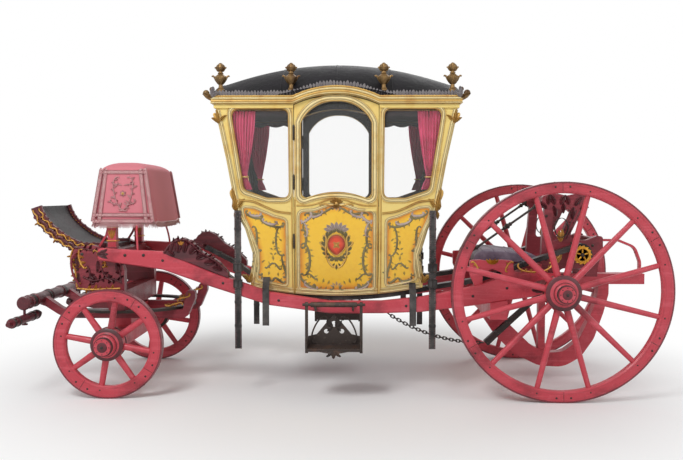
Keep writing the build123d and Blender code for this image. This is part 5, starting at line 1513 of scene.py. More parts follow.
END_LEAVES = (
    (-0.290, 1.200, 50, 0.070, 0.014, -0.8), (-0.280, 1.100, -50, 0.066, 0.013, 0.8),
    (-0.262, 0.950, 40, 0.070, 0.014, 0.6), (-0.120, 0.880, 62, 0.060, 0.013, 0.7),
    (-0.240, 1.335, -34, 0.066, 0.013, -0.8), (-0.070, 0.880, 44, 0.054, 0.012, 0.8),
)


CORNER_LEAVES = (
    (1.385, 0.150, ((86, 0.175, 0.024, -0.25), (62, 0.120, 0.018, 0.9), (108, 0.110, 0.018, 0.5),
                    (38, 0.070, 0.014, 0.9), (-62, 0.060, 0.014, -0.6))),
    (0.838, 0.052, ((100, 0.110, 0.022, 0.3), (66, 0.085, 0.018, -0.9), (132, 0.085, 0.016, -0.4),
                    (20, 0.050, 0.013, 0.8))),
    (2.040, 0.070, ((88, 0.105, 0.020, -0.2), (112, 0.085, 0.015, 0.7), (60, 0.070, 0.014, -0.8))),
)


@dataclass
class CabinShell:
    """Frames, painted panels, mouldings and carving of the cabin's four walls."""

    frame_height: float = 0.012
    door_stile: float = 0.024
    quarter_stile: float = 0.017
    field_proud: float = 0.003
    rim: float = 0.075
    edge_inset: float = 0.017

    def build(self) -> None:
        """Dresses both sides and both ends."""
        self.sides = {
            side: Wall([f"door_{side.word}", f"quarter_front_{side.word}"], 1, side.value,
                       -0.07) for side in Side
        }
        self.ends = {
            End.FRONT: Wall(["cabin_front_wall"], 0, -1, 0.36),
            End.REAR: Wall(["cabin_rear_wall"], 0, 1, 0.36),
        }
        bench = Bench("cabin")
        for side in Side:
            self._door(bench, side)
            for end in End:
                self._quarter(bench, side, end)
            self._hinges(bench, side)
        for end in End:
            self._end_wall(bench, end)
        bench.publish()
        self._beads()

    def door_window(self, grow: float) -> np.ndarray:
        """The door window's outline, grown by a margin, along and up."""
        half, low, shoulder = 0.265 + grow, 1.481 - grow, 2.045
        line = np.concatenate([
            [(-half, shoulder), (-half, low + 0.05)],
            arc_points((-half, low + 0.05), (-half + 0.015, low + 0.015), (-half + 0.05, low), 6),
            arc_points((-half + 0.05, low), (0, low + 0.046), (half - 0.05, low), 12),
            arc_points((half - 0.05, low), (half - 0.015, low + 0.015), (half, low + 0.05), 6),
            arc_points((half, shoulder), (0.165 + grow * 0.6, 2.160 + grow), (0, 2.204 + grow), 12),
            arc_points((0, 2.204 + grow), (-0.165 - grow * 0.6, 2.160 + grow), (-half, shoulder), 12),
        ])
        line = line[np.r_[True, np.linalg.norm(np.diff(line, axis=0), axis=1) > 1e-5]]
        line[:, 0] += CABIN_X
        return even_path(np.vstack([line, line[:1]]), 0.012, True)

    def quarter_window(self, grow: float, end: End) -> np.ndarray:
        """A quarter window's outline, grown by a margin, along and up."""
        rows = (
            (-0.793 - grow, 2.146 + grow, 0.052 + grow), (-0.360 + grow, 2.146 + grow, 0.052 + grow),
            (-0.355 + grow, 1.481 - grow, 0.052 + grow), (-0.520, 1.481 - grow, 0.08),
            (-0.695 - grow, 1.543 - grow, 0.052 + grow),
        )
        sign = -end.value
        return rounded([(CABIN_X + sign * along, up, radius) for along, up, radius in rows])

    def _door(self, bench: Bench, side: Side) -> None:
        """One door: its window frame, its panel and its painting."""
        wall, body = self.sides[side], f"door_{side.word}"
        frame_line = self.door_window(self.door_stile)
        bench.add(GILT_FRAME, "gilt", body, wall.moulding(frame_line, 0.021, self.frame_height, True))
        lip = self.door_window(0.002)
        bench.add(GILT_CARVING, "gilt", body,
                  wall.moulding(lip, 0.004, 0.010, True, HALF_ROUND, HALF_ROUND_SHADE))
        rows = (
            (-0.288, 0.786, 0.03), (-0.288, 1.388, 0.05), (-0.17, 1.392, 0.10), (-0.06, 1.432, 0.06),
            (0.06, 1.432, 0.06), (0.17, 1.392, 0.10), (0.288, 1.388, 0.05), (0.288, 0.786, 0.03),
            (0, 0.768, 0.2),
        )
        panel = rounded([(CABIN_X + along, up, radius) for along, up, radius in rows], 0.014)
        bench.add(PANEL_GOLD, "gold_panel", body, wall.lay(field_plate(panel, self.field_proud, self.rim)))
        bench.add(GILT_FRAME, "gilt", body, wall.moulding(panel, 0.013, 0.011, True))
        waist = smooth_path([
            (CABIN_X - 0.30, 1.425), (CABIN_X - 0.19, 1.428), (CABIN_X - 0.07, 1.466), (CABIN_X, 1.474),
            (CABIN_X + 0.07, 1.466), (CABIN_X + 0.19, 1.428), (CABIN_X + 0.30, 1.425)], 0.012)
        bench.add(GILT_CARVING, "gilt", body,
                  wall.moulding(waist, 0.006, 0.009, False, HALF_ROUND, HALF_ROUND_SHADE))
        for share in (-1, 1):
            stile = np.column_stack([np.full(60, CABIN_X + share * 0.3105), np.linspace(0.77, 1.47, 60)])
            bench.add(GILT_CARVING, "gilt", body,
                      wall.moulding(stile, 0.0045, 0.006, False, HALF_ROUND, HALF_ROUND_SHADE))
        self._sill(bench, wall, body, "door")
        scrolls = list(DOOR_SCROLLS) + mirror_rows(DOOR_SCROLLS)
        bench.add(OLIVE_PAINT, "gilt", body, *wall.scrollwork(scrolls, CABIN_X, leaf=0.052))
        crown = list(DOOR_CROWN) + mirror_rows(DOOR_CROWN)
        bench.add(LILAC_PAINT, "gilt", body, *wall.scrollwork(crown, CABIN_X, 0.006, 0.034))
        leaves = list(DOOR_LEAVES) + mirror_leaves(DOOR_LEAVES)
        bench.add(OLIVE_PAINT, "gilt", body, *wall.leaves(leaves, CABIN_X))
        bench.add(LILAC_PAINT, "gilt", body, *wall.leaves(DOOR_SHELL, CABIN_X))
        upper_shell = [(along, 1.424 - (up - 0.80), -degrees, length * 0.8, half, -bend)
                       for along, up, degrees, length, half, bend in DOOR_SHELL]
        bench.add(LILAC_PAINT, "gilt", body, *wall.leaves(upper_shell, CABIN_X))
        self._medallion(bench, wall, body)
        self._cartouche(bench, wall, body)

    def _medallion(self, bench: Bench, wall: Wall, body: str) -> None:
        """A scarlet oval with a plain rosette, in a wreath of leaves under a shell."""
        middle_up = 1.128
        angles = np.linspace(0, FULL_TURN, 48, endpoint=False)
        pinch = 1 - 0.42 * np.clip(-np.sin(angles), 0, 1) ** 1.6 + 0.10 * np.clip(np.sin(angles), 0, 1) ** 2
        oval = np.column_stack([CABIN_X + 0.070 * np.cos(angles) * pinch, middle_up + 0.080 * np.sin(angles)])
        bench.add(SCARLET_PAINT, "gold_panel", body, wall.lay(field_plate(oval, 0.006, 0.03, 0.014, 0.008)))
        bench.add(GILT_CARVING, "gilt", body,
                  wall.moulding(oval, 0.006, 0.014, True, HALF_ROUND, HALF_ROUND_SHADE))
        petals = [(0.0, middle_up, 45 + 90 * turn, 0.040, 0.012, 0.0) for turn in range(4)]
        petals += [(0.0, middle_up, 90 * turn, 0.026, 0.007, 0.0) for turn in range(4)]
        bench.add(GILT_CARVING, "gilt", body, *[
            moved(petal, lambda points: points + np.array([0, wall.sign * 0.011, 0]))
            for petal in wall.leaves(petals, CABIN_X, 0.007, 2)])
        bench.add(GILT_CARVING, "gilt", body, wall.lay(ball((CABIN_X, middle_up, 0.018), 0.008, 0.7)))
        wreath = []
        for turn in range(9):
            angle = math.radians(-86 + 19.5 * turn)
            reach_x, reach_z = 0.074 * math.cos(angle), 0.090 * math.sin(angle)
            wreath.append((reach_x, middle_up + reach_z, math.degrees(angle) + 36, 0.064, 0.017, 0.7))
            wreath.append((reach_x, middle_up + reach_z, math.degrees(angle) - 14, 0.046, 0.013, -0.5))
        bench.add(OLIVE_PAINT, "gilt", body, *wall.leaves(wreath + mirror_leaves(wreath), CABIN_X, 0.009))
        supports = (
            (-0.100, 1.195, -0.060, 1.045, -0.75, 0.6, 0.009),
            (-0.060, 1.045, -0.010, 0.965, 0.55, 0.6, 0.008),
            (-0.120, 1.150, -0.085, 1.088, 0.7, -0.5, 0.006),
        )
        bench.add(GILT_CARVING, "gilt", body,
                  *wall.scrollwork(list(supports) + mirror_rows(supports), CABIN_X, 0.008))
        shell_rows = [(0.040 * math.cos(math.radians(angle)) * 0.7, 1.234, angle, 0.076, 0.0175, 0.0)
                      for angle in (14, 40, 66, 90, 114, 140, 166)]
        bench.add(LILAC_PAINT, "gilt", body, *wall.leaves(shell_rows, CABIN_X, 0.010, 1))
        hanging = [(0.0, 0.985, -90, 0.055, 0.012, 0.0), (-0.012, 0.992, -118, 0.040, 0.009, -0.4),
                   (0.012, 0.992, -62, 0.040, 0.009, 0.4)]
        bench.add(OLIVE_PAINT, "gilt", body, *wall.leaves(hanging, CABIN_X, 0.008))

    def _cartouche(self, bench: Bench, wall: Wall, body: str) -> None:
        """The carved shell under the middle of the door window."""
        fan = [(0.0, 1.440, angle, 0.052, 0.011, 0.0) for angle in (20, 48, 76, 104, 132, 160)]
        fan += [(0.0, 1.442, angle, 0.044, 0.010, 0.0) for angle in (-150, -120, -90, -60, -30)]
        bench.add(GILT_CARVING, "gilt", body, *wall.leaves(fan, CABIN_X, 0.020, 2))
        bench.add(GILT_CARVING, "gilt", body, wall.lay(ball((CABIN_X, 1.442, 0.014), 0.012, 0.8)))
        arms = ((-0.016, 1.436, -0.120, 1.424, -0.5, 0.75, 0.009),)
        bench.add(GILT_CARVING, "gilt", body,
                  *wall.scrollwork(list(arms) + mirror_rows(arms), CABIN_X, 0.012))

    def _sill(self, bench: Bench, wall: Wall, body: str, which: str, sign: int = -1) -> None:
        """The two mouldings along the curved bottom edge."""
        spans = {"door": (-0.312, 0.312), "quarter": (0.330, 0.632)}
        low, high = spans[which]
        places = np.linspace(low, high, 40)
        for rise, half, tall in ((0.016, 0.013, 0.012), (0.040, 0.006, 0.008)):
            base = 0.733 + 0.067 * (places / 0.655) ** 2 + rise
            along = CABIN_X + (places if which == "door" else sign * places)
            bench.add(GILT_FRAME, "gilt", body, wall.moulding(np.column_stack([along, base]), half, tall))

    def _quarter(self, bench: Bench, side: Side, end: End) -> None:
        """One corner panel of the side: its window frame, its field and its painting."""
        wall, sign = self.sides[side], -end.value
        window = self.quarter_window(self.quarter_stile, end)
        bench.add(GILT_FRAME, "gilt", "carriage", wall.moulding(window, 0.0145, self.frame_height, True))
        lip = self.quarter_window(0.001, end)
        bench.add(GILT_CARVING, "gilt", "carriage",
                  wall.moulding(lip, 0.0035, 0.010, True, HALF_ROUND, HALF_ROUND_SHADE))
        rows = (
            (-0.372, 0.806, 0.03), (-0.372, 1.322, 0.04), (-0.46, 1.345, 0.08), (-0.62, 1.412, 0.08),
            (-0.716, 1.420, 0.03), (-0.694, 1.335, 0.06), (-0.640, 1.215, 0.10), (-0.592, 1.080, 0.12),
            (-0.590, 0.960, 0.12), (-0.612, 0.862, 0.035),
        )
        panel = rounded([(CABIN_X + sign * along, up, radius) for along, up, radius in rows], 0.014)
        bench.add(PANEL_GOLD, "gold_panel", "carriage",
                  wall.lay(field_plate(panel, self.field_proud, self.rim * 0.75)))
        bench.add(GILT_FRAME, "gilt", "carriage", wall.moulding(panel, 0.011, 0.011, True))
        waist = smooth_path([(CABIN_X + sign * along, up) for along, up in (
            (-0.748, 1.470), (-0.70, 1.462), (-0.62, 1.452), (-0.52, 1.408), (-0.44, 1.378),
            (-0.345, 1.366))], 0.012)
        bench.add(GILT_CARVING, "gilt", "carriage", wall.moulding(waist, 0.009, 0.011))
        heights = np.linspace(0.84, 2.14, 100)
        halves = self._half_length(heights)
        edge = np.column_stack([CABIN_X + sign * -(halves - self.edge_inset), heights])
        bench.add(GILT_FRAME, "gilt", "carriage", wall.moulding(edge, 0.014, 0.012))
        post = np.column_stack([np.full(70, CABIN_X + sign * -0.3345), np.linspace(0.775, 2.13, 70)])
        bench.add(GILT_CARVING, "gilt", "carriage",
                  wall.moulding(post, 0.0045, 0.008, False, HALF_ROUND, HALF_ROUND_SHADE))
        self._sill(bench, wall, "carriage", "quarter", end.value)
        mirror = sign < 0
        scrolls = mirror_rows(QUARTER_SCROLLS) if mirror else QUARTER_SCROLLS
        leaves = mirror_leaves(QUARTER_LEAVES) if mirror else QUARTER_LEAVES
        bench.add(OLIVE_PAINT, "gilt", "carriage", *wall.scrollwork(scrolls, CABIN_X, leaf=0.042))
        crown = mirror_rows(QUARTER_CROWN) if mirror else QUARTER_CROWN
        bench.add(LILAC_PAINT, "gilt", "carriage", *wall.scrollwork(crown, CABIN_X, 0.006, 0.032))
        bench.add(OLIVE_PAINT, "gilt", "carriage", *wall.leaves(leaves, CABIN_X))
        self._corner_carving(bench, side, end)

    def _half_length(self, heights: np.ndarray) -> np.ndarray:
        """Half of the cabin's length at each height, read off the end walls."""
        front, rear = self.ends[End.FRONT], self.ends[End.REAR]
        total = np.interp(heights, front.heights, front.reach) + np.interp(heights, rear.heights, rear.reach)
        return total / 2

    def _corner_carving(self, bench: Bench, side: Side, end: End) -> None:
        """Carved leaf brackets at the elbow, the foot and the head of one corner."""
        sign = end.value
        walls = self.sides[side]
        for base, turned, leaves in CORNER_LEAVES:
            wide = float(np.interp(base, walls.heights, walls.reach)) if base < 1.3 else 0.525
            half = float(self._half_length(np.array([base]))[0])
            for depth, out in ((0.004, 0.0), (0.030, 0.006)):
                spot = (CABIN_X + sign * (half + 0.002), side.value * (wide + 0.004 - depth), base)
                for degrees, length, half_width, bend in leaves:
                    leaf = blade(bent_spine((0, 0), degrees, length + out, bend), half_width, 0.026, 4)
                    bench.add(GILT_CARVING, "gilt", "carriage",
                              upright(leaf, spot, sign, side))
            curl = volute((spot[0], side.value * (wide - 0.004), base),
                          (spot[0] + sign * 0.030, side.value * (wide - 0.004), base + turned),
                          -0.3, 0.8, (sign, 0, 0), 0.011)
            bench.add(GILT_CARVING, "gilt", "carriage", curl)

    def _hinges(self, bench: Bench, side: Side) -> None:
        """Three long iron hinges on the front edge of one door."""
        for middle in (1.97, 1.60, 1.155):
            wall = self.sides[side]
            reach = float(np.interp(middle, wall.heights, wall.reach))
            spot = (-0.3645, side.value * (reach + 0.006), middle)
            rows = [(0.003, -0.058), (0.007, -0.052), (0.0075, 0.052), (0.003, 0.058)]
            bench.add(IRON, "iron", "carriage", lathe(rows, spot, (0, 0, 1), 10))
            for step in np.linspace(-0.04, 0.04, 5):
                bench.add(IRON, "iron", "carriage", ball((spot[0], spot[1], middle + step), 0.0088, 0.5))

    def _end_wall(self, bench: Bench, end: End) -> None:
        """Mouldings, panels and painting of one end wall."""
        wall = self.ends[end]
        side_wall = self.sides[Side.LEFT]
        heights = np.linspace(0.86, 2.14, 90)
        wide = np.interp(heights, side_wall.heights, side_wall.reach)
        for sign in (-1, 1):
            edge = np.column_stack([sign * (wide - self.edge_inset), heights])
            bench.add(GILT_FRAME, "gilt", "carriage", wall.moulding(edge, 0.014, 0.011))
        rows = ((-0.395, 0.870, 0.04), (-0.450, 1.200, 0.3), (-0.468, 1.400, 0.05), (-0.18, 1.400, 0.1),
                (0, 1.436, 0.1), (0.18, 1.400, 0.1), (0.468, 1.400, 0.05), (0.450, 1.200, 0.3),
                (0.395, 0.870, 0.04))
        panel = rounded(rows, 0.016)
        bench.add(PANEL_GOLD, "gold_panel", "carriage",
                  wall.lay(field_plate(panel, self.field_proud, self.rim, 0.03)))
        bench.add(GILT_FRAME, "gilt", "carriage", wall.moulding(panel, 0.012, 0.011, True))
        waist = smooth_path([(-0.50, 1.455), (-0.30, 1.452), (0, 1.490), (0.30, 1.452), (0.50, 1.455)], 0.016)
        bench.add(GILT_CARVING, "gilt", "carriage", wall.moulding(waist, 0.009, 0.011))
        scrolls = list(END_SCROLLS) + mirror_rows(END_SCROLLS)
        bench.add(OLIVE_PAINT, "gilt", "carriage", *wall.scrollwork(scrolls, leaf=0.046))
        bench.add(OLIVE_PAINT, "gilt", "carriage", *wall.leaves(list(END_LEAVES) + mirror_leaves(END_LEAVES)))
        fan = [(0.0, 0.868, angle, 0.070, 0.015, 0.0) for angle in (22, 46, 68, 90, 112, 134, 158)]
        bench.add(LILAC_PAINT, "gilt", "carriage", *wall.leaves(fan))
        if end is End.FRONT:
            window = rounded([(-0.330, 1.540, 0.06), (-0.330, 2.100, 0.06), (0.330, 2.100, 0.06),
                              (0.330, 1.540, 0.06)])
            bench.add(GILT_FRAME, "gilt", "carriage", wall.moulding(window, 0.018, self.frame_height, True))
            return
        upper = rounded([(-0.452, 1.520, 0.05), (-0.452, 2.115, 0.06), (0.452, 2.115, 0.06),
                         (0.452, 1.520, 0.05),
                         (0.18, 1.520, 0.1), (0, 1.548, 0.1), (-0.18, 1.520, 0.1)], 0.016)
        bench.add(PANEL_GOLD, "gold_panel", "carriage",
                  wall.lay(field_plate(upper, self.field_proud, self.rim, 0.03)))
        bench.add(GILT_FRAME, "gilt", "carriage", wall.moulding(upper, 0.014, self.frame_height, True))
        corners = (
            (-0.415, 1.700, -0.395, 1.590, -0.6, -0.7, 0.011),
            (-0.400, 1.580, -0.250, 1.565, 0.7, 0.6, 0.011),
            (-0.415, 1.940, -0.395, 2.050, 0.6, 0.7, 0.011),
            (-0.400, 2.062, -0.250, 2.078, -0.7, -0.6, 0.011),
        )
        bench.add(OLIVE_PAINT, "gilt", "carriage",
                  *wall.scrollwork(list(corners) + mirror_rows(corners), leaf=0.046))

    def _beads(self) -> None:
        """A row of small beads in the moulding of each door panel and quarter panel."""
        bead = lathe([(0.0008, -0.001), (0.0040, 0.0), (0.0036, 0.0022), (0.0010, 0.0042)], (0, 0, 0),
                     (0, 0, 1), 6)
        for side in Side:
            wall = self.sides[side]
            line = self.door_window(self.door_stile + 0.0185)
            flat = wall.lay((np.column_stack([line, np.full(len(line), 0.006)]), [], np.zeros(len(line))))[0]
            outs = np.tile([0.0, float(side.value), 0.0], (len(line), 1))
            Row(f"door_window_beads_{side.word}", [(flat, outs, True)], bead, 0.013, GILT_CARVING, "gilt",
                f"door_{side.word}").build()
            lines = []
            for end in End:
                line = self.quarter_window(self.quarter_stile + 0.021, end)
                keep = np.abs(line[:, 0] - CABIN_X) > 0.345
                line = line[keep]
                turn = int(np.argmax(np.linalg.norm(np.diff(np.vstack([line, line[:1]]), axis=0), axis=1)))
                line = np.roll(line, -(turn + 1), axis=0)
                flat = wall.lay((np.column_stack([line, np.full(len(line), 0.002)]), [],
                                 np.zeros(len(line))))[0]
                lines.append((flat, np.tile([0.0, float(side.value), 0.0], (len(line), 1)), False))
            Row(f"quarter_window_beads_{side.word}", lines, bead, 0.013, GILT_CARVING, "gilt",
                "carriage").build()


# Cushions and the platform pad
def laid_line(tree: BVHTree, spots: Iterable[tuple[float, float]],
              start: float = 3.0) -> tuple[np.ndarray, np.ndarray]:
    """A line dropped from above onto a surface, with the surface's direction at each point."""
    points, outs = [], []
    for x, y in spots:
        spot, normal = tree.ray_cast(Vector((x, y, start)), Vector((0, 0, -1)))[:2]
        if spot is not None:
            points.append(tuple(spot))
            outs.append(tuple(normal))
    return np.array(points), np.array(outs)


@dataclass
class Pad:
    """One stuffed piece, blown up from a slightly smaller copy of its CAD solid."""

    name: str
    node: str
    finish: Finish
    slot: str
    shrink: float = 0.009
    cap: float = 0.014
    pressure: float = 4.0
    voxel: float = 0.011
    fill: float = 0.6
    seams: tuple[tuple[tuple[float, float], ...], ...] = ()

    def build(self) -> None:
        """Makes the stuffed form, its seams and what it replaces."""
        base = self._remeshed()
        low = min(vert.co.z for vert in base.vertices)
        self._inflate(base, low)
        mesh = self._smoothed(base)
        made = publish(self.name, mesh, self.finish, "carriage")
        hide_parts(self.node)
        self._sew(mesh)

    def _remeshed(self) -> bpy.types.Mesh:
        """An even mesh of the CAD solid, drawn in by the shrink."""
        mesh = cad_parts[self.node].data.copy()
        mesh.materials.clear()
        built = bmesh.new()
        built.from_mesh(mesh)
        bmesh.ops.remove_doubles(built, verts=built.verts[:], dist=1e-5)
        built.to_mesh(mesh)
        built.free()
        holder = bpy.data.objects.new(f"{self.name}_base", mesh)
        bpy.context.scene.collection.objects.link(holder)
        remesh = holder.modifiers.new("even", "REMESH")
        remesh.mode = "VOXEL"
        remesh.voxel_size = self.voxel
        even = bpy.data.meshes.new_from_object(holder.evaluated_get(bpy.context.evaluated_depsgraph_get()))
        bpy.data.objects.remove(holder)
        normals = [vert.normal.copy() for vert in even.vertices]
        for vert, normal in zip(even.vertices, normals):
            vert.co -= normal * self.shrink
        return even

    def _inflate(self, mesh: bpy.types.Mesh, low: float) -> None:
        """Blows the mesh up as cloth, caps each point's move and keeps the underside flat."""
        holder = bpy.data.objects.new(f"{self.name}_cloth", mesh)
        bpy.context.scene.collection.objects.link(holder)
        cloth = holder.modifiers.new("stuffing", "CLOTH")
        cloth.settings.quality = 5
        cloth.settings.mass = 0.3
        cloth.settings.tension_stiffness = 12
        cloth.settings.compression_stiffness = 12
        cloth.settings.shear_stiffness = 4
        cloth.settings.bending_stiffness = 0.4
        cloth.settings.use_pressure = True
        cloth.settings.uniform_pressure_force = self.pressure
        cloth.settings.effector_weights.gravity = 0.0
        cloth.point_cache.frame_start = 1
        cloth.point_cache.frame_end = 20
        scene = bpy.context.scene
        for step in range(1, 21):
            scene.frame_set(step)
        blown = holder.evaluated_get(bpy.context.evaluated_depsgraph_get()).to_mesh()
        places = [vert.co.copy() for vert in blown.vertices]
        holder.modifiers.clear()
        for vert, place in zip(mesh.vertices, places):
            move = place - vert.co
            if move.length > self.cap:
                move *= self.cap / move.length
            vert.co += move
            vert.co.z = max(vert.co.z, low)
        scene.frame_set(1)
        bpy.data.objects.remove(holder)

    def _smoothed(self, base: bpy.types.Mesh) -> bpy.types.Mesh:
        """The form after a light smoothing and one subdivision."""
        holder = bpy.data.objects.new(f"{self.name}_form", base)
        bpy.context.scene.collection.objects.link(holder)
        smooth = holder.modifiers.new("ease", "SMOOTH")
        smooth.iterations = 4
        finer = holder.modifiers.new("finer", "SUBSURF")
        finer.levels = finer.render_levels = 1
        mesh = bpy.data.meshes.new_from_object(holder.evaluated_get(bpy.context.evaluated_depsgraph_get()))
        bpy.data.objects.remove(holder)
        mesh.shade_smooth()
        return mesh

    def _sew(self, mesh: bpy.types.Mesh) -> None:
        """Lays corded seams over the form."""
        tree = BVHTree.FromPolygons([vert.co.copy() for vert in mesh.vertices],
                                    [tuple(face.vertices) for face in mesh.polygons])
        bench = Bench(f"{self.name}_seams")
        for seam in self.seams:
            start, end = np.array(seam[0]), np.array(seam[1])
            points, outs = laid_line(tree, [tuple(start + (end - start) * share) for share in np.linspace(0, 1, 40)])
            if len(points) > 3:
                bench.add(self.finish, self.slot, "carriage", sweep(points, outs, 0.004, 0.0035))
        bench.publish()


PLATFORM_PAD = Pad(
    "platform_pad", "rear_board_pad", PAD_CLOTH, "strap_leather",
    seams=tuple(((x, -0.295), (x, 0.295)) for x in (1.09, 1.18, 1.27, 1.36, 1.45)),
)
CUSHIONS = Pad(
    "bench_cushions", "seat_cushions", SEAT_VELVET, "velvet",
    seams=tuple(((x, -0.40), (x, 0.40)) for x in (-0.60, 0.51)),
)


# Roof, cornice and curtains
def around(shape: Shape, spot: Sequence[float], radius: Callable[[np.ndarray], np.ndarray]) -> Shape:
    """Wraps a flat shape, with along, up and out as its coordinates, round an upright axis.

    Args:
        shape: the flat shape. Its along is measured at the radius of each height.
        spot: the axis's place, along and across the coach.
        radius: gives the surface's radius at each height.

    Returns:
        The wrapped shape.
    """
    flat = np.asarray(shape[0], float)
    base = radius(flat[:, 1])
    angle = flat[:, 0] / np.maximum(base, 0.01)
    reach = base + flat[:, 2]
    points = np.column_stack([spot[0] + reach * np.cos(angle), spot[1] + reach * np.sin(angle), flat[:, 1]])
    return points, shape[1], shape[2]


@dataclass
class RoofTop:
    """Cornice mouldings, cresting, roof seams and the finials' leaves."""

    half_length: float = 0.930
    half_width: float = 0.553
    cornice_top: float = 2.228
    crown: float = 2.302
    arch_half: float = 0.322
    crest_spacing: float = 0.024
    crest_height: float = 0.050
    finial_places: tuple[float, ...] = (-0.867, -0.338, 0.354, 0.867)
    finial_y: float = 0.505
    finial_foot: float = 2.278

    def build(self) -> None:
        """Dresses the cornice, the roof and the finials."""
        bench = Bench("roof_top")
        # The two lowest lines end 50.5 mm down, because an open door's top corner swings under them.
        for drop, back, half, tall, finish in (
            (0.006, 0.0, 0.008, 0.010, GILT_FRAME), (0.024, 0.0, 0.009, 0.007, GILT_CARVING),
            (0.038, 0.0, 0.0055, 0.010, GILT_FRAME), (0.045, 0.014, 0.0014, 0.006, GILT_CARVING),
            (0.0486, 0.014, 0.0019, 0.006, GILT_FRAME),
        ):
            loop, outs = self.ring(drop, back)
            bench.add(finish, "gilt", "carriage", sweep(loop, outs, half, tall, True))
        loop, outs = self.ring(-0.007, 0.006)
        bench.add(PURPLE_BAND, "roof_leather", "carriage",
                  sweep(loop, outs, 0.009, 0.009, True, STRAP_PROFILE, STRAP_SHADE))
        self._seams(bench)
        self._finial_leaves(bench)
        self._corner_volutes(bench)
        bench.publish()
        self._cresting()

    def height(self, along: np.ndarray) -> np.ndarray:
        """The cornice's top edge over each place along the coach."""
        radius = (self.arch_half ** 2 + (self.crown - self.cornice_top) ** 2) / (2 * (self.crown - self.cornice_top))
        gap = np.clip(radius ** 2 - (along - CABIN_X) ** 2, 0, None)
        arch = self.crown - radius + np.sqrt(gap)
        return np.where(np.abs(along - CABIN_X) < self.arch_half, arch, self.cornice_top)

    def ring(self, drop: float, back: float) -> tuple[np.ndarray, np.ndarray]:
        """A closed line round the cornice, anticlockwise from above.

        Args:
            drop: how far it lies below the cornice's top edge.
            back: how far it lies inside the cornice's outer face.

        Returns:
            The line's points and the outward direction at each.
        """
        length, width = self.half_length - back, self.half_width - back
        along = np.linspace(CABIN_X - length, CABIN_X + length, 150)
        cross = np.linspace(-width, width, 24)[1:-1]
        rows = [(x, -width, 0, -1) for x in along] + [(CABIN_X + length, y, 1, 0) for y in cross]
        rows += [(x, width, 0, 1) for x in along[::-1]] + [(CABIN_X - length, y, -1, 0) for y in cross[::-1]]
        table = np.array(rows, float)
        up = self.height(table[:, 0]) - drop
        ends = (table[:, 2] != 0)
        up[ends] = self.cornice_top - drop
        outs = np.column_stack([table[:, 2], table[:, 3], np.zeros(len(table))])
        return np.column_stack([table[:, 0], table[:, 1], up]), outs

    def _cresting(self) -> None:
        """Rows of small upright leaves along the roof's edge, with a bead between them."""
        leaf = blade(np.column_stack([np.zeros(7), np.linspace(-0.004, self.crest_height, 7)]), 0.0112, 0.007,
                     2, 0.2)
        loop, outs = self.ring(-0.004, 0.012)
        Row("cresting_leaves", [(loop, outs, True)], leaf, self.crest_spacing, CRESTING, "roof_leather",
            "carriage",
            size_spread=0.1, seed=3).build()
        bead = lathe([(0.001, -0.004), (0.0075, -0.001), (0.008, 0.003), (0.002, 0.008)], (0, 0, 0),
                     (0, 0, 1), 6)
        loop, outs = self.ring(-0.010, 0.004)
        Row("cresting_beads", [(loop, outs, True)], bead, self.crest_spacing / 2, GILT_CARVING, "gilt",
            "carriage",
            seed=4).build()

    def _seams(self, bench: Bench) -> None:
        """Raised seams over the roof's ribs and along its crest."""
        tree = solid_tree(["roof"])
        lines = [[(CABIN_X + share * 0.924, y) for y in np.linspace(-0.545, 0.545, 60)]
                 for share in (-0.97, -0.45, 0.0, 0.45, 0.97)]
        lines.append([(x, 0.0) for x in np.linspace(CABIN_X - 0.915, CABIN_X + 0.915, 90)])
        for line in lines:
            points, outs = laid_line(tree, line)
            bench.add(ROOF_LEATHER, "roof_leather", "carriage", sweep(points, outs, 0.007, 0.0035))

    def _finial_leaves(self, bench: Bench) -> None:
        """Leaves round the body of each finial and a ring under its ball."""
        heights = np.array([0, 26, 50, 62, 88, 108, 122, 132, 148, 160, 178, 198,
                            212]) / 1000 + self.finial_foot
        radii = np.array([30, 17, 15, 24, 40, 44, 28, 17, 15, 27, 31, 24, 8]) / 1000

        def radius(up: np.ndarray) -> np.ndarray:
            """The turned finial's radius at each height."""
            return np.interp(up, heights, radii) + 0.001

        for place in self.finial_places:
            for side in Side:
                spot = (CABIN_X + place, side.value * self.finial_y)
                for turn in range(6):
                    for low, high, half, tall in ((0.052, 0.118, 0.016, 0.006), (0.150, 0.200, 0.011, 0.005)):
                        spine = np.column_stack([np.zeros(10), np.linspace(low, high, 10) + self.finial_foot])
                        flat = blade(spine, half, tall, 2)
                        turned = around(flat, (0, 0), radius)
                        bench.add(BRONZE, "gilt", "carriage",
                                  moved(turned, Turn(turn * FULL_TURN / 6, spot)))
                for way in (-1, 1):
                    for low, high, reach in ((0.058, 0.112, 0.062), (0.150, 0.176, 0.040)):
                        root = (spot[0] + way * 0.016, spot[1], self.finial_foot + low)
                        tip = (spot[0] + way * reach, spot[1], self.finial_foot + high)
                        bench.add(BRONZE, "gilt", "carriage",
                                  volute(root, tip, 0.15, -0.9, (way, 0, 0), 0.008))
                for up, ring in ((0.024, 0.021), (0.136, 0.019)):
                    rows = [(ring * 0.7, -0.005), (ring * 1.15, -0.002), (ring * 1.15, 0.002),
                            (ring * 0.7, 0.005)]
                    bench.add(BRONZE, "gilt", "carriage",
                              lathe(rows, (spot[0], spot[1], self.finial_foot + up), segments=14))

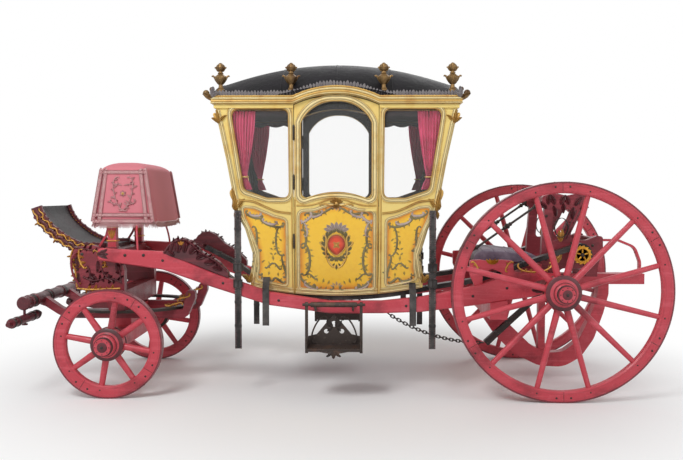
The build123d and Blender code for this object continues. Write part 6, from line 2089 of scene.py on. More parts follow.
    def _corner_volutes(self, bench: Bench) -> None:
        """Bronze scrolls and a ball that stand out from the cornice's four corners."""
        for side in Side:
            for end in End:
                x = CABIN_X + end.value * (self.half_length - 0.012)
                y = side.value * (self.half_width - 0.024)
                way = (end.value, 0, 0)
                tip = (x + end.value * 0.054, y, 2.262)
                bench.add(BRONZE, "gilt", "carriage",
                          volute((x - end.value * 0.01, y, 2.200), tip, -0.3, 0.9, way, 0.019))
                bench.add(BRONZE, "gilt", "carriage", ball(tip, 0.026, 0.9, (0, 1, 0), 14))
                bench.add(BRONZE, "gilt", "carriage",
                          ball((x + end.value * 0.012, y, 2.292), 0.018, 0.9, (0, 1, 0), 12))
                for depth in (0.030, -0.006):
                    spot = (x + end.value * 0.006, y + side.value * depth, 2.226)
                    for degrees, length, half, bend in ((48, 0.078, 0.015, -0.9), (84, 0.085, 0.015, 0.4),
                                                        (118, 0.066, 0.013, 0.8), (12, 0.060, 0.013, 0.9)):
                        leaf = blade(bent_spine((0, 0), degrees, length, bend), half, 0.010, 3)
                        bench.add(BRONZE if degrees < 60 else CRESTING, "gilt", "carriage",
                                  upright(leaf, spot, end.value, side))


@dataclass(frozen=True)
class Turn:
    """A turn about an upright axis at the origin, and then a move to a spot."""

    angle: float
    spot: tuple[float, float]

    def __call__(self, points: np.ndarray) -> np.ndarray:
        """The points after the turn and the move."""
        cosine, sine = math.cos(self.angle), math.sin(self.angle)
        turned = points.copy()
        turned[:, 0] = points[:, 0] * cosine - points[:, 1] * sine + self.spot[0]
        turned[:, 1] = points[:, 0] * sine + points[:, 1] * cosine + self.spot[1]
        return turned


@dataclass
class Curtains:
    """Gathered silk curtains in the quarter windows, tied back at half height, with a short valance."""

    inner_y: float = 0.4945
    depth: float = 0.030
    folds: int = 8
    rows: tuple[tuple[float, float, float], ...] = (
        (2.134, -0.800, -0.612), (2.02, -0.795, -0.618), (1.86, -0.775, -0.640), (1.72, -0.745, -0.664),
        (1.655, -0.716, -0.676), (1.62, -0.712, -0.672), (1.59, -0.716, -0.656), (1.545, -0.704, -0.640),
    )

    def build(self) -> None:
        """Hangs four curtains with their tie-backs and valances."""
        for side in Side:
            for end in End:
                self._curtain(side, end)
        bench = Bench("curtain_trim")
        for side in Side:
            for end in End:
                sign = -end.value
                y = side.value * (self.inner_y - 0.014)
                loop = np.array([[CABIN_X + sign * (-0.694 + 0.026 * math.cos(a)), y + 0.018 * math.sin(a),
                                  1.640]
                                 for a in np.linspace(0, FULL_TURN, 16, endpoint=False)])
                bench.add(GILT_CARVING, "velvet", "carriage", tube(loop, 0.006, 6, True))
                rod = np.array([[CABIN_X + sign * -0.335, y, 2.140], [CABIN_X + sign * -0.842, y, 2.140]])
                bench.add(BRONZE, "velvet", "carriage", tube(rod, 0.006, 8))
                wave = [(CABIN_X + sign * x, y - side.value * 0.012,
                         2.112 - 0.018 * abs(math.sin((x + 0.34) * 22)))
                        for x in np.linspace(-0.345, -0.815, 60)]
                upper = np.array([(x, yy, 2.136) for x, yy, _ in wave])
                grid = np.stack([upper, np.array(wave)], axis=0)
                back = grid + np.array([0, -side.value * 0.004, 0])
                bench.add(VALANCE_CLOTH, "velvet", "carriage", shell(grid, back, np.zeros((2, 60))))
        bench.publish()

    def _curtain(self, side: Side, end: End) -> None:
        """One curtain, narrow at its tie and spread above and below it."""
        sign = -end.value
        heights = np.array([row[0] for row in self.rows])[::-1]
        outer = np.array([row[1] for row in self.rows])[::-1]
        inner = np.array([row[2] for row in self.rows])[::-1]
        ups = np.linspace(2.134, 1.545, 56)
        shares = np.linspace(0, 1, self.folds * 10 + 1)
        left, right = np.interp(ups, heights, outer), np.interp(ups, heights, inner)
        width = (right - left)[:, None]
        phase = 0.25 * np.sin(ups * 7)[:, None]
        swing = np.sin(FULL_TURN * (self.folds * shares[None] + phase))
        depth = self.depth * (0.36 + 0.10 * np.sin(13 * shares[None] + 9 * ups[:, None]))
        ripple = 0.012 * np.cos(FULL_TURN * self.folds * shares[None])
        x = CABIN_X + sign * (left[:, None] + width * (shares[None] + ripple))
        y = side.value * (self.inner_y - self.depth * 0.5 + depth * swing)
        grid = np.stack([x, y, np.broadcast_to(ups[:, None], x.shape)], axis=2)
        tangent = unit(np.gradient(grid, axis=1))
        normal = np.cross(tangent, np.array([0, 0, 1.0]))
        # Painted shade in the folds: one flank of each fold is drawn darker, by up to three quarters.
        hollow = np.clip(-swing * side.value * 0.5 + 0.25, 0, 1) * 0.75
        name = f"curtain_{end.name.lower()}_{side.word}"
        piece = publish(name, plain_mesh(name, shell(grid, grid + normal * 0.0014, hollow), 60), CURTAIN_SILK,
                        "carriage")
        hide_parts("curtains")


# Wheels
@dataclass
class Wheel:
    """Nails, nave bands, painted lines and a linchpin cap of one pair of wheels."""

    node: str
    x: float
    z: float
    side_y: float
    radius: float
    spokes: int
    first_angle: float
    nave: float
    nose: float
    outer: float
    felloe: float
    line_samples: int = 140

    def build(self) -> None:
        """Dresses the wheels on both sides."""
        for side in Side:
            self._one(side)

    def _one(self, side: Side) -> None:
        """Dresses one wheel, whose outer face points away from the coach."""
        body = f"{self.node}_{side.word}"
        bench = Bench(f"{body}_trim")
        self.axis = np.array([0.0, float(side.value), 0.0])
        self.middle = np.array([self.x, side.value * self.side_y, self.z])
        self._nave(bench, body)
        self._rim(bench, body)
        bench.publish()

    def _at(self, angle: float, reach: float, out: float) -> np.ndarray:
        """A point of the wheel from its angle, its distance from the axle and its place along the axle."""
        flat = np.array([math.cos(angle) * reach, 0.0, math.sin(angle) * reach])
        return self.middle + flat + self.axis * out

    def _nave(self, bench: Bench, body: str) -> None:
        """Iron bands and turned beads round the nave, with a capped linchpin at its nose."""
        axis = tuple(self.axis)
        rows = [(self.nave * 0.99, 0.034), (self.nave * 1.035, 0.036), (self.nave * 1.035, 0.046),
                (self.nave * 0.9, 0.056)]
        back = [(self.nave * 0.9, -0.056), (self.nave * 1.035, -0.046), (self.nave * 1.035, -0.036),
                (self.nave * 0.99, -0.034)]
        bench.add(DARK_RED_WOOD, "red_wood", body, lathe(rows, self.middle, axis, 40))
        bench.add(IRON, "iron", body, lathe(back, self.middle, axis, 40))
        near = self.outer - 0.030
        for start, wide, reach, finish in ((near - 0.004, 0.010, 1.02, IRON),
                                           (near + 0.014, 0.006, 1.0, DARK_RED_WOOD),
                                           (0.070, 0.006, 1.24, DARK_RED_WOOD)):
            ring = [(self.nose * reach * 0.9, start), (self.nose * reach * 1.06, start + 0.002),
                    (self.nose * reach * 1.06, start + wide - 0.002), (self.nose * reach * 0.9, start + wide)]
            bench.add(finish, "iron", body, lathe(ring, self.middle, axis, 32))
        cap = [(0.001, self.outer + 0.006), (self.nose * 0.42, self.outer + 0.007),
               (self.nose * 0.56, self.outer + 0.003),
               (self.nose * 0.60, self.outer - 0.004), (self.nose * 0.60, self.outer - 0.008)]
        bench.add(DARK_RED_WOOD, "red_wood", body, lathe(cap[::-1], self.middle, axis, 24))
        bench.add(IRON, "iron", body,
                  ball(tuple(self.middle + self.axis * (self.outer + 0.008)), 0.012, 0.7, axis, 6))
        for turn in range(8):
            angle = turn * FULL_TURN / 8
            bench.add(IRON, "iron", body,
                      ball(self._at(angle, self.nose * 0.79, self.outer + 0.001), 0.0045, 0.6, axis, 6))

    def _rim(self, bench: Bench, body: str) -> None:
        """Felloe joints with straps, spoke nails, tyre nails and two painted lines on each face."""
        foot = self.radius - self.felloe - 0.012
        for turn in range(self.spokes):
            angle = math.radians(self.first_angle) + turn * FULL_TURN / self.spokes
            middle = angle + FULL_TURN / self.spokes / 2
            if turn % 2 == 0:
                for out in (0.0305, -0.0305):
                    reaches = np.linspace(foot + 0.004, self.radius - 0.014, 6)
                    joint = np.array([self._at(middle, reach, out) for reach in reaches])
                    outs = np.tile(self.axis * math.copysign(1, out), (6, 1))
                    bench.add(IRON, "iron", body, sweep(joint, outs, 0.0018, 0.0008))
                    for offset in (-0.055, 0.055):
                        spot = self._at(middle + offset / self.radius, self.radius - self.felloe / 2, out)
                        bench.add(IRON, "iron", body, ball(spot, 0.008, 0.5, tuple(outs[0]), 8))
            for step in range(4):
                spot = self._at(angle + (step + 0.5) * FULL_TURN / self.spokes / 4, self.radius - 0.001, 0)
                way = tuple(unit(spot - self.middle))
                bench.add(IRON, "iron", body, ball(spot, 0.008, 0.35, way, 6))
            spot = self._at(angle, foot + 0.022 + 0.012, 0.030)
            bench.add(IRON, "iron", body, ball(spot, 0.0065, 0.5, tuple(self.axis), 8))
        for out in (0.0302, -0.0302):
            for reach, half in ((foot + 0.016, 0.003), (self.radius - 0.024, 0.0035)):
                loop = np.array([self._at(a, reach, out) for a in np.linspace(0, FULL_TURN, self.line_samples,
                                                                              endpoint=False)])
                outs = np.tile(self.axis * math.copysign(1, out), (self.line_samples, 1))
                bench.add(RED_WOOD, "red_wood", body, sweep(loop, outs, half, 0.0016, True))


REAR_WHEELS = Wheel("rear_wheel", 1.590, 0.800, 0.75, 0.800, 12, 16, 0.125, 0.062, 0.140, 0.072)
FRONT_WHEELS = Wheel("front_wheel", -1.728, 0.405, 0.68, 0.405, 8, 35, 0.1175, 0.065, 0.150, 0.080)


# Hammercloth over the coachman's seat
@dataclass
class Hammercloth:
    """Velvet cloth draped over the box seat, with braid, a fringe and a stitched ornament on each end."""

    middle_x: float = -1.685
    hem_z: float = 1.284
    shoulder_z: float = 1.695
    hem_half: tuple[float, float] = (0.250, 0.440)
    shoulder_half: tuple[float, float] = (0.182, 0.407)
    crest: tuple[tuple[float, float, float], ...] = (
        (1.712, 0.174, 0.398), (1.730, 0.150, 0.375), (1.745, 0.118, 0.335), (1.755, 0.080, 0.285),
        (1.760, 0.02, 0.20),
    )
    thick: float = 0.006
    columns: int = 240

    def build(self) -> None:
        """Makes the cloth, its braid, its fringe and its embroidery."""
        rows = self._rows()
        grid = np.array([self._loop(z, half_x, half_y, wave) for z, half_x, half_y, wave in rows])
        cloth = self._cloth(grid)
        trim = Bench("hammercloth_trim")
        self._braid(trim)
        self._embroidery(trim)
        trim.publish()
        self._fringe()
        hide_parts("hammercloth")

    def _rows(self) -> list[tuple[float, float, float, float]]:
        """Height, half length, half width and wave depth of each level of the cloth, from the crest down."""
        rows = [(z, x, y, 0.0) for z, x, y in reversed(self.crest)]
        for share in np.linspace(0, 1, 30):
            z = self.shoulder_z + (self.hem_z - self.shoulder_z) * share
            half_x = self.shoulder_half[0] + (self.hem_half[0] - self.shoulder_half[0]) * share
            half_y = self.shoulder_half[1] + (self.hem_half[1] - self.shoulder_half[1]) * share
            rows.append((z, half_x - 0.002, half_y - 0.002, 0.010 * share ** 1.5))
        return rows

    def _loop(self, z: float, half_x: float, half_y: float, wave: float) -> np.ndarray:
        """One level of the cloth: a rounded box with soft folds toward the hem."""
        angles = np.linspace(0, FULL_TURN, self.columns, endpoint=False)
        power = 0.18
        x = np.sign(np.cos(angles)) * np.abs(np.cos(angles)) ** power
        y = np.sign(np.sin(angles)) * np.abs(np.sin(angles)) ** power
        fold = 0.55 * np.sin(angles * 23 + 0.7) + 0.45 * np.sin(angles * 11 + 2.0)
        reach = 1 - wave * (1 - fold) * 1.4
        hang = -0.006 * np.sin(angles * 11 + 1) * (wave / 0.010)
        return np.column_stack([self.middle_x + half_x * x * reach, half_y * y * reach, z + hang])

    def _cloth(self, grid: np.ndarray) -> bpy.types.Object:
        """Closes the draped grid into a thin cloth, with the crest's opening filled."""
        count, wide = grid.shape[:2]
        centre = np.array([self.middle_x, 0.0, 0.0])
        inner = grid.copy()
        inner[:, :, 0] = self.middle_x + (grid[:, :, 0] - self.middle_x) * (1 - self.thick / 0.20)
        inner[:, :, 1] = grid[:, :, 1] * (1 - self.thick / 0.40)
        lift = np.linspace(1, 0, count)[:, None] ** 2
        inner[:, :, 2] = grid[:, :, 2] - self.thick * lift
        points = np.concatenate([grid.reshape(-1, 3), inner.reshape(-1, 3),
                                 [grid[0].mean(0) + (0, 0, 0.001)], [inner[0].mean(0)]])
        faces = []
        low = count * wide
        for row in range(count - 1):
            for column in range(wide):
                right = (column + 1) % wide
                a, b = row * wide + column, row * wide + right
                c, d = (row + 1) * wide + right, (row + 1) * wide + column
                faces.append((a, d, c, b))
                faces.append((low + a, low + b, low + c, low + d))
        last = (count - 1) * wide
        for column in range(wide):
            right = (column + 1) % wide
            faces.append((last + column, low + last + column, low + last + right, last + right))
            faces.append((2 * low, column, right))
            faces.append((2 * low + 1, low + right, low + column))
        # Painted shade: every face but the two end faces is drawn darker, up to 0.85, as if only the ends caught the
        # light.
        share = np.clip((self.shoulder_z - points[:, 2]) / (self.shoulder_z - self.hem_z), 0, 1)
        half_y = self.shoulder_half[1] + (self.hem_half[1] - self.shoulder_half[1]) * share
        shade = np.clip((half_y * 0.965 - np.abs(points[:, 1])) / 0.012, 0, 0.85)
        shape = (points, faces, shade)
        name = "hammercloth_draped"
        return publish(name, plain_mesh(name, shape, 60), CLOTH_VELVET, "carriage")

    def _face(self, side: Side, along: float, up: float, out: float = 0.0) -> np.ndarray:
        """A point on the cloth's end face.

        Args:
            side: which end of the seat the face is at.
            along: the place across the face, from -1 to 1.
            up: the height.
            out: how far in front of the face it lies.
        """
        share = (self.shoulder_z - up) / (self.shoulder_z - self.hem_z)
        half_x = self.shoulder_half[0] + (self.hem_half[0] - self.shoulder_half[0]) * share
        half_y = self.shoulder_half[1] + (self.hem_half[1] - self.shoulder_half[1]) * share
        return np.array([self.middle_x + along * half_x, side.value * (half_y + out), up])

    def _braid(self, trim: Bench) -> None:
        """Bands of metal-thread braid on the two end faces, two wide ones on each edge and at the hem."""
        for side in Side:
            for along in (-0.93, -0.73, 0.73, 0.93):
                line = [self._face(side, along, up, -0.001) for up in np.linspace(1.300, 1.692, 20)]
                line += [self._face(side, along * 0.97, 1.706, -0.010)]
                self._band(trim, side, np.array(line), 0.013)
            for up in (1.305, 1.352, 1.680):
                line = [self._face(side, along, up, 0.000) for along in np.linspace(-0.94, 0.94, 24)]
                self._band(trim, side, np.array(line), 0.012)

    def _band(self, trim: Bench, side: Side, line: np.ndarray, half: float) -> None:
        """One band of braid with a raised edge on either side."""
        outs = np.tile([0.0, side.value * 1.0, 0.1], (len(line), 1))
        trim.add(SILVER_BRAID, "velvet", "carriage", sweep(line, outs, half, 0.0045, profile=STRAP_PROFILE,
                                                           shade=STRAP_SHADE))
        ahead = unit(np.gradient(line, axis=0))
        across = unit(np.cross(ahead, outs))
        for way in (-1, 1):
            trim.add(SILVER_BRAID, "velvet", "carriage",
                     sweep(line + across * half * way, outs, 0.002, 0.007))

    def _embroidery(self, trim: Bench) -> None:
        """A round stitched ornament of scrolls, leaves and a flower on each end face."""
        for side in Side:
            origin = self._face(side, 0.0, 1.515, 0.002)
            slope = unit(self._face(side, 0, 1.60) - self._face(side, 0, 1.45))
            along = (1.0, 0.0, 0.0)
            pieces = []
            for way in (-1, 1):
                stem = scroll((-0.030 * way, -0.120), (0.034 * way, 0.120), 0.55 * way, 0.55 * way, 40)
                pieces += carved_band(stem, 0.040, 0.0042, 0.0045, 0.7)
                for start, end, first, last in (((0.014, -0.070), (0.092, -0.050), 0.5, 0.9),
                                                ((0.014, 0.060), (0.080, 0.085), -0.5, 0.9)):
                    line = scroll((start[0] * way, start[1]), (end[0] * way, end[1]), first * way, last * way,
                                  30)
                    pieces += carved_band(line, 0.026, 0.0036, 0.0042, 0.8)
            for turn in range(6):
                pieces.append(blade(bent_spine((0.0, 0.0), turn * 60.0 + 30, 0.026, 0.0), 0.008, 0.006, 2))
            for shape in pieces:
                laid = shape if side is Side.LEFT else mirrored(shape, 2)
                trim.add(SILVER_BRAID, "velvet", "carriage", in_plane(laid, origin, along, slope))
            trim.add(GILT_CARVING, "velvet", "carriage",
                     ball(origin + (0, side.value * 0.004, 0), 0.010, 0.5, (0, 1, 0), 10))

    def _fringe(self) -> None:
        """A cord and hanging threads along the hem, by the row tool."""
        loop = self._loop(self.hem_z + 0.004, self.hem_half[0] - 0.001, self.hem_half[1] - 0.001, 0.010)
        outs = unit((loop - (self.middle_x, 0, self.hem_z)) * (1, 1, 0))
        thread = lathe([(0.0010, 0.004), (0.0030, 0.0), (0.0034, -0.012), (0.0022, -0.030), (0.0008, -0.034)],
                       (0, 0, 0), (0, 1, 0), 6)
        Row("hammercloth_fringe", [(loop, outs, True)], thread, 0.0075, SILVER_BRAID, "velvet", "carriage",
            size_spread=0.12, seed=8).build()
        bench = Bench("hammercloth_hem")
        bench.add(SILVER_BRAID, "velvet", "carriage", tube(loop + (0, 0, 0.004), 0.006, 7, True))
        bench.publish()


# Straps, steps and the two carriages
def carved_band(line: np.ndarray, leaf: float, half: float, height: float, gap: float = 0.5) -> list[Shape]:
    """A flat carved rib with leaves on both sides of it.

    Args:
        line: the rib's flat points.
        leaf: the longest leaf's length.
        half: half the rib's width.
        height: how far it stands proud.
        gap: the distance between two leaves, as a share of their length.

    Returns:
        Flat shapes, with along, up and out as their coordinates.
    """
    flat = np.column_stack([line, np.zeros(len(line))])
    made = [sweep(flat, np.tile([0.0, 0.0, 1.0], (len(line), 1)), half, height)]
    return made + leaves_along(line, leaf, height * 1.3, gap)


def side_relief(bench: Bench, finish: Finish, slot: str, body: str, y: float,
                shapes: Iterable[Shape]) -> None:
    """Lays flat shapes, drawn in the coach's own X and Z, on both sides at a distance from the middle."""
    for shape in shapes:
        for side in Side:
            laid = shape if side is Side.LEFT else mirrored(shape, 2)
            bench.add(finish, slot, body, in_plane(laid, (0, side.value * y, 0), (1, 0, 0), (0, 0, 1)))


@dataclass
class Straps:
    """Stitching, buckles and plies of the leather straps and braces."""

    check_x: tuple[float, ...] = (-0.785, 0.676)
    outer_y: float = 0.548
    width: float = 0.050
    top_z: float = 1.388
    bottom_z: float = 0.345
    brace_y: float = 0.424
    brace_line: tuple[tuple[float, float], ...] = (
        (-1.190, 1.043), (-0.960, 0.925), (-0.775, 0.797), (-0.703, 0.782), (-0.40, 0.742), (-0.045, 0.715),
        (0.30, 0.742), (0.613, 0.782), (0.690, 0.798), (1.024, 0.850), (1.30, 0.945), (1.60, 1.048),
        (1.76, 1.098),
    )

    def build(self) -> None:
        """Dresses the check straps and the main braces."""
        bench = Bench("straps")
        stitch = block((-0.0008, -0.0042, 0), (0.0008, 0.0042, 0.0018), 0.0003)
        lines = []
        for side in Side:
            for x in self.check_x:
                self._check(bench, side, x)
                for way in (-1, 1):
                    ups = np.linspace(self.bottom_z + 0.01, self.top_z - 0.01, 80)
                    line = np.column_stack([np.full(80, x + way * (self.width / 2 - 0.006)),
                                            np.full(80, side.value * self.outer_y), ups])
                    lines.append((line, np.tile([0.0, float(side.value), 0.0], (80, 1)), False))
            self._brace(bench, side)
        bench.publish()
        Row("strap_stitches", lines, stitch, 0.013, SILVER_BRAID, "strap_leather", "carriage", seed=5).build()

    def _check(self, bench: Bench, side: Side, x: float) -> None:
        """Buckles, keepers and holes of one upright strap."""
        y = side.value * self.outer_y
        out = np.array([0, side.value, 0.0])
        half = self.width / 2
        for z in (0.900, 1.020, 1.110, 1.250, 0.700, 0.520):
            keeper = np.array([(x - half - 0.002, y, z), (x + half + 0.002, y, z)])
            bench.add(STRAP_LEATHER, "strap_leather", "carriage",
                      sweep(keeper, np.tile(out, (2, 1)), 0.009, 0.006, profile=STRAP_PROFILE,
                            shade=STRAP_SHADE))
        for z in (0.960, 0.840):
            loop = np.array([(x + half * 1.25 * math.cos(a), y + side.value * 0.011, z + 0.030 * math.sin(a))
                             for a in np.linspace(0, FULL_TURN, 24, endpoint=False)])
            loop[:, 0] = x + np.clip((loop[:, 0] - x) * 1.3, -half * 1.22, half * 1.22)
            loop[:, 2] = z + np.clip((loop[:, 2] - z) * 1.3, -0.030, 0.030)
            bench.add(IRON, "iron", "carriage", tube(loop, 0.0042, 8, True))
            tongue = np.array([(x, y + side.value * 0.012, z - 0.032),
                               (x, y + side.value * 0.014, z + 0.034)])
            bench.add(IRON, "iron", "carriage", tube(tongue, 0.0032, 7))
        # Each strap hole is a low boss whose dark top is painted shade standing in for the hole's depth.
        for step in range(9):
            z = 0.470 + step * 0.042 if step < 5 else 1.060 + (step - 5) * 0.045
            bench.add(STRAP_LEATHER, "strap_leather", "carriage",
                      lathe([(0.0045, -0.001), (0.0045, 0.0012), (0.002, 0.0016)], (x, y, z), tuple(out), 8,
                            [0.4, 0.2, 1.0]))
        for z in (self.top_z - 0.020, self.top_z - 0.050):
            bench.add(IRON, "iron", "carriage", ball((x, y, z), 0.009, 0.6, tuple(out), 10))

    def _brace(self, bench: Bench, side: Side) -> None:
        """The plies and binding keepers of one main brace, seen on its outer and inner faces."""
        line = smooth_path([(x, 0.0, z) for x, z in self.brace_line], 0.02)
        ahead = unit(np.gradient(line, axis=0))
        across = np.cross(ahead, np.array([0.0, 1.0, 0.0]))
        for face, way in ((self.brace_y, 1), (0.346, -1)):
            outs = np.tile([0.0, side.value * way, 0.0], (len(line), 1))
            base = line + np.array([0, side.value * face, 0])
            for drop in (-0.011, 0.0, 0.011):
                bench.add(STRAP_LEATHER, "strap_leather", "carriage",
                          sweep(base + across * drop, outs, 0.0042, 0.0022))
        width = self.brace_y - 0.346
        for share in np.linspace(0.04, 0.95, 13):
            place = int(share * (len(line) - 1))
            middle = line[place] + np.array([0, side.value * (0.346 + width / 2), 0])
            loop = []
            for a in np.linspace(0, FULL_TURN, 28, endpoint=False):
                flat = np.clip(1.3 * math.cos(a), -1, 1) * (width / 2 + 0.003)
                tall = np.clip(1.3 * math.sin(a), -1, 1) * 0.0215
                loop.append(middle + np.array([0, flat, 0]) + across[place] * tall)
            bench.add(STRAP_LEATHER, "strap_leather", "carriage", tube(np.array(loop), 0.0038, 6, True))


@dataclass
class Steps:
    """Leaf crest, scrolls, rivets and edge ribs of the folding steps."""

    x: float = -0.060
    tray_z: float = 0.392
    outer_y: float = 0.795

    def build(self) -> None:
        """Dresses the steps on both sides."""
        for side in Side:
            body = f"step_{side.word}"
            bench = Bench(f"{body}_trim")
            face = (self.x, side.value * 0.6145, 0.0)
            for way in (-1, 1):
                rows = [(70, 0.075, 0.014, 0.5 * way), (25, 0.070, 0.012, 0.8), (-20, 0.050, 0.011, -0.6)]
                for degrees, length, half, bend in rows:
                    leaf = blade(bent_spine((0.012, 0.520), degrees, length, bend), half, 0.005, 3)
                    bench.add(STEP_IRON, "iron", body, upright(leaf, face, way, side))
                curl = scroll((0.140, 0.410), (0.060, 0.585), 0.6, 0.7)
                flat = np.column_stack([curl, np.zeros(len(curl))])
                rib = sweep(flat, np.tile([0.0, 0.0, 1.0], (len(curl), 1)), 0.006, 0.005)
                bench.add(STEP_IRON, "iron", body, upright(rib, face, way, side))
            for x in np.linspace(self.x - 0.185, self.x + 0.185, 12):
                for y in (0.625, 0.775):
                    bench.add(STEP_IRON, "iron", body,
                              ball((x, side.value * y, self.tray_z), 0.006, 0.5, (0, 0, 1), 8))
            for z in (0.3785, 0.3865):
                edge = np.array([(self.x - 0.195, side.value * self.outer_y, z),
                                 (self.x + 0.195, side.value * self.outer_y, z)])
                bench.add(STEP_IRON, "iron", body,
                          sweep(edge, np.tile([0.0, float(side.value), 0.0], (2, 1)), 0.003, 0.003))
            drop = [((0, 0.372), -90, 0.050, 0.016, 0.0), ((-0.012, 0.372), -125, 0.055, 0.012, -0.5),
                    ((0.012, 0.372), -55, 0.055, 0.012, 0.5)]
            for root, degrees, length, half, bend in drop:
                leaf = blade(bent_spine(root, degrees, length, bend), half, 0.006, 3)
                bench.add(STEP_IRON, "iron", body,
                          upright(leaf, (self.x, side.value * self.outer_y, 0), 1, side))
            bench.publish()


@dataclass
class FrontCarving:
    """Carving, gilding and ironwork of the front of the coach."""

    perch_face: float = 0.540
    cheek_face: float = 0.470
    bracket_face: float = 0.540

    def build(self) -> None:
        """Dresses the brackets, the transom, the footboard, the seat frame and the fore-carriage."""
        bench = Bench("front")
        self._brackets(bench)
        self._cheeks(bench)
        self._footboard(bench)
        self._seat(bench)
        self._fore(bench)
        self._perches(bench)
        bench.publish()

    def _brackets(self, bench: Bench) -> None:
        """Leaves heaped over the brackets that hold the ends of the main braces."""
        ridge = smooth_path([(-1.345, 1.065), (-1.285, 1.140), (-1.200, 1.170), (-1.135, 1.138),
                             (-1.070, 1.076),
                             (-0.960, 1.010), (-0.872, 0.935)], 0.008)
        body = [(-1.300, 1.060, 60, 0.110, 0.030, 0.5), (-1.240, 1.070, 78, 0.110, 0.028, 0.4),
                (-1.190, 1.070, 92, 0.105, 0.026, -0.4), (-1.150, 1.060, 60, 0.090, 0.026, -0.8),
                (-1.100, 1.020, 40, 0.085, 0.024, -0.7), (-1.040, 0.990, 20, 0.085, 0.022, -0.7),
                (-0.980, 0.955, 4, 0.080, 0.020, -0.6), (-1.270, 1.040, 120, 0.075, 0.022, 0.5)]
        leaves = [blade(bent_spine((x, z), degrees, length, bend), half, 0.020, 4)
                  for x, z, degrees, length, half, bend in body]
        side_relief(bench, DARK_RED_WOOD, "red_wood", "carriage", self.bracket_face, leaves)
        side_relief(bench, DARK_RED_WOOD, "red_wood", "carriage", self.bracket_face,
                    carved_band(ridge, 0.040, 0.009, 0.012, 0.45))
        side_relief(bench, GILT_TOUCH, "gilt", "carriage", self.bracket_face + 0.012,
                    [blade(bent_spine((-1.215, 1.128), degrees, 0.034, 0.3), 0.008, 0.006,
                           2) for degrees in (40, 80, 125)])
        for side in Side:
            for share, size in ((0.08, 0.022), (0.24, 0.026), (0.42, 0.026), (0.58, 0.022), (0.74, 0.018)):
                place = ridge[int(share * (len(ridge) - 1))]
                spot = (place[0], side.value * 0.505, place[1] - 0.004)
                bench.add(DARK_RED_WOOD, "red_wood", "carriage", ball(spot, size, 0.75, (0, 1, 0), 12))

    def _cheeks(self, bench: Bench) -> None:
        """Scrolls and leaves, partly gilt, on the carved cheeks of the front transom."""
        big = [
            ((-1.990, 1.085), (-1.960, 0.955), 0.7, 0.7), ((-1.960, 0.955), (-1.905, 0.830), -0.6, 0.8),
            ((-1.900, 1.070), (-1.830, 0.960), -0.7, -0.7), ((-1.825, 0.960), (-1.745, 0.860), 0.7, 0.7),
        ]
        for index, (start, end, first, last) in enumerate(big):
            line = scroll(start, end, first, last, 30)
            finish = GILT_TOUCH if index % 2 == 0 else DARK_RED_WOOD
            side_relief(bench, finish, "gilt", "carriage", self.cheek_face,
                        carved_band(line, 0.050, 0.008, 0.010, 0.5))
        borders = (
            ([(-2.056, 1.098), (-2.078, 1.019), (-2.046, 0.926), (-2.030, 0.800)], GILT_TOUCH),
            ([(-2.030, 0.792), (-1.930, 0.782), (-1.700, 0.790)], GILT_TOUCH),
            ([(-2.050, 1.104), (-1.960, 1.092), (-1.860, 1.078)], DARK_RED_WOOD),
            ([(-1.985, 0.880), (-1.900, 0.850), (-1.800, 0.870), (-1.690, 0.840)], DARK_RED_WOOD),
            ([(-1.690, 0.830), (-1.700, 0.920), (-1.685, 1.000)], DARK_RED_WOOD),
        )
        for spots, finish in borders:
            line = smooth_path(spots, 0.010)
            side_relief(bench, finish, "gilt", "carriage", self.cheek_face,
                        carved_band(line, 0.046, 0.007, 0.010, 0.5))
        drops = [blade(bent_spine((x, z), degrees, length, bend), half, 0.012, 4) for x, z, degrees, length,
                 half, bend in (
            (-2.030, 1.030, -95, 0.110, 0.020, 0.3), (-2.020, 0.910, -100, 0.100, 0.018, 0.4),
            (-1.930, 0.905, -60, 0.090, 0.018, 0.6), (-1.870, 1.000, -80, 0.090, 0.018, -0.5),
            (-1.790, 0.900, -70, 0.080, 0.016, 0.5), (-1.720, 1.000, -95, 0.100, 0.018, 0.2))]
        side_relief(bench, DARK_RED_WOOD, "red_wood", "carriage", self.cheek_face, drops)
        for side in Side:
            loop = smooth_path([(-2.025, side.value * 0.492, 1.071), (-2.062, side.value * 0.500, 1.010),
                                (-2.050, side.value * 0.500, 0.900), (-2.000, side.value * 0.492, 0.806)],
                                0.01)
            bench.add(SHADED_RED_WOOD, "red_wood", "carriage", tube(loop, 0.009, 9))
            for x in (-1.965, -1.640, -1.500):
                spot = (x, side.value * self.perch_face, 1.050 if x > -1.7 else 1.058)
                bench.add(IRON, "iron", "carriage", ball(spot, 0.013, 0.5, (0, side.value, 0), 8))

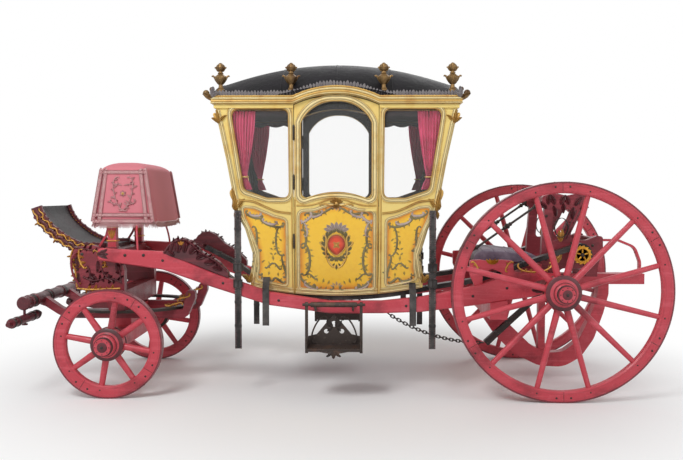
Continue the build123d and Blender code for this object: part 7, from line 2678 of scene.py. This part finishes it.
    def _footboard(self, bench: Bench) -> None:
        """Gilt waved carving along the footboard's sides and lip, and nails round its lining."""
        path = smooth_path([(-1.900, 1.089), (-2.050, 1.089), (-2.177, 1.145), (-2.294, 1.235),
                            (-2.365, 1.318),
                            (-2.392, 1.395)], 0.008)
        ahead = unit(np.gradient(path, axis=0))
        across = np.stack([-ahead[:, 1], ahead[:, 0]], axis=1)
        reach = np.r_[0, np.cumsum(np.linalg.norm(np.diff(path, axis=0), axis=1))]
        wave = np.sin(reach * FULL_TURN / 0.085)
        for shift, swing, finish, half in ((0.026, 0.009, GILT_TOUCH, 0.006),
                                           (-0.024, 0.010, GILT_TOUCH, 0.0055),
                                           (0.0, 0.006, DARK_RED_WOOD, 0.012)):
            line = path + across * (shift + swing * wave)[:, None]
            side_relief(bench, finish, "gilt", "carriage", 0.320, carved_band(line, 0.036, half, 0.008, 0.75))
        for side in Side:
            for start in np.arange(0.05, reach[-1], 0.058):
                place = int(np.searchsorted(reach, start))
                for way, size in ((1, 0.017), (-1, 0.015)):
                    spot = path[place] + across[place] * 0.037 * way
                    bench.add(DARK_RED_WOOD, "red_wood", "carriage",
                              ball((spot[0], side.value * 0.307, spot[1]), size, 0.8, (0, 1, 0), 10))
            for start in np.arange(0.03, reach[-1] - 0.01, 0.030):
                place = int(np.searchsorted(reach, start))
                spot = path[place] + across[place] * -0.0285
                spot = (path[place][0] - across[place][0] * 0.027, side.value * 0.284,
                        path[place][1] - across[place][1] * 0.027)
                bench.add(RATCHET_BRASS, "gilt", "carriage", ball(spot, 0.0045, 0.5, (0, 0, 1), 6))

    def _seat(self, bench: Bench) -> None:
        """Gilt bands and capitals on the posts under the coachman's seat."""
        for side in Side:
            spot = (-1.785, side.value * 0.36, 0.0)
            for z, size, tall, finish in ((1.096, 0.046, 0.014, SHADED_RED_WOOD),
                                          (1.150, 0.040, 0.010, GILT_TOUCH),
                                          (1.255, 0.040, 0.010, GILT_TOUCH),
                                          (1.305, 0.044, 0.012, DARK_RED_WOOD)):
                bench.add(finish, "gilt", "carriage", block((spot[0] - size, spot[1] - size, z - tall / 2),
                                                            (spot[0] + size, spot[1] + size, z + tall / 2),
                                                            0.004))
            for way in (-1, 1):
                for root, degrees in ((1.165, 70), (1.165, 110), (1.165, 90)):
                    leaf = blade(bent_spine((0, root), degrees, 0.075, 0.0), 0.012, 0.007, 3)
                    laid = leaf if way < 0 else mirrored(leaf, 2)
                    bench.add(GILT_TOUCH, "gilt", "carriage",
                              in_plane(laid, (spot[0], spot[1] + way * 0.032, 0), (1, 0, 0), (0, 0, 1)))

    def _fore(self, bench: Bench) -> None:
        """Gilt scrolls on the futchells' ends and turned rings on the splinter bar and the swingletrees."""
        for side in Side:
            for face in (0.2825, 0.2175):
                way = 1 if face > 0.25 else -1
                for start, end, first, last in (((-1.300, 0.668), (-1.212, 0.722), -0.7, 0.95),
                                                ((-1.270, 0.640), (-1.400, 0.640), 0.8, -0.5)):
                    line = scroll(start, end, first, last, 32)
                    for shape in carved_band(line, 0.030, 0.006, 0.007, 0.8):
                        laid = shape if side.value * way < 0 else mirrored(shape, 2)
                        bench.add(GILT_TOUCH, "gilt", "fore_carriage",
                                  in_plane(laid, (0, side.value * face, 0), (1, 0, 0), (0, 0, 1)))
        for y in (-0.585, -0.50, -0.40, -0.12, 0.12, 0.40, 0.50, 0.585):
            rows = [(0.044, -0.012), (0.053, -0.004), (0.053, 0.004), (0.044, 0.012)]
            bench.add(DARK_RED_WOOD, "red_wood", "fore_carriage",
                      lathe(rows, (-2.395, y, 0.690), (0, 1, 0), 22))
        for y in (-0.45, -0.16, 0.16, 0.45):
            rows = [(0.0455, -0.018), (0.0485, -0.015), (0.0485, 0.015), (0.0455, 0.018)]
            bench.add(IRON, "iron", "fore_carriage", lathe(rows, (-2.395, y, 0.690), (0, 1, 0), 22))
        for side in Side:
            body = f"swingletree_{side.word}"
            for offset in (-0.21, -0.13, 0.13, 0.21):
                rows = [(0.0325, -0.012), (0.0375, -0.008), (0.0375, 0.008), (0.0325, 0.012)]
                bench.add(IRON, "iron", body,
                          lathe(rows, (-2.395, side.value * 0.575 + offset, 0.572), (0, 1, 0), 18))
        for angle in np.linspace(0, FULL_TURN, 16, endpoint=False):
            spot = (-1.728 + 0.47 * math.cos(angle), 0.47 * math.sin(angle), 0.600)
            bench.add(IRON, "iron", "fore_carriage", ball(spot, 0.010, 0.5, (0, 0, 1), 8))

    def _perches(self, bench: Bench) -> None:
        """Bolts and a carved nose on the two perches."""
        for side in Side:
            for x, z in ((-1.355, 1.010), (-0.900, 0.840), (-0.480, 0.710), (0.480, 0.670), (0.980, 0.745),
                         (1.235, 0.806)):
                for face in (0.540, 0.470):
                    way = 1 if face > 0.5 else -1
                    bench.add(IRON, "iron", "carriage",
                              ball((x, side.value * face, z), 0.011, 0.5, (0, side.value * way, 0), 8))
        nose = [blade(bent_spine((-1.850, 1.058), degrees, 0.085, bend), 0.016, 0.009, 3)
                for degrees, bend in ((16, 0.3), (-14, -0.3), (0, 0.0))]
        side_relief(bench, DARK_RED_WOOD, "red_wood", "carriage", self.perch_face, nose)


@dataclass
class RearCarving:
    """Carving, gilding and ironwork of the rear of the coach."""

    panel_face: float = 0.508
    standard_face: float = 0.280

    def build(self) -> None:
        """Dresses the rear side panels, the standard, the winders and the rods."""
        bench = Bench("rear")
        leaves = [blade(bent_spine(root, degrees, length, bend), half, 0.010, 4) for root, degrees, length,
                  bend, half in (
            ((1.130, 0.984), 160, 0.062, -0.6, 0.011), ((1.130, 0.984), 20, 0.062, 0.6, 0.011),
            ((1.130, 0.984), 130, 0.048, -0.4, 0.010), ((1.130, 0.984), 50, 0.048, 0.4, 0.010),
            ((1.130, 0.984), 90, 0.034, 0.0, 0.010))]
        side_relief(bench, RATCHET_BRASS, "gilt", "carriage", self.panel_face, leaves)
        for start, end, first, last in (((1.010, 0.930), (0.975, 0.995), 0.8, 0.6),
                                        ((1.240, 0.930), (1.282, 0.995), -0.8, -0.6),
                                        ((1.330, 0.985), (1.560, 0.990), 0.6, 0.7)):
            line = scroll(start, end, first, last, 30)
            side_relief(bench, GILT_TOUCH, "gilt", "carriage", self.panel_face,
                        carved_band(line, 0.030, 0.006, 0.007, 0.8))
        self._standard(bench)
        self._winders(bench)
        self._rods(bench)
        self._perch_ends(bench)
        bench.publish()

    def _standard(self, bench: Bench) -> None:
        """Dark carved leaves over the head of the standard, dark carved lines and bolts on its posts, and gilt
        leaves.
        """
        head = [blade(bent_spine(root, degrees, length, bend), half, 0.018, 4) for root, degrees, length,
                bend, half in (
            ((1.590, 1.400), 130, 0.100, 0.6, 0.022), ((1.600, 1.430), 88, 0.085, -0.3, 0.020),
            ((1.650, 1.430), 100, 0.085, 0.5, 0.022), ((1.700, 1.430), 78, 0.085, -0.5, 0.022),
            ((1.760, 1.430), 98, 0.080, 0.5, 0.022), ((1.810, 1.420), 70, 0.085, -0.6, 0.022),
            ((1.850, 1.390), 40, 0.070, -0.8, 0.020), ((1.640, 1.420), -60, 0.090, -0.5, 0.018),
            ((1.800, 1.410), -110, 0.100, 0.5, 0.020), ((1.720, 1.440), -90, 0.080, 0.0, 0.018))]
        side_relief(bench, DARK_RED_WOOD, "red_wood", "carriage", self.standard_face, head)
        for start, end in (((1.722, 1.160), (1.822, 1.385)), ((1.700, 1.170), (1.795, 1.385)),
                           ((1.745, 1.160), (1.850, 1.380))):
            line = np.linspace(start, end, 12)
            side_relief(bench, DARK_RED_WOOD, "gilt", "carriage", self.standard_face,
                        carved_band(line, 0.02, 0.004, 0.004, 3.0))
        for x, z in ((1.588, 1.000), (1.588, 1.180), (1.588, 1.340), (1.660, 1.000), (1.950, 1.000),
                     (1.950, 1.110), (1.890, 0.965)):
            for side in Side:
                bench.add(IRON, "iron", "carriage",
                          ball((x, side.value * self.standard_face, z), 0.012, 0.5, (0, side.value, 0), 8))
        gilt = [blade(bent_spine(root, degrees, length, bend), half, 0.010, 4) for root, degrees, length,
                bend, half in (
            ((1.700, 1.140), 70, 0.100, 0.4, 0.018), ((1.700, 1.140), 110, 0.090, -0.5, 0.016),
            ((1.650, 0.960), 40, 0.110, 0.5, 0.018), ((1.640, 0.965), 75, 0.090, -0.4, 0.016))]
        side_relief(bench, GILT_TOUCH, "gilt", "carriage", self.standard_face, gilt)

    def _winders(self, bench: Bench) -> None:
        """Hubs, spokes and pawls of the ratchets that tighten the braces."""
        for side in Side:
            out = (0, side.value, 0)
            spot = (1.820, side.value * 0.454, 1.049)
            bench.add(IRON, "iron", "carriage",
                      lathe([(0.015, -0.001), (0.016, 0.008), (0.012, 0.014), (0.004, 0.016)], spot, out, 18))
            ring = [(0.056, 0.0), (0.058, 0.006), (0.050, 0.009), (0.044, 0.006), (0.044, 0.0)]
            # Painted shade: the ring's inner face and web are drawn dark.
            bench.add(RATCHET_BRASS, "gilt", "carriage", lathe(ring + [(0.030, 0.0)], spot, out, 32,
                                                               [0, 0, 0.1, 0.8, 0.9, 0.9]))
            for turn in range(5):
                angle = turn * FULL_TURN / 5 + 0.3
                way = np.array([math.cos(angle), 0, math.sin(angle)])
                arm = np.array([np.array(spot) + way * 0.016, np.array(spot) + way * 0.052])
                bench.add(RATCHET_BRASS, "gilt", "carriage",
                          sweep(arm, np.tile(np.array(out, float), (2, 1)), 0.007, 0.006))
            pawl = smooth_path([(1.730, side.value * 0.448, 1.150), (1.745, side.value * 0.448, 1.128),
                                (1.778, side.value * 0.448, 1.112)], 0.006)
            bench.add(IRON, "iron", "carriage", tube(pawl, 0.006, 7))
            strap = np.array([(1.700 + 0.052 * math.cos(a), side.value * 0.300, 1.250 + 0.075 * math.sin(a))
                              for a in np.linspace(0, FULL_TURN, 40, endpoint=False)])
            outs = unit(strap - (1.700, side.value * 0.300, 1.250))
            bench.add(STRAP_LEATHER, "strap_leather", "carriage",
                      sweep(strap, outs, 0.014, 0.004, True, STRAP_PROFILE, STRAP_SHADE))

    def _rods(self, bench: Bench) -> None:
        """Turned knobs on the rods that brace the standard."""
        for side in Side:
            start, end = np.array([0.992, side.value * 0.255, 1.050]), np.array([1.566, side.value * 0.255,
                                                                                 1.455])
            way = tuple(unit(end - start))
            for share, size in ((0.10, 1.0), (0.52, 1.3), (0.90, 1.0)):
                rows = [(0.008, -0.030), (0.013, -0.022), (0.010, -0.014), (0.019, 0.0), (0.010, 0.014),
                        (0.013, 0.022), (0.008, 0.030)]
                rows = [(radius * size, along * size) for radius, along in rows]
                bench.add(IRON, "iron", "carriage", lathe(rows, start + (end - start) * share, way, 14))

    def _perch_ends(self, bench: Bench) -> None:
        """Carved black leaves on the perches' tails, and the platform's edge nails."""
        tails = [blade(bent_spine((1.420, 0.792), degrees, 0.105, bend), half, 0.010, 4)
                 for degrees, bend, half in ((16, -0.4, 0.016), (-14, 0.4, 0.016), (0, 0.0, 0.014))]
        side_relief(bench, DARK_RED_WOOD, "red_wood", "carriage", 0.540, tails)
        for side in Side:
            for x in np.linspace(1.02, 1.52, 14):
                bench.add(RATCHET_BRASS, "gilt", "carriage",
                          ball((x, side.value * 0.335, 0.958), 0.0055, 0.5, (0, side.value, 0), 8))


PARTS: list = [
    CabinShell(), RoofTop(), Curtains(), CUSHIONS, PLATFORM_PAD, REAR_WHEELS, FRONT_WHEELS, Hammercloth(),
    Straps(), Steps(), FrontCarving(), RearCarving(),
]


@dataclass
class Studio:
    """Camera, pale floor and soft light."""

    lens: float = 40.0
    sensor: float = 36.0
    spot: tuple[float, float, float] = (0.0798, -6.2221, 1.5077)
    yaw: float = math.radians(0.868)
    pitch: float = math.radians(2.678)
    floor_size: float = 60.0
    floor_grey: float = 0.94
    fade_start: float = 1.5
    fade_end: float = 3.8
    world_light: float = 0.42

    def build(self) -> None:
        """Makes the camera, the floor and the lights."""
        self._camera()
        self._floor()
        self._world()
        self._lamp("key_light", (-3.0, -5.2, 6.5), 2.4, 300.0)
        self._lamp("fill_light", (5.5, -4.5, 4.0), 3.5, 60.0)
        self._lamp("back_light", (1.0, 6.5, 6.0), 4.0, 110.0)

    def _camera(self) -> None:
        """Makes the camera from where the photograph was taken."""
        data = bpy.data.cameras.new("camera")
        data.lens = self.lens
        data.sensor_width = self.sensor
        data.clip_end = 200
        camera = bpy.data.objects.new("camera", data)
        bpy.context.scene.collection.objects.link(camera)
        camera.location = self.spot
        camera.rotation_euler = (math.pi / 2 - self.pitch, 0, self.yaw)
        bpy.context.scene.camera = camera

    def _lamp(self, name: str, spot: tuple[float, float, float], size: float, power: float) -> None:
        """Makes one soft square lamp that faces the coach.

        Args:
            name: the lamp's name.
            spot: where it hangs.
            size: the length of its side.
            power: its strength in watts.
        """
        data = bpy.data.lights.new(name, "AREA")
        data.size = size
        data.energy = power
        lamp = bpy.data.objects.new(name, data)
        bpy.context.scene.collection.objects.link(lamp)
        lamp.location = spot
        lamp.rotation_euler = (Vector((0, 0, 1.0)) - Vector(spot)).to_track_quat("-Z", "Y").to_euler()

    def _floor(self) -> None:
        """Makes the floor, which fades into the white behind it with distance."""
        half = self.floor_size / 2
        mesh = bpy.data.meshes.new("floor")
        corners = [(-half, -half, 0), (half, -half, 0), (half, half, 0), (-half, half, 0)]
        mesh.from_pydata(corners, [], [(0, 1, 2, 3)])
        floor = bpy.data.objects.new("floor", mesh)
        bpy.context.scene.collection.objects.link(floor)
        material = bpy.data.materials.new("studio_floor")
        material.use_nodes = True
        tree = material.node_tree
        shader = tree.nodes["Principled BSDF"]
        shader.inputs["Base Color"].default_value = (*[self.floor_grey] * 3, 1)
        shader.inputs["Roughness"].default_value = 0.9
        shader.inputs["Specular IOR Level"].default_value = 0.1
        glow = tree.nodes.new("ShaderNodeEmission")
        glow.inputs["Color"].default_value = (1, 1, 1, 1)
        blend = tree.nodes.new("ShaderNodeMixShader")
        coords = tree.nodes.new("ShaderNodeTexCoord")
        length = tree.nodes.new("ShaderNodeVectorMath")
        length.operation = "LENGTH"
        tree.links.new(coords.outputs["Object"], length.inputs[0])
        fade = tree.nodes.new("ShaderNodeMapRange")
        fade.interpolation_type = "SMOOTHSTEP"
        fade.inputs["From Min"].default_value = self.fade_start
        fade.inputs["From Max"].default_value = self.fade_end
        tree.links.new(length.outputs["Value"], fade.inputs["Value"])
        seen = self._seen(tree)
        both = tree.nodes.new("ShaderNodeMath")
        both.operation = "MULTIPLY"
        tree.links.new(fade.outputs["Result"], both.inputs[0])
        tree.links.new(seen, both.inputs[1])
        tree.links.new(both.outputs[0], blend.inputs[0])
        tree.links.new(shader.outputs[0], blend.inputs[1])
        tree.links.new(glow.outputs[0], blend.inputs[2])
        tree.links.new(blend.outputs[0], tree.nodes["Material Output"].inputs["Surface"])
        mesh.materials.append(material)

    def _seen(self, tree: bpy.types.NodeTree) -> bpy.types.NodeSocket:
        """A value that is 1 for rays from the eye, from gloss and through glass."""
        path = tree.nodes.new("ShaderNodeLightPath")
        total = path.outputs["Is Camera Ray"]
        for word in ("Is Glossy Ray", "Is Transmission Ray"):
            add = tree.nodes.new("ShaderNodeMath")
            add.operation = "MAXIMUM"
            tree.links.new(total, add.inputs[0])
            tree.links.new(path.outputs[word], add.inputs[1])
            total = add.outputs[0]
        return total

    def _world(self) -> None:
        """Makes the world: white to the eye, and a softer even light on the coach."""
        world = bpy.data.worlds.new("studio")
        world.use_nodes = True
        bpy.context.scene.world = world
        tree = world.node_tree
        light = tree.nodes["Background"]
        light.inputs["Color"].default_value = (1, 1, 1, 1)
        light.inputs["Strength"].default_value = self.world_light
        white = tree.nodes.new("ShaderNodeBackground")
        white.inputs["Color"].default_value = (1, 1, 1, 1)
        white.inputs["Strength"].default_value = 1.0
        blend = tree.nodes.new("ShaderNodeMixShader")
        tree.links.new(self._seen(tree), blend.inputs[0])
        tree.links.new(light.outputs[0], blend.inputs[1])
        tree.links.new(white.outputs[0], blend.inputs[2])
        tree.links.new(blend.outputs[0], tree.nodes["World Output"].inputs["Surface"])


def main() -> None:
    """Builds every sub-assembly in order, logging each one."""
    logging.basicConfig(level=logging.INFO, format="%(name)s: %(message)s")
    bpy.context.scene.view_settings.view_transform = "Standard"
    finish_nodes()
    Studio().build()
    for part in PARTS:
        part.build()
        log.info("built %s", type(part).__name__)


if __name__ == "__main__":
    main()
